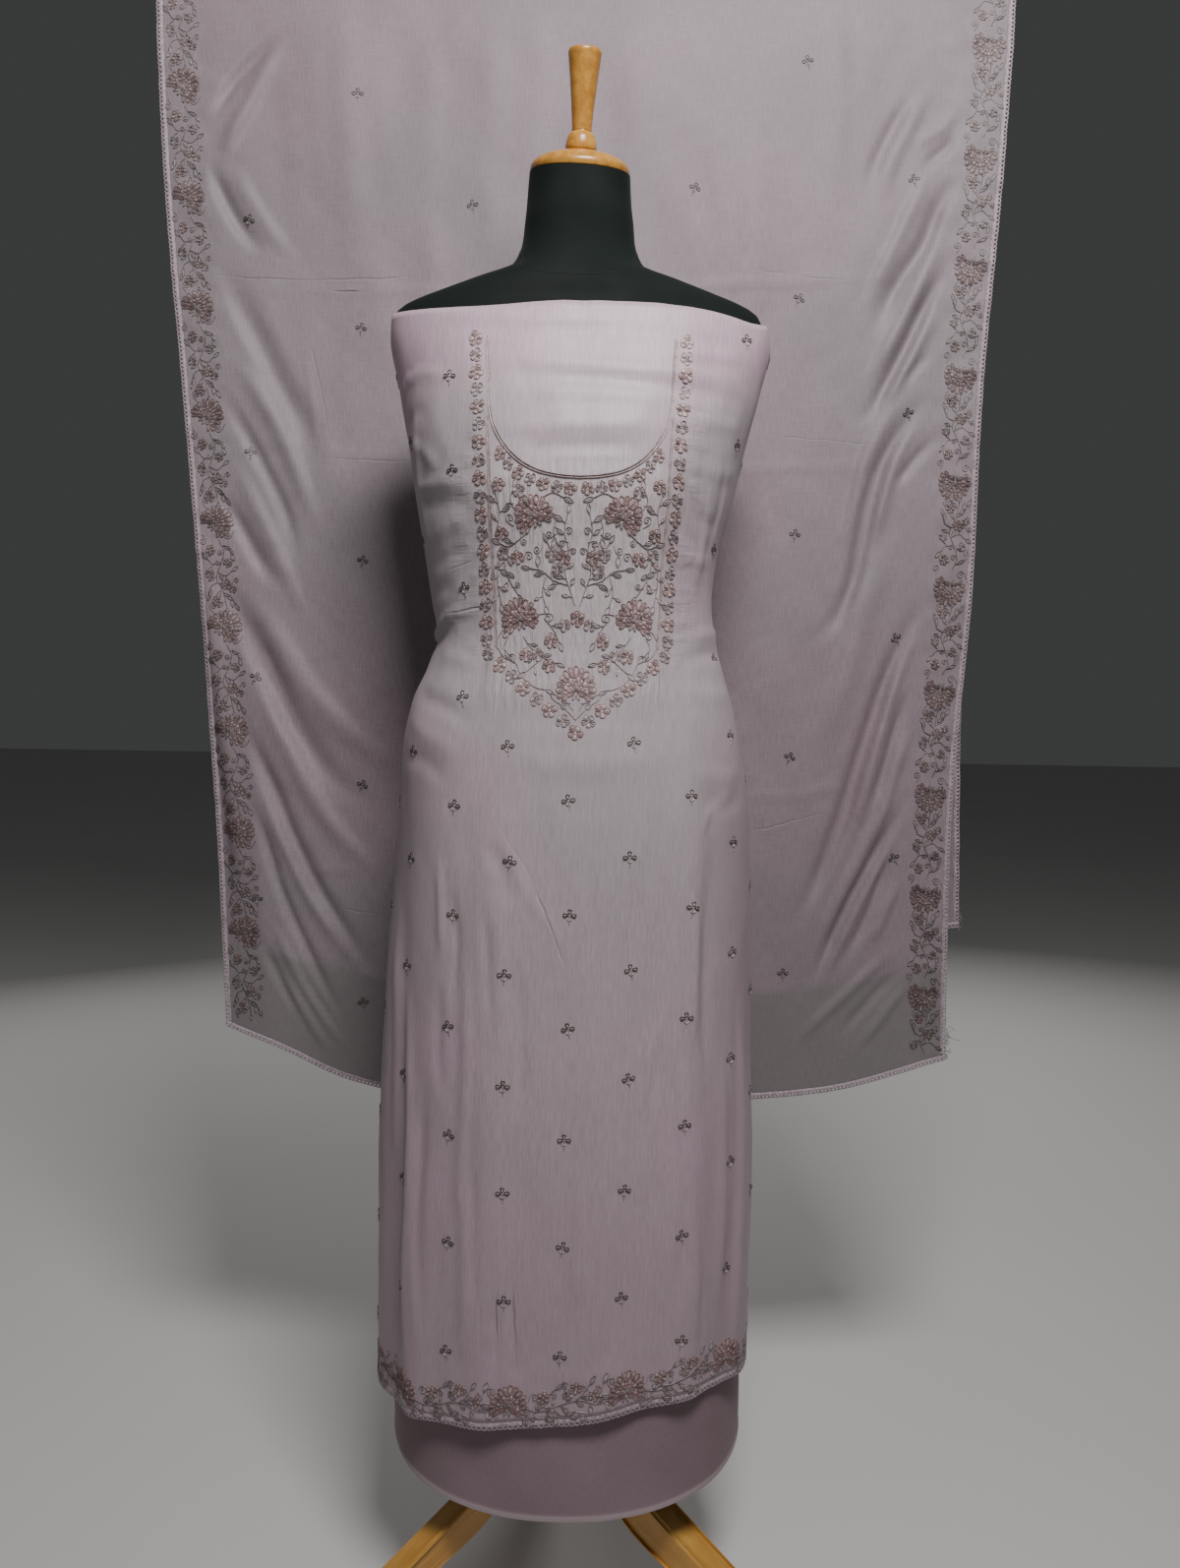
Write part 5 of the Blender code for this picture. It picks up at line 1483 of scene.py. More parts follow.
for side in (-1, 1):
    for path, pitch in ((ROSETTE_SIDE, ROSETTE_PITCH), (ROSETTE_POINT, ROSETTE_PITCH),
                        (ROSETTE_NECK, NECK_ROSETTE_PITCH)):
        for i, (x, z) in enumerate(curve_through(path, pitch)):
            if side > 0 and abs(x) < 0.002:
                continue
            kind = ROSETTE_ROSE if (i + (path is ROSETTE_POINT)) % 2 == 0 else ROSETTE_MAUVE
            shrink = 0.86 if path is ROSETTE_NECK else 1.0
            place(yoke, kind, YOKE_CENTRE - side * x, z, 17 * i + 9 * side, shrink)
    for x, z, turn in YOKE_FANS:
        place(yoke, FAN, YOKE_CENTRE - side * x, z, -side * turn, 1.0, -side)
    for x, z, kind in YOKE_FLOWERS:
        place(yoke, kind, YOKE_CENTRE - side * x, z, side * 20 + 900 * x)
    for i, path in enumerate(YOKE_VINES):
        line = np.array(path) * (-side, 1) + centred
        add_vine(yoke, line, random.Random(YOKE_SEED + i), YOKE_LEAF_GAP, side)
    for x, z, turn, size in YOKE_CURLS:
        place(yoke, CURL, YOKE_CENTRE - side * x, z, -side * turn, size, -side)
place(yoke, FAN, YOKE_CENTRE, 0.9615, 0, 1.04)
place(yoke, FLOWER_ROSE, YOKE_CENTRE, 1.030, 0, 1.1)
kameez_yoke = sew("kameez_yoke_embroidery", yoke, on_kameez)

# ---------------------------------------------------------------- kameez: scattered sprigs
# Small sprigs of silk loops and pale beads, worked into the crepe in a half-drop repeat over
# the whole length, and left out of the neck and panel.
SPRIG_ACROSS, SPRIG_UP, SPRIG_LOW_Z = 0.1165, 0.05350, 0.3225
SPRIG_HALF_WIDTH, SPRIG_ROWS, SPRIG_SWAY = 0.575, 19, 0.0022
SPRIG_UPPER_Z = 0.925
UPPER_SPRIGS = [
    (-0.120, 1.2550), (-0.121, 1.1650), (-0.109, 1.0600), (-0.108, 0.9550), (-0.195, 1.2025),
    (-0.192, 1.1100), (-0.188, 1.0080), (0.172, 1.3000), (0.181, 1.2025), (0.166, 1.1025),
    (0.169, 0.9975),
]
SPRIGS_TOP_Z, SPRIG_SHIFT, FRONT_HALF_WIDTH = 1.305, 0.002, 0.21
SPRIG_RISE, SPRIG_RISE_OVER, SPRIG_RISES_WITHIN = 0.010, 0.17, 0.3
WAIST_Z, WAIST_SHARE = (0.93, 1.02, 1.15), (1.0, 0.86, 1.0)

draw = random.Random(21)
scattered = stitching()
spots = list(UPPER_SPRIGS)
for row in range(SPRIG_ROWS):
    for step in range(-6, 7):
        across = (step + 0.5 * (row % 2)) * SPRIG_ACROSS + SPRIG_SHIFT
        up = SPRIG_LOW_Z + row * SPRIG_UP
        if abs(across) < SPRIG_RISES_WITHIN:
            up += SPRIG_RISE * across / SPRIG_RISE_OVER
        if up > SPRIG_UPPER_Z and abs(across) < FRONT_HALF_WIDTH:
            continue
        half_width = SPRIG_HALF_WIDTH * np.interp(up, WAIST_Z, WAIST_SHARE) - 0.02
        if abs(across) < half_width and up < SPRIGS_TOP_Z:
            spots.append((across, up))
for across, up in spots:
    across += draw.uniform(-SPRIG_SWAY, SPRIG_SWAY)
    up += draw.uniform(-SPRIG_SWAY, SPRIG_SWAY)
    place(scattered, SPRIG, across, up, draw.uniform(-12, 12), 1.0, draw.choice((-1, 1)))
kameez_sprigs = sew("kameez_sprigs", scattered, on_kameez)

# ---------------------------------------------------------------- kameez: hem border
# A running vine couched just above the hem's edging, in the same cords as the panel, with a
# spray at every repeat and flowers and tendrils between.
HEM_PITCH, HEM_FIRST, HEM_REPEATS = 0.1145, -0.5080, 10
HEM_SEED, HEM_LEAF_GAP = 70, 0.0074
HEM_STEM = [(0.014, 0.0220), (0.030, 0.0175), (0.050, 0.0225), (0.070, 0.0260), (0.088, 0.0200),
            (0.100, 0.0225)]
HEM_SHOOTS = [
    [(0.0280, 0.0190), (0.0360, 0.0230), (0.0400, 0.0330), (0.0470, 0.0390)],
    [(0.0450, 0.0200), (0.0500, 0.0130), (0.0600, 0.0110)],
    [(0.0640, 0.0250), (0.0740, 0.0330), (0.0790, 0.0410)],
    [(0.0820, 0.0220), (0.0890, 0.0310), (0.0920, 0.0400)],
    [(0.0240, 0.0200), (0.0270, 0.0120), (0.0360, 0.0100)],
]


HEM_FLOWERS = [(0.0345, 0.0310, FLOWER_ROSE, 1.0), (0.0585, 0.0330, FLOWER_MAUVE, 0.95),
               (0.0660, 0.0385, FLOWER_ROSE, 0.9), (0.0830, 0.0290, ROSETTE_ROSE, 0.80)]
HEM_CURLS = [(0.0220, 0.0330, 20, 0.9), (0.0540, 0.0400, -60, 0.8), (0.0740, 0.0130, 100, 0.9),
             (0.0960, 0.0370, -40, 0.9), (-0.0150, 0.0110, -110, 0.8), (0.0180, 0.0110, 110, 0.8)]


def hem_repeat():
    """One repeat of the hem vine: x along the hem from a spray's middle, y above the edge."""
    work = stitching()
    place(work, FAN, 0.000, 0.0225, 8, 1.0)
    for x, y, kind, size in HEM_FLOWERS:
        place(work, kind, x, y, 2000 * x, size)
    for i, path in enumerate((HEM_STEM, *HEM_SHOOTS)):
        add_vine(work, path, random.Random(HEM_SEED + i), HEM_LEAF_GAP)
    for x, y, turn, size in HEM_CURLS:
        place(work, CURL, x, y, turn, size)
    return work


hem_vine, one_repeat = stitching(), hem_repeat()
for i in range(HEM_REPEATS):
    place(hem_vine, one_repeat, HEM_FIRST + i * HEM_PITCH, 0.0)


def above_kameez_hem(along, above, lift):
    return on_kameez(along, kameez_hem_z(along) + above, lift)


kameez_vine = sew("kameez_hem_embroidery", hem_vine, above_kameez_hem)

# ---------------------------------------------------------------- crochet edging
# Cotton-silk crochet sewn along the kameez hem and all round the dupatta: a solid band, a
# row of eyelets with raised rims, and a small scallop over each eyelet.
LACE_REPEAT, LACE_WALL, LACE_WELD, EDGE_POINTS = 0.0050, 0.0009, 0.00012, 1601
EYELET_RADIUS, EYELET_OUT, EYELET_RIM_RISE = 0.00130, 0.0054, 0.00035
LACE_BAND, LACE_SHOULDER = 0.0034, 0.0072
LACE_DARK, LACE_LIGHT = (0.215, 0.163, 0.186, 1), (0.420, 0.338, 0.376, 1)


def lace_repeat():
    """Points (share of the repeat, distance out, lift) and faces of one eyelet."""
    cell = [(0.0, LACE_BAND), (0.5, LACE_BAND), (1.0, LACE_BAND), (1.0, EYELET_OUT),
            (1.0, LACE_SHOULDER), (0.5, LACE_SHOULDER), (0.0, LACE_SHOULDER), (0.0, EYELET_OUT)]
    points = [(x, y, 0.0) for x, y in cell]
    for degrees in (225, 270, 315, 0, 45, 90, 135, 180):
        turn = math.radians(degrees)
        points.append((0.5 + EYELET_RADIUS / LACE_REPEAT * math.cos(turn),
                       EYELET_OUT + EYELET_RADIUS * math.sin(turn), EYELET_RIM_RISE))
    faces = [(i, (i + 1) % 8, 8 + (i + 1) % 8, 8 + i) for i in range(8)]
    points += [(0.0, 0.0, 0.0), (0.5, 0.0, 0.0), (1.0, 0.0, 0.0)]
    faces += [(16, 17, 1, 0), (17, 18, 2, 1)]
    points += [(0.20, 0.0077, 0.0001), (0.5, 0.0080, 0.0002), (0.80, 0.0077, 0.0001)]
    faces += [(6, 5, 20, 19), (5, 4, 21, 20)]
    return np.array(points), faces


LACE_POINTS, LACE_FACES = lace_repeat()


def lace_material():
    material, tree, shader = new_material("crochet_thread")
    plies, loops = (noise(tree, piece_place(tree), *kind)
                    for kind in ((1300.0, 2.0, 0.7), (420.0, 1.0)))
    shade = arithmetic(tree, "MULTIPLY_ADD", plies, 0.5, times(tree, loops, 0.5))
    feed(tree, shader, {
        "Base Color": mix_colour(tree, map_range(tree, shade, 0.34, 0.66), LACE_DARK, LACE_LIGHT),
        "Roughness": map_range(tree, plies, 0.3, 0.7, 0.48, 0.66),
        "Normal": bump(tree, shade, 0.6, 0.0008), "Sheen Weight": 0.2})
    return material


CROCHET = lace_material()


def crochet(name, length, on_edge, solids):
    """A strip of edging; on_edge gives the place of (length along, distance out, lift)."""
    repeats = int(round(length / LACE_REPEAT))
    count = len(LACE_POINTS)
    shift = np.repeat(np.arange(repeats), count)
    tiled = np.tile(LACE_POINTS, (repeats, 1))
    along = (tiled[:, 0] + shift) / repeats * length
    places = on_edge(along, tiled[:, 1], tiled[:, 2])
    faces = np.concatenate([[tuple(i + count * r for i in face) for face in LACE_FACES]
                            for r in range(repeats)])
    piece = placed(name, smooth_mesh(name, places.tolist(), faces.tolist()))
    weld = piece.modifiers.new("repeats_joined", "WELD")
    weld.merge_threshold = LACE_WELD
    thicken(piece, LACE_WALL)
    piece.data.materials.append(CROCHET)
    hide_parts(*solids)
    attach(piece, "root")
    return piece


kameez_edge_turn = np.linspace(-reach, reach, EDGE_POINTS)
kameez_edge_z = edge_height(KAMEEZ_HEM, kameez_edge_turn) + LACE_WIDTH / 2
kameez_edge_around = around_at(kameez_edge_turn, kameez_edge_z)
kameez_edge_points = ring_points(ring_reaches(kameez_edge_z), kameez_edge_turn, kameez_edge_z)
kameez_edge_along = arc_lengths(kameez_edge_points[None])[0]


def on_kameez_edge(along, out, lift):
    """Places on the edging below the kameez, from its left end round to its right end."""
    angle = np.interp(along, kameez_edge_along, kameez_edge_turn)
    z = edge_height(KAMEEZ_HEM, angle) + LACE_WIDTH - out
    at = (np.interp(along, kameez_edge_along, kameez_edge_around), z)
    places = read_table(kameez_places, table_first, table_step, at)
    normals = read_table(kameez_normals, table_first, table_step, at)
    return places + normals * lift[..., None]


kameez_lace = crochet("kameez_hem_crochet", kameez_edge_along[-1], on_kameez_edge,
                      ["kameez_hem_lace"])

# ---------------------------------------------------------------- rod
# A plain rod, turned from beech with eased ends and varnished, which holds the dupatta up.
# Its ends lie in brackets that aren't part of the set.
ROD_Y, ROD_Z = 0.130, 1.790
ROD_RADIUS, ROD_LENGTH, ROD_EASE = 0.0125, 1.100, 0.0015
ROD_SIDES, ROD_ROWS, ROD_FLAT_RADIUS = 40, 24, 0.04

rod_half = ROD_LENGTH / 2
rod_outline = [(-rod_half, ROD_RADIUS - ROD_EASE), (-rod_half + 0.0005, ROD_RADIUS - 0.0005),
               (-rod_half + ROD_EASE, ROD_RADIUS)]
rod_outline += [(x, ROD_RADIUS) for x in np.linspace(-rod_half + 0.02, rod_half - 0.02, ROD_ROWS)]
rod_outline += [(rod_half - ROD_EASE, ROD_RADIUS), (rod_half - 0.0005, ROD_RADIUS - 0.0005),
                (rod_half, ROD_RADIUS - ROD_EASE)]
rod_outline = np.array(rod_outline)
rod_turn = np.linspace(0, 2 * math.pi, ROD_SIDES, endpoint=False)[None]
rod_x, rod_r = rod_outline[:, :1], rod_outline[:, 1:]
rod_points = np.stack([rod_x + 0 * rod_turn, ROD_Y + rod_r * np.cos(rod_turn),
                       ROD_Z + rod_r * np.sin(rod_turn)], axis=-1)
rod_flat = np.stack(np.broadcast_arrays(ROD_FLAT_RADIUS * np.abs(np.cos(rod_turn)), rod_x), axis=-1)
rod = cap_ends(sheet_mesh("dupatta_rod_turned", rod_points, rod_flat, joined=True),
               ROD_SIDES, len(rod_outline))
rod.data.materials.append(leg_wood)
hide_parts("dupatta_rod")
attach(rod, "root")

# ---------------------------------------------------------------- dupatta
# A long stole of soft tissue silk, folded over the rod so that both layers hang free. Its
# own weight and the stiff worked borders pull it into swags from the sides.
CLOTH_OFF_ROD, CLOTH_HALF = 0.0006, 0.0008
BEND = ROD_RADIUS + CLOTH_OFF_ROD + CLOTH_HALF
Side = namedtuple("Side", "z left right")
Hem = namedtuple("Hem", "x z")
FRONT_SIDES = [
    Side(1.80, -0.486, 0.489), Side(1.52, -0.477, 0.478), Side(1.30, -0.460, 0.467),
    Side(1.07, -0.443, 0.465), Side(0.84, -0.429, 0.453), Side(0.45, -0.412, 0.459),
]
BACK_SIDES = [
    Side(1.80, -0.486, 0.489), Side(1.52, -0.474, 0.483), Side(1.30, -0.455, 0.475),
    Side(1.04, -0.437, 0.470), Side(0.84, -0.428, 0.474), Side(0.65, -0.420, 0.481),
]
FRONT_HEM = [
    Hem(-0.415, 0.550), Hem(-0.335, 0.516), Hem(-0.275, 0.488), Hem(-0.225, 0.473),
    Hem(0.000, 0.456), Hem(0.220, 0.467), Hem(0.330, 0.481), Hem(0.460, 0.521),
]
BACK_HEM = [Hem(-0.425, 0.690), Hem(-0.200, 0.640), Hem(0.200, 0.632), Hem(0.479, 0.675)]
FRONT_CREASES = [
    # left: the turned corner at the top and the pulls below it
    Crease([(-0.335, 1.700), (-0.362, 1.675), (-0.392, 1.645), (-0.418, 1.600)],
           0.011, -0.0060, 0.3),
    Crease([(-0.345, 1.690), (-0.378, 1.628), (-0.404, 1.579), (-0.414, 1.545)],
           0.014, 0.0050, -0.3),
    Crease([(-0.422, 1.560), (-0.408, 1.520), (-0.388, 1.485), (-0.360, 1.450)],
           0.013, -0.0070, 0.3),
    Crease([(-0.405, 1.555), (-0.385, 1.515), (-0.362, 1.480), (-0.335, 1.445)],
           0.016, 0.0030, -0.3),
    Crease([(-0.408, 1.450), (-0.385, 1.395), (-0.350, 1.325), (-0.315, 1.255), (-0.300, 1.200)],
           0.022, -0.0065, 0.2),
    Crease([(-0.412, 1.350), (-0.390, 1.318), (-0.360, 1.270), (-0.335, 1.215), (-0.310, 1.140)],
           0.018, 0.0050, -0.35),
    Crease([(-0.418, 1.310), (-0.396, 1.270), (-0.370, 1.222), (-0.345, 1.170), (-0.325, 1.100)],
           0.012, -0.0050),
    Crease([(-0.318, 1.360), (-0.309, 1.289), (-0.300, 1.220)], 0.0070, 0.0010),
    Crease([(-0.410, 1.230), (-0.385, 1.180), (-0.352, 1.110), (-0.320, 1.030)],
           0.016, 0.0040, -0.3),
    Crease([(-0.414, 1.190), (-0.396, 1.155), (-0.372, 1.110), (-0.350, 1.070)],
           0.014, -0.0060, 0.2),
    # left: swags that hang from the side and flatten towards the middle
    Crease([(-0.395, 1.080), (-0.350, 1.000), (-0.300, 0.930), (-0.245, 0.880), (-0.190, 0.850)],
           0.026, 0.0045, -0.3),
    Crease([(-0.415, 1.100), (-0.390, 1.050), (-0.360, 0.985), (-0.320, 0.905), (-0.270, 0.840),
            (-0.210, 0.800)], 0.024, -0.0090, 0.25),
    Crease([(-0.392, 0.990), (-0.352, 0.905), (-0.315, 0.830), (-0.268, 0.765), (-0.215, 0.715)],
           0.020, 0.0050, -0.3),
    Crease([(-0.400, 0.950), (-0.380, 0.900), (-0.354, 0.840), (-0.326, 0.770), (-0.290, 0.700),
            (-0.240, 0.630), (-0.190, 0.590)], 0.017, -0.0085, 0.3),
    Crease([(-0.380, 0.850), (-0.350, 0.780), (-0.318, 0.712), (-0.280, 0.655), (-0.240, 0.600)],
           0.015, 0.0045, -0.3),
    Crease([(-0.392, 0.850), (-0.366, 0.780), (-0.346, 0.715), (-0.318, 0.650), (-0.285, 0.585),
            (-0.255, 0.535)], 0.011, -0.0060, 0.3),
    Crease([(-0.375, 0.660), (-0.352, 0.610), (-0.325, 0.560)], 0.009, -0.0035),
    Crease([(-0.362, 0.680), (-0.338, 0.630), (-0.310, 0.580), (-0.280, 0.535), (-0.262, 0.515)],
           0.009, 0.0045, -0.2),
    Crease([(-0.345, 0.645), (-0.318, 0.602), (-0.292, 0.562), (-0.272, 0.530)], 0.0075, -0.0030),
    Crease([(-0.352, 0.620), (-0.325, 0.575), (-0.300, 0.535), (-0.285, 0.512)], 0.008, 0.0035),
    Crease([(-0.428, 1.180), (-0.404, 0.950), (-0.386, 0.780), (-0.380, 0.600)],
           0.030, 0.0070, 0.6),
    # right: long pulls from the border down towards the middle
    Crease([(0.378, 1.650), (0.352, 1.605), (0.336, 1.570), (0.326, 1.530)], 0.012, -0.0035),
    Crease([(0.392, 1.655), (0.372, 1.610), (0.352, 1.565), (0.342, 1.520)], 0.014, 0.0030),
    Crease([(0.428, 1.622), (0.402, 1.600), (0.376, 1.588)], 0.009, 0.0030),
    Crease([(0.430, 1.600), (0.408, 1.580), (0.384, 1.562)], 0.009, -0.0045, 0.2),
    Crease([(0.408, 1.575), (0.385, 1.525), (0.365, 1.480), (0.342, 1.430), (0.328, 1.390)],
           0.014, 0.0040, 0.3),
    Crease([(0.424, 1.560), (0.405, 1.520), (0.390, 1.478), (0.366, 1.440), (0.346, 1.400),
            (0.335, 1.370)], 0.015, -0.0080, -0.2),
    Crease([(0.418, 1.490), (0.398, 1.440), (0.376, 1.392), (0.352, 1.345), (0.332, 1.310)],
           0.016, 0.0055, 0.35),
    Crease([(0.415, 1.455), (0.396, 1.415), (0.378, 1.372), (0.358, 1.330), (0.338, 1.290),
            (0.318, 1.265)], 0.013, -0.0090, -0.2),
    Crease([(0.415, 1.410), (0.394, 1.368), (0.370, 1.320), (0.345, 1.280)], 0.012, 0.0050, 0.3),
    Crease([(0.404, 1.358), (0.388, 1.338), (0.370, 1.315)], 0.0075, -0.0030),
    Crease([(0.398, 1.330), (0.366, 1.285), (0.342, 1.240), (0.328, 1.180), (0.318, 1.110)],
           0.016, 0.0045, 0.35),
    Crease([(0.408, 1.318), (0.378, 1.280), (0.356, 1.240), (0.342, 1.195), (0.332, 1.140),
            (0.320, 1.085), (0.296, 1.040), (0.250, 1.005)], 0.014, -0.0090, -0.2),
    Crease([(0.400, 1.282), (0.375, 1.240), (0.360, 1.190), (0.350, 1.130)], 0.014, 0.0050, 0.3),
    Crease([(0.414, 1.262), (0.390, 1.232), (0.368, 1.200)], 0.008, -0.0045),
    Crease([(0.372, 1.150), (0.350, 1.090), (0.334, 1.030), (0.318, 0.960), (0.300, 0.880)],
           0.026, 0.0050, 0.2),
    Crease([(0.412, 1.090), (0.392, 1.050), (0.370, 0.998), (0.352, 0.940), (0.335, 0.880),
            (0.320, 0.820), (0.300, 0.760), (0.276, 0.705), (0.250, 0.660)], 0.016, -0.0100, -0.25),
    Crease([(0.408, 1.055), (0.388, 1.000), (0.373, 0.945), (0.358, 0.880), (0.342, 0.815),
            (0.324, 0.760)], 0.013, 0.0050, 0.3),
    Crease([(0.398, 0.975), (0.382, 0.925), (0.369, 0.872), (0.352, 0.815)], 0.009, -0.0045),
    Crease([(0.402, 0.935), (0.388, 0.890), (0.374, 0.840), (0.355, 0.780)], 0.010, 0.0035),
    Crease([(0.388, 0.855), (0.364, 0.805), (0.342, 0.755), (0.320, 0.705), (0.300, 0.655)],
           0.013, 0.0045, 0.3),
    Crease([(0.398, 0.850), (0.376, 0.800), (0.352, 0.750), (0.328, 0.700), (0.306, 0.650),
            (0.286, 0.600)], 0.012, -0.0080, -0.2),
    Crease([(0.392, 0.815), (0.368, 0.760), (0.344, 0.706), (0.320, 0.650), (0.300, 0.605)],
           0.010, 0.0050, 0.25),
    Crease([(0.388, 0.785), (0.370, 0.735), (0.350, 0.680), (0.324, 0.630)], 0.009, -0.0050),
    Crease([(0.392, 0.745), (0.376, 0.700), (0.360, 0.655)], 0.010, 0.0040),
    Crease([(0.400, 0.665), (0.350, 0.615), (0.300, 0.565), (0.270, 0.530)], 0.009, 0.0035, 0.2),
    Crease([(0.405, 0.640), (0.365, 0.595), (0.325, 0.545)], 0.009, -0.0030),
    Crease([(0.410, 0.620), (0.380, 0.575), (0.350, 0.530)], 0.009, 0.0030),
    # the middle: soft upright waves and two storage creases
    Crease([(-0.270, 1.770), (-0.262, 1.600), (-0.250, 1.400)], 0.030, 0.0014, 0.2),
    Crease([(-0.190, 1.770), (-0.184, 1.560), (-0.176, 1.320), (-0.180, 1.100)],
           0.034, 0.0018, -0.2),
    Crease([(-0.100, 1.770), (-0.104, 1.600), (-0.098, 1.400)], 0.026, 0.0014),
    Crease([(-0.030, 1.770), (-0.026, 1.600), (-0.036, 1.440)], 0.024, -0.0012),
    Crease([(0.060, 1.770), (0.064, 1.560), (0.074, 1.300)], 0.032, 0.0016, 0.2),
    Crease([(0.150, 1.770), (0.148, 1.620), (0.156, 1.430)], 0.020, 0.0012, -0.3),
    Crease([(0.196, 1.760), (0.202, 1.560), (0.198, 1.300), (0.206, 1.080)], 0.030, 0.0020, 0.2),
    Crease([(0.290, 1.770), (0.286, 1.640), (0.292, 1.500)], 0.024, 0.0014),
    Crease([(0.345, 1.712), (0.380, 1.708), (0.418, 1.704)], 0.0070, -0.0016),
    Crease([(-0.100, 1.250), (-0.080, 0.950), (-0.090, 0.560)], 0.050, 0.0050, 0.2),
    Crease([(0.030, 1.300), (0.040, 0.950), (0.030, 0.520)], 0.050, 0.0050, -0.2),
    Crease([(0.150, 1.150), (0.160, 0.850), (0.150, 0.520)], 0.040, 0.0040, 0.2),
    Crease([(-0.500, 1.416), (-0.300, 1.414), (0.000, 1.418), (0.300, 1.436), (0.500, 1.450)],
           0.0065, 0.0011),
    Crease([(-0.500, 1.270), (-0.300, 1.234), (0.000, 1.215), (0.300, 1.225), (0.500, 1.240)],
           0.0065, 0.0009),
    Crease([(-0.330, 0.735), (-0.290, 0.742), (-0.240, 0.740)], 0.0070, 0.0010),
    Crease([(0.200, 0.838), (0.270, 0.842), (0.340, 0.856)], 0.0070, 0.0011),
]
BACK_CREASES = [
    Crease([(-0.360, 1.740), (-0.350, 1.400), (-0.310, 1.000), (-0.290, 0.680)],
           0.040, 0.0090, 0.3),
    Crease([(-0.430, 1.500), (-0.400, 1.300), (-0.350, 1.060), (-0.300, 0.800)],
           0.024, 0.0060, 0.4),
    Crease([(-0.420, 1.150), (-0.380, 0.980), (-0.310, 0.780), (-0.240, 0.640)],
           0.022, 0.0075, 0.4),
    Crease([(-0.230, 1.760), (-0.220, 1.400), (-0.210, 1.000), (-0.190, 0.660)],
           0.036, 0.0060, -0.2),
    Crease([(-0.090, 1.740), (-0.080, 1.350), (-0.060, 0.950), (-0.050, 0.650)],
           0.045, 0.0080, 0.2),
    Crease([(0.050, 1.760), (0.060, 1.400), (0.070, 1.000), (0.080, 0.660)], 0.034, 0.0050),
    Crease([(0.180, 1.740), (0.190, 1.400), (0.210, 1.000), (0.220, 0.660)], 0.042, 0.0085, -0.3),
    Crease([(0.320, 1.720), (0.310, 1.400), (0.300, 1.100), (0.290, 0.700)], 0.026, 0.0050),
    Crease([(0.440, 1.480), (0.400, 1.280), (0.350, 1.050), (0.310, 0.820)], 0.024, 0.0080, -0.4),
    Crease([(0.440, 1.180), (0.410, 1.000), (0.360, 0.820), (0.320, 0.680)], 0.020, 0.0070, -0.4),
    Crease([(-0.500, 1.436), (0.000, 1.440), (0.500, 1.448)], 0.0060, 0.0010),
    Crease([(-0.500, 1.100), (0.000, 1.106), (0.500, 1.112)], 0.0060, 0.0008),
]
Layer = namedtuple("Layer", "sides hem creases facing seed")
FRONT = Layer(FRONT_SIDES, FRONT_HEM, FRONT_CREASES, -1, 31)
BACK = Layer(BACK_SIDES, BACK_HEM, BACK_CREASES, 1, 37)
FRONT_DROP = ROD_Z - min(row.z for row in FRONT_HEM)
BACK_DROP = ROD_Z - min(row.z for row in BACK_HEM)
OVER = math.pi * BEND
SIDE_COLUMNS, MIDDLE_COLUMNS, SIDE_SHARE = 48, 74, 0.20
FRONT_ROWS, OVER_ROWS, BACK_ROWS = 208, 12, 48
RELIEF_STARTS, HELD_OUT, PRESSED_BACK = 0.10, 0.0070, 0.15
PUCKERS_START, PUCKERS_FULL = 0.46 - 0.062, 0.43
HANGING_UNEVEN, FINELY_UNEVEN = (0.0011, 0.09, 0.36), (0.00030, 0.03, 0.09)
BORDER_PUCKERS = (0.00045, 0.018, 0.050)


def side_x(sides, z, share):
    """Across a layer from its left edge (0) to its right edge (1)."""
    known = column(sides, "z")
    left = smooth_values(z, known, column(sides, "left"))
    right = smooth_values(z, known, column(sides, "right"))
    return left + share * (right - left)


def layer_relief(layer, x, z):
    """How far a layer stands out of its flat; troughs that would go behind the flat are
    pressed almost level with it."""
    relief = crease_relief(layer.creases, x, z) + HELD_OUT
    relief = relief + uneven(x, z, layer.seed, *HANGING_UNEVEN)
    relief += uneven(x, z, layer.seed + 1, *FINELY_UNEVEN)
    border = smooth_step(PUCKERS_START, PUCKERS_FULL, np.abs(x))
    relief += uneven(z, x, layer.seed + 2, *BORDER_PUCKERS) * border
    relief = np.where(relief > 0, relief, PRESSED_BACK * relief)
    return relief * smooth_step(0, RELIEF_STARTS, ROD_Z - z)


def layer_place(layer, share, down):
    """Middle of a layer: share across from left to right, down from the rod (0) to the hem."""
    known = column(layer.hem, "x")
    foot_x = side_x(layer.sides, min(row.z for row in layer.hem), share)
    foot_z = smooth_values(foot_x, known, column(layer.hem, "z"))
    z = ROD_Z + down * (foot_z - ROD_Z)
    x = side_x(layer.sides, z, share)
    y = ROD_Y + layer.facing * (BEND + layer_relief(layer, x, z))
    return np.stack([x, y, z], axis=-1)


def dupatta_place(share, run):
    """The whole cloth: run goes from the front hem up, over the rod and down the back."""
    share, run = np.broadcast_arrays(np.asarray(share, float), np.asarray(run, float))
    front = layer_place(FRONT, share, np.clip(1 - run / FRONT_DROP, 0, 1))
    back = layer_place(BACK, share, np.clip((run - FRONT_DROP - OVER) / BACK_DROP, 0, 1))
    turn = np.clip((run - FRONT_DROP) / OVER, 0, 1) * math.pi
    over = np.stack([front[..., 0], ROD_Y - BEND * np.cos(turn),
                     ROD_Z + BEND * np.sin(turn)], axis=-1)
    bent = ((run > FRONT_DROP) & (run < FRONT_DROP + OVER))[..., None]
    return np.where(bent, over, np.where((run <= FRONT_DROP)[..., None], front, back))


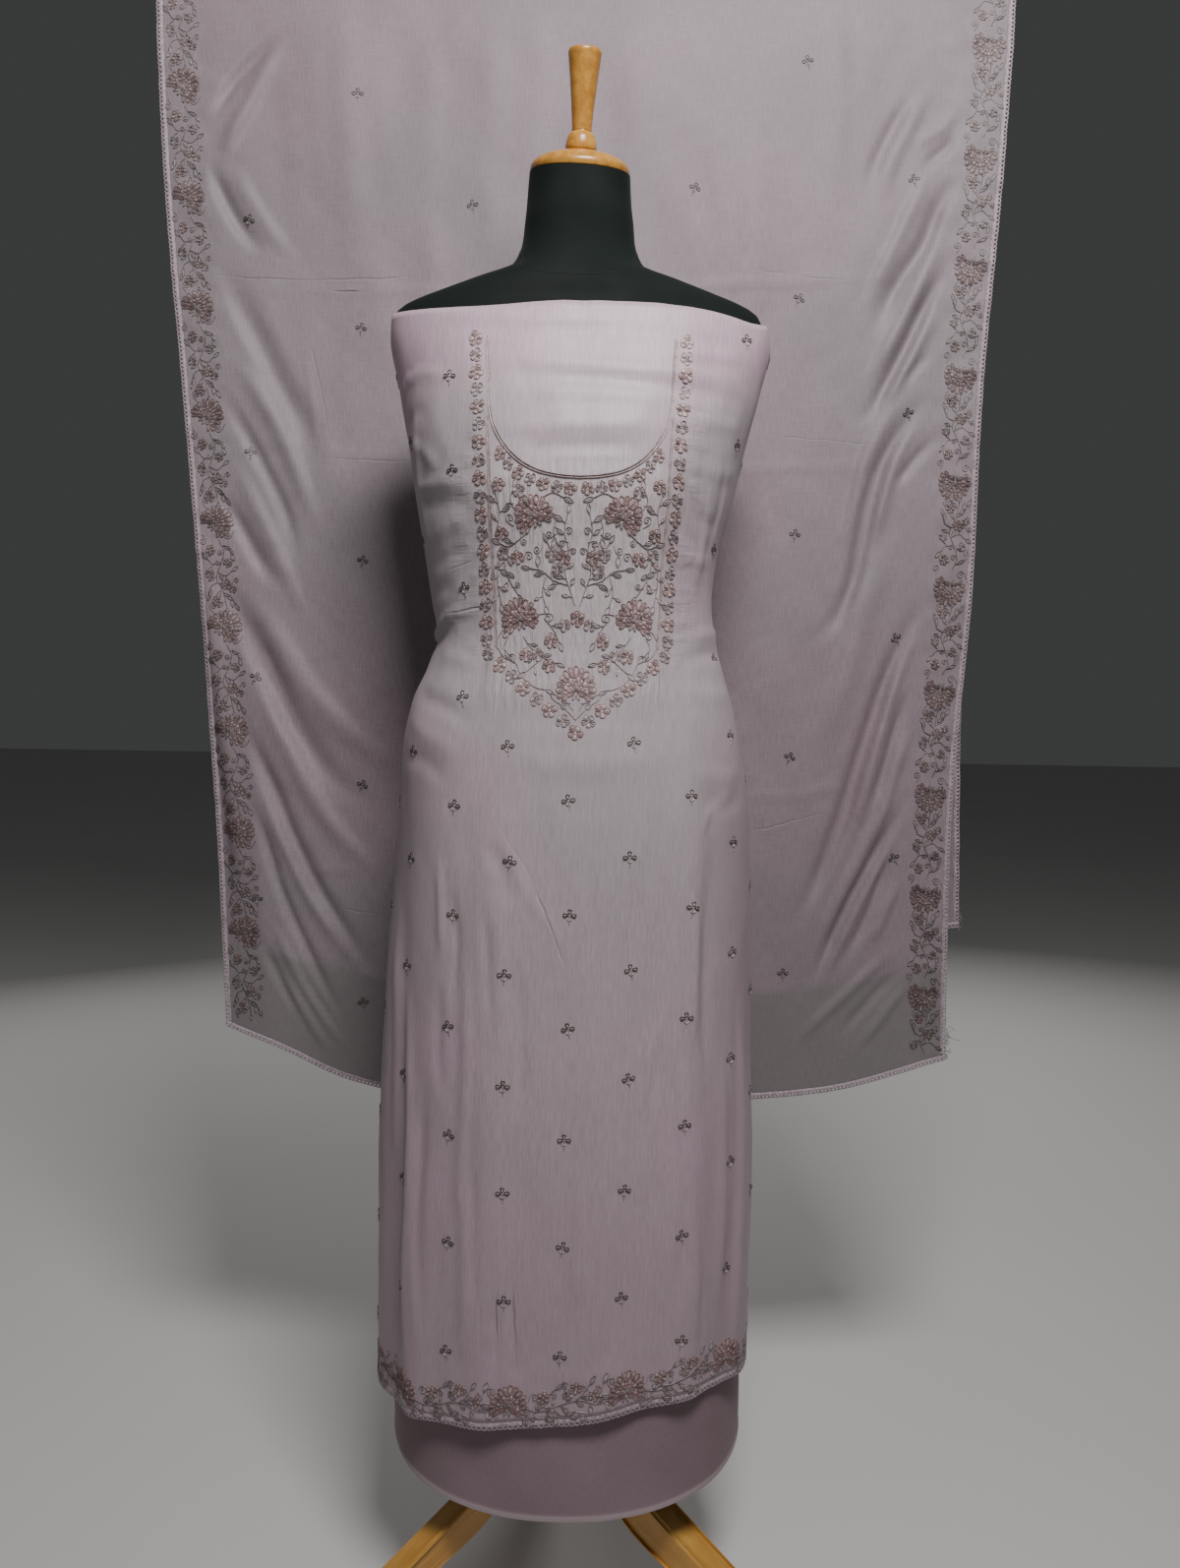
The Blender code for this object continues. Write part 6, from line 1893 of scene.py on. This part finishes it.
top_width = FRONT_SIDES[0].right - FRONT_SIDES[0].left
edge_share = LACE_WIDTH / top_width
full_run = FRONT_DROP + OVER + BACK_DROP
EDGE_TURN = 0.0007
runs = np.concatenate([
    [LACE_WIDTH], np.linspace(LACE_WIDTH + EDGE_TURN, FRONT_DROP, FRONT_ROWS, endpoint=False),
    np.linspace(FRONT_DROP, FRONT_DROP + OVER, OVER_ROWS, endpoint=False),
    np.linspace(FRONT_DROP + OVER, full_run - LACE_WIDTH - EDGE_TURN, BACK_ROWS),
    [full_run - LACE_WIDTH],
])[:, None]
shares = np.concatenate([
    [edge_share], np.linspace(edge_share + EDGE_TURN, SIDE_SHARE, SIDE_COLUMNS, endpoint=False),
    np.linspace(SIDE_SHARE, 1 - SIDE_SHARE, MIDDLE_COLUMNS, endpoint=False),
    np.linspace(1 - SIDE_SHARE, 1 - edge_share - EDGE_TURN, SIDE_COLUMNS + 1), [1 - edge_share],
])[None]
dupatta_points = dupatta_place(shares, runs)
dupatta_flat = np.stack([(shares - 0.5) * top_width + 0 * runs, runs + 0 * shares], axis=-1)
dupatta = sheet_mesh("dupatta_stole", dupatta_points, dupatta_flat, SHOWN_WALL)

SILK_PINK, SILK_GREY = (0.288, 0.222, 0.252, 1), (0.246, 0.213, 0.226, 1)
SILK_DEEP, SILK_ALONE = (0.158, 0.119, 0.138, 1), (0.180, 0.172, 0.168, 1)
ALONE_BELOW, ALONE_BLUR, ALONE_SHARE = 0.034, 0.004, 0.75
DUPATTA_WEAVE, DUPATTA_RIBS, DUPATTA_GLOSS = (620.0, 60.0), (40.0, 560.0), 0.06
# Painted shade: darker towards the top, over the rod and down the back layer, at the lower left
# border and over the lower right.
DUPATTA_SHADE_BANDS = [
    ShadeBand(-2.0, -1.0, 0.70, 1.15, 0.30), ShadeBand(-0.424, -0.442, 0.60, 0.30, 0.55),
    ShadeBand(0.10, 0.30, 0.90, 0.60, 0.22),
]
# Sharp creases: each is bumped, and shade is painted along it in the colour.
DUPATTA_PRESSED = [
    PressedLine((-0.470, 0.948), (-0.180, 0.976), 0.0018, 0.45),
    PressedLine((-0.300, 0.951), (-0.262, 0.954), 0.0017, 0.9),
    PressedLine((-0.330, 0.757), (-0.200, 0.765), 0.0018, 0.45),
    PressedLine((-0.330, 0.905), (-0.305, 0.760), 0.0014, 0.35),
    PressedLine((0.200, 0.986), (0.330, 0.972), 0.0016, 0.30),
    PressedLine((0.230, 0.798), (0.370, 0.784), 0.0016, 0.25),
    PressedLine((0.215, 0.330), (0.330, 0.352), 0.0016, 0.30),
    PressedLine((-0.330, 0.215), (-0.230, 0.222), 0.0015, 0.25),
]
hangs_in_front = dupatta_points[..., 1] < ROD_Y
back_hem = smooth_values(dupatta_points[..., 0], column(BACK_HEM, "x"), column(BACK_HEM, "z"))
below_back = back_hem - ALONE_BELOW - dupatta_points[..., 2]
hangs_alone = np.where(hangs_in_front, smooth_step(-ALONE_BLUR, ALONE_BLUR, below_back), 0.0)
mark_points(dupatta, "one_layer", hangs_alone * ALONE_SHARE)
dupatta.data.materials.append(
    satin_material("dupatta_silk_tissue", SILK_PINK, SILK_GREY, SILK_DEEP, DUPATTA_WEAVE,
                   DUPATTA_RIBS, DUPATTA_GLOSS, DUPATTA_PRESSED, DUPATTA_SHADE_BANDS,
                   single=SILK_ALONE))
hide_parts("dupatta_front", "dupatta_over_rod", "dupatta_back")
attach(dupatta, "root")


SLOPE_STEP = 0.0015


def on_layer(layer):
    """Gives the place of a point (x, z, lift) on a layer; x is seen from its own face."""
    def place_on(x, z, lift):
        x = -layer.facing * np.asarray(x, float)
        z, step = np.asarray(z, float), SLOPE_STEP
        relief = layer_relief(layer, x, z)
        slope_x = (layer_relief(layer, x + step, z) - relief) / step
        slope_z = (layer_relief(layer, x, z + step) - relief) / step
        normal = np.stack([-layer.facing * slope_x, 1 + 0 * x, -layer.facing * slope_z], axis=-1)
        normal *= layer.facing / np.linalg.norm(normal, axis=-1, keepdims=True)
        flat = np.stack([x, ROD_Y + layer.facing * (BEND + relief), z], axis=-1)
        return flat + normal * (SHOWN_WALL / 2 + np.asarray(lift, float))[..., None]
    return place_on


on_front, on_back = on_layer(FRONT), on_layer(BACK)

# ---------------------------------------------------------------- dupatta: crochet edging
# The same crochet edging as the kameez's, sewn down both long sides, over the rod too, and
# along both hems. It bends and hangs with the cloth.
def side_edging(left):
    """Places on the edging down one side, from the front hem over the rod to the back hem."""
    def on_edge(along, out, lift):
        inset = (LACE_WIDTH - out) / top_width
        share = inset if left else 1 - inset
        run = LACE_WIDTH + (along if not left else full_run - 2 * LACE_WIDTH - along)
        places = dupatta_place(share, run)
        outward = np.where(run < FRONT_DROP, -1.0, 1.0)
        places[..., 1] += outward * lift
        return places
    return on_edge


def hem_edging(front):
    def on_edge(along, out, lift):
        share = along / top_width
        share = share if front else 1 - share
        run = LACE_WIDTH - out if front else full_run - LACE_WIDTH + out
        places = dupatta_place(share, run)
        places[..., 1] += (-1.0 if front else 1.0) * lift
        return places
    return on_edge


side_length = full_run - 2 * LACE_WIDTH
dupatta_lace = [
    crochet("dupatta_crochet_left", side_length, side_edging(True),
            ["lace_front_left", "lace_back_left"]),
    crochet("dupatta_crochet_right", side_length, side_edging(False),
            ["lace_front_right", "lace_back_right"]),
    crochet("dupatta_crochet_front_hem", top_width, hem_edging(True), ["lace_front_hem"]),
    crochet("dupatta_crochet_back_hem", top_width, hem_edging(False), ["lace_back_hem"]),
]

# ---------------------------------------------------------------- dupatta: borders and sprigs
# The same spray and vine worked down both sides in a narrower border, and sprigs strewn in
# a half-drop repeat between the borders.
BORDER_PITCH, BORDER_IN, BORDER_SIZE, SLOPE_OVER = 0.1215, 0.0275, 0.97, 0.06
BORDER_VINES = [
    [(0.0010, -0.0180), (0.0055, -0.0320), (0.0005, -0.0480), (-0.0055, -0.0630),
     (0.0005, -0.0790), (0.0035, -0.0990)],
    [(0.0040, -0.0250), (0.0110, -0.0265), (0.0145, -0.0350)],
    [(0.0015, -0.0450), (-0.0090, -0.0465), (-0.0140, -0.0400)],
    [(-0.0030, -0.0570), (0.0070, -0.0610), (0.0135, -0.0560)],
    [(-0.0045, -0.0690), (-0.0125, -0.0735), (-0.0145, -0.0820)],
    [(0.0010, -0.0810), (0.0090, -0.0850), (0.0135, -0.0940)],
]
BorderSpot = namedtuple("BorderSpot", "x y kind turn size")
BORDER_SPOTS = [
    BorderSpot(-0.0095, -0.0300, FLOWER_ROSE, 20, 0.95),
    BorderSpot(0.0100, -0.0460, FLOWER_MAUVE, 50, 0.90),
    BorderSpot(-0.0125, -0.0575, FLOWER_MAUVE, 5, 0.90),
    BorderSpot(0.0050, -0.0715, FLOWER_ROSE, 80, 1.0),
    BorderSpot(-0.0070, -0.0910, FLOWER_ROSE, 35, 0.90),
    BorderSpot(0.0130, -0.0770, FLOWER_MAUVE, 15, 0.80),
    BorderSpot(-0.0150, -0.0170, CURL, 150, 0.9),
    BorderSpot(0.0160, -0.0150, CURL, -150, 1.0),
    BorderSpot(0.0155, -0.0660, CURL_SMALL, 30, 0.9),
    BorderSpot(-0.0150, -0.0990, CURL, -30, 0.9),
]
WHOLE_REPEAT, SHORT_REPEAT, TAIL_STARTS = 0.11, 0.062, 0.048
BORDER_SEED, BORDER_LEAF_GAP = 90, 0.0078


def border_repeat(fan_turn, fan_x, reach=WHOLE_REPEAT, start=0.0):
    """One repeat of the side border, running down from a spray at the origin: leafy stems
    with flowers and tendrils between them, from start as far as reach."""
    work = stitching()
    if not start:
        place(work, FAN, fan_x, 0.0010, fan_turn, 1.06)
    for i, path in enumerate(BORDER_VINES):
        kept = [point for point in path if -reach < point[1] < 0.002 - start]
        if len(kept) > 2:
            draw = random.Random(BORDER_SEED + i)
            add_vine(work, kept, draw, BORDER_LEAF_GAP, 1 if i % 2 else -1)
    for spot in BORDER_SPOTS:
        if -reach < spot.y <= -start:
            place(work, spot.kind, spot.x, spot.y, spot.turn, spot.size)
    return work


DOWN_BORDER, UP_BORDER = border_repeat(46, -0.003), border_repeat(-8, 0.0)
SHORT_BORDER = border_repeat(-8, 0.0, SHORT_REPEAT)
SHORT_DOWN = border_repeat(46, -0.003, SHORT_REPEAT)
TAIL_BORDER = border_repeat(0, 0.0, WHOLE_REPEAT, TAIL_STARTS)


def border_down(work, layer, left, first_z, last_z, upward=False, topmost=None, lowest=None):
    """Lays repeats down one side of a layer, each turned with the edge's slope; a short one
    can stand for the topmost, where the next would run over the rod, and for the lowest."""
    z = first_z
    while z > last_z - (BORDER_PITCH if lowest else 0.0):
        edge = side_x(layer.sides, np.array([z, z - SLOPE_OVER]), 0.0 if left else 1.0)
        slope = math.degrees(math.atan((edge[0] - edge[1]) / SLOPE_OVER))
        x = edge[0] + (BORDER_IN if left else -BORDER_IN)
        side = 1 if left else -1
        if layer.facing > 0:
            x, slope, side = -x, -slope, -side
        kind = topmost if topmost and z == first_z else UP_BORDER if upward else DOWN_BORDER
        kind = lowest if z <= last_z else kind
        place(work, kind, x, z, slope + (180 if upward else 0), BORDER_SIZE, side)
        z -= BORDER_PITCH


front_borders, back_borders = stitching(), stitching()
border_down(front_borders, FRONT, True, 1.7545, 0.650)
border_down(front_borders, FRONT, False, 1.698, 0.590, True, SHORT_BORDER, TAIL_BORDER)
border_down(back_borders, BACK, True, 1.745, 0.780, lowest=SHORT_DOWN)
border_down(back_borders, BACK, False, 1.715, 0.740, True, SHORT_BORDER)
# The dupatta's threads are the kameez's darkened to 0.46: painted shade.
SHADED_SILK_THREADS = thread_set("dupatta_", 0.46)
dupatta_front_border = sew("dupatta_front_border", front_borders, on_front, SHADED_SILK_THREADS)
dupatta_back_border = sew("dupatta_back_border", back_borders, on_back, SHADED_SILK_THREADS)

DUPATTA_SPRIG_ACROSS, DUPATTA_SPRIG_UP, DUPATTA_SPRIG_RISE = 0.1270, 0.2620, 0.080
DUPATTA_SPRIG_SWAY, SPRIG_CLEAR_OF_ROD = 0.004, 0.03
draw = random.Random(33)


def strewn(first_z, last_z):
    """Sprigs in a half-drop repeat on one layer, between its borders."""
    work = stitching()
    for step in range(-3, 4):
        z = first_z - (0.5 * DUPATTA_SPRIG_UP if step % 2 else 0.0)
        while z > last_z + (0.05 if abs(step) < 3 else 0.03):
            x = step * DUPATTA_SPRIG_ACROSS + draw.uniform(-DUPATTA_SPRIG_SWAY, DUPATTA_SPRIG_SWAY)
            up = z + DUPATTA_SPRIG_RISE * x + draw.uniform(-DUPATTA_SPRIG_SWAY, DUPATTA_SPRIG_SWAY)
            if up < ROD_Z - SPRIG_CLEAR_OF_ROD:
                place(work, SPRIG, x, up, draw.uniform(-30, 30), 1.0, draw.choice((-1, 1)))
            z -= DUPATTA_SPRIG_UP
    return work


dupatta_sprigs = [sew("dupatta_front_sprigs", strewn(1.652, 0.505), on_front, SHADED_SILK_THREADS),
                  sew("dupatta_back_sprigs", strewn(1.652, 0.690), on_back, SHADED_SILK_THREADS)]

# ---------------------------------------------------------------- dupatta: threads worked loose
# Fine ends fray out of the crochet at the lower right corners, and a few longer threads lie
# curled on the cloth or stick out below the hem.
LOOSE_WIDTH, LOOSE_RISE = 0.00055, 0.00035
LOOSE_THREADS = [
    [(0.3905, 0.5690), (0.3915, 0.5600), (0.3950, 0.5520), (0.3975, 0.5475)],
    [(0.3190, 0.5175), (0.3290, 0.5215), (0.3400, 0.5205), (0.3450, 0.5160)],
    [(0.2900, 0.5120), (0.2925, 0.5080), (0.2915, 0.5050)],
    [(0.3440, 0.5030), (0.3480, 0.4990), (0.3530, 0.4955)],
    [(0.3160, 0.4925), (0.3200, 0.4895), (0.3235, 0.4850)],
    [(0.4590, 0.5630), (0.4640, 0.5600), (0.4665, 0.5570)],
    [(0.4570, 0.5530), (0.4640, 0.5470), (0.4740, 0.5450)],
    [(-0.1320, 0.4790), (-0.1280, 0.4840), (-0.1215, 0.4850), (-0.1180, 0.4820)],
]
FrayedEdge = namedtuple("FrayedEdge", "layer low high count seen")
FRAYED = [FrayedEdge(FRONT, 0.524, 0.572, 30, 1), FrayedEdge(BACK, 0.672, 0.700, 16, -1)]


def loose_ends(layer):
    """Threads of one layer: the long curled ones, then short hairs along its frayed edge."""
    work, draw = stitching(), random.Random(57)
    if layer is FRONT:
        for path in LOOSE_THREADS:
            add_cord(work, curve_through(path, 0.0012), PALE, LOOSE_WIDTH, LOOSE_RISE)
    for edge in [edge for edge in FRAYED if edge.layer is layer]:
        for _ in range(edge.count):
            z = draw.uniform(edge.low, edge.high)
            x = float(side_x(layer.sides, z, 1.0)) * edge.seen
            x += draw.uniform(-0.0025, 0.0010) * edge.seen
            lean, length = draw.uniform(-1.3, 0.9), draw.uniform(0.0030, 0.0075)
            path, step, bend = [(x, z)], length / 2, draw.uniform(-0.9, 0.9)
            for turn in (lean, lean + bend):
                x, z = path[-1]
                path.append((x + edge.seen * step * math.cos(turn), z + step * math.sin(turn)))
            tone = BLUSH if draw.random() < 0.5 else PALE
            add_cord(work, curve_through(path, 0.0010), tone, LOOSE_WIDTH, LOOSE_RISE)
    return work


dupatta_loose = [sew("dupatta_front_loose_threads", loose_ends(FRONT), on_front, SHADED_SILK_THREADS),
                 sew("dupatta_back_loose_threads", loose_ends(BACK), on_back, SHADED_SILK_THREADS)]

# ---------------------------------------------------------------- studio
# A wide sheet of pale paper for a floor, a dim even sky, and soft boxes above, to the left
# and behind. The camera stands in front at waist height and looks a little down.
FLOOR_HALF = 14.0
PAPER_DARK, PAPER_LIGHT = (0.56, 0.555, 0.545, 1), (0.60, 0.595, 0.585, 1)
SKY_COLOUR, SKY_STRENGTH = (0.88, 0.90, 0.90, 1), 0.055
floor_mesh = bpy.data.meshes.new("studio_floor")
floor_mesh.from_pydata([(-FLOOR_HALF, -FLOOR_HALF, 0), (FLOOR_HALF, -FLOOR_HALF, 0),
                        (FLOOR_HALF, FLOOR_HALF, 0), (-FLOOR_HALF, FLOOR_HALF, 0)],
                       [], [(0, 1, 2, 3)])
studio_floor = placed("studio_floor", floor_mesh)
paper, tree, shader = new_material("floor_paper")
cloudy = noise(tree, piece_place(tree), 1.5, 2.0)
feed(tree, shader, {"Base Color": mix_colour(tree, cloudy, PAPER_DARK, PAPER_LIGHT),
                    "Roughness": 0.85})
studio_floor.data.materials.append(paper)

world = bpy.data.worlds.new("studio_light")
world.use_nodes = True
feed(world.node_tree, world.node_tree.nodes["Background"],
     {"Color": SKY_COLOUR, "Strength": SKY_STRENGTH})
bpy.context.scene.world = world


def soft_light(name, place, aim, size, power, colour=(1.0, 0.98, 0.97)):
    """A large soft box at a place, turned to face a point."""
    light = bpy.data.lights.new(name, "AREA")
    light.shape = "RECTANGLE"
    light.size, light.size_y = size
    light.energy = power
    light.color = colour
    lamp = placed(name, light)
    lamp.location = place
    lamp.rotation_euler = (Vector(aim) - Vector(place)).to_track_quat("-Z", "Y").to_euler()


soft_light("overhead", (0.26, -1.10, 2.31), (-0.02, 0.0, 0.92), (0.6, 0.45), 40.0)
soft_light("fill_left", (-1.9, -1.9, 1.7), (-0.3, 0.1, 1.1), (1.2, 1.6), 2.0, (0.95, 0.98, 1.0))
soft_light("behind_right", (1.1, 2.6, 1.9), (0.1, 0.15, 1.0), (1.4, 1.2), 26.0)
soft_light("behind_left", (-1.5, 2.3, 1.3), (-0.1, 0.15, 0.8), (1.2, 1.2), 9.0)

CAMERA_PLACE = (0.020, -1.291, 0.970)
CAMERA_TILT_DEG, CAMERA_ROLL_DEG = 85.1, 0.93
LENS, FILM_HEIGHT, NEAREST_SEEN = 27.1, 36.0, 0.05
camera = placed("camera", bpy.data.cameras.new("camera"))
turn = Matrix.Rotation(math.radians(CAMERA_TILT_DEG), 4, "X")
roll = Matrix.Rotation(math.radians(CAMERA_ROLL_DEG), 4, "Z")
camera.matrix_world = Matrix.Translation(CAMERA_PLACE) @ turn @ roll
camera.data.sensor_fit = "VERTICAL"
camera.data.sensor_height = FILM_HEIGHT
camera.data.lens = LENS
camera.data.clip_start = NEAREST_SEEN
bpy.context.scene.camera = camera
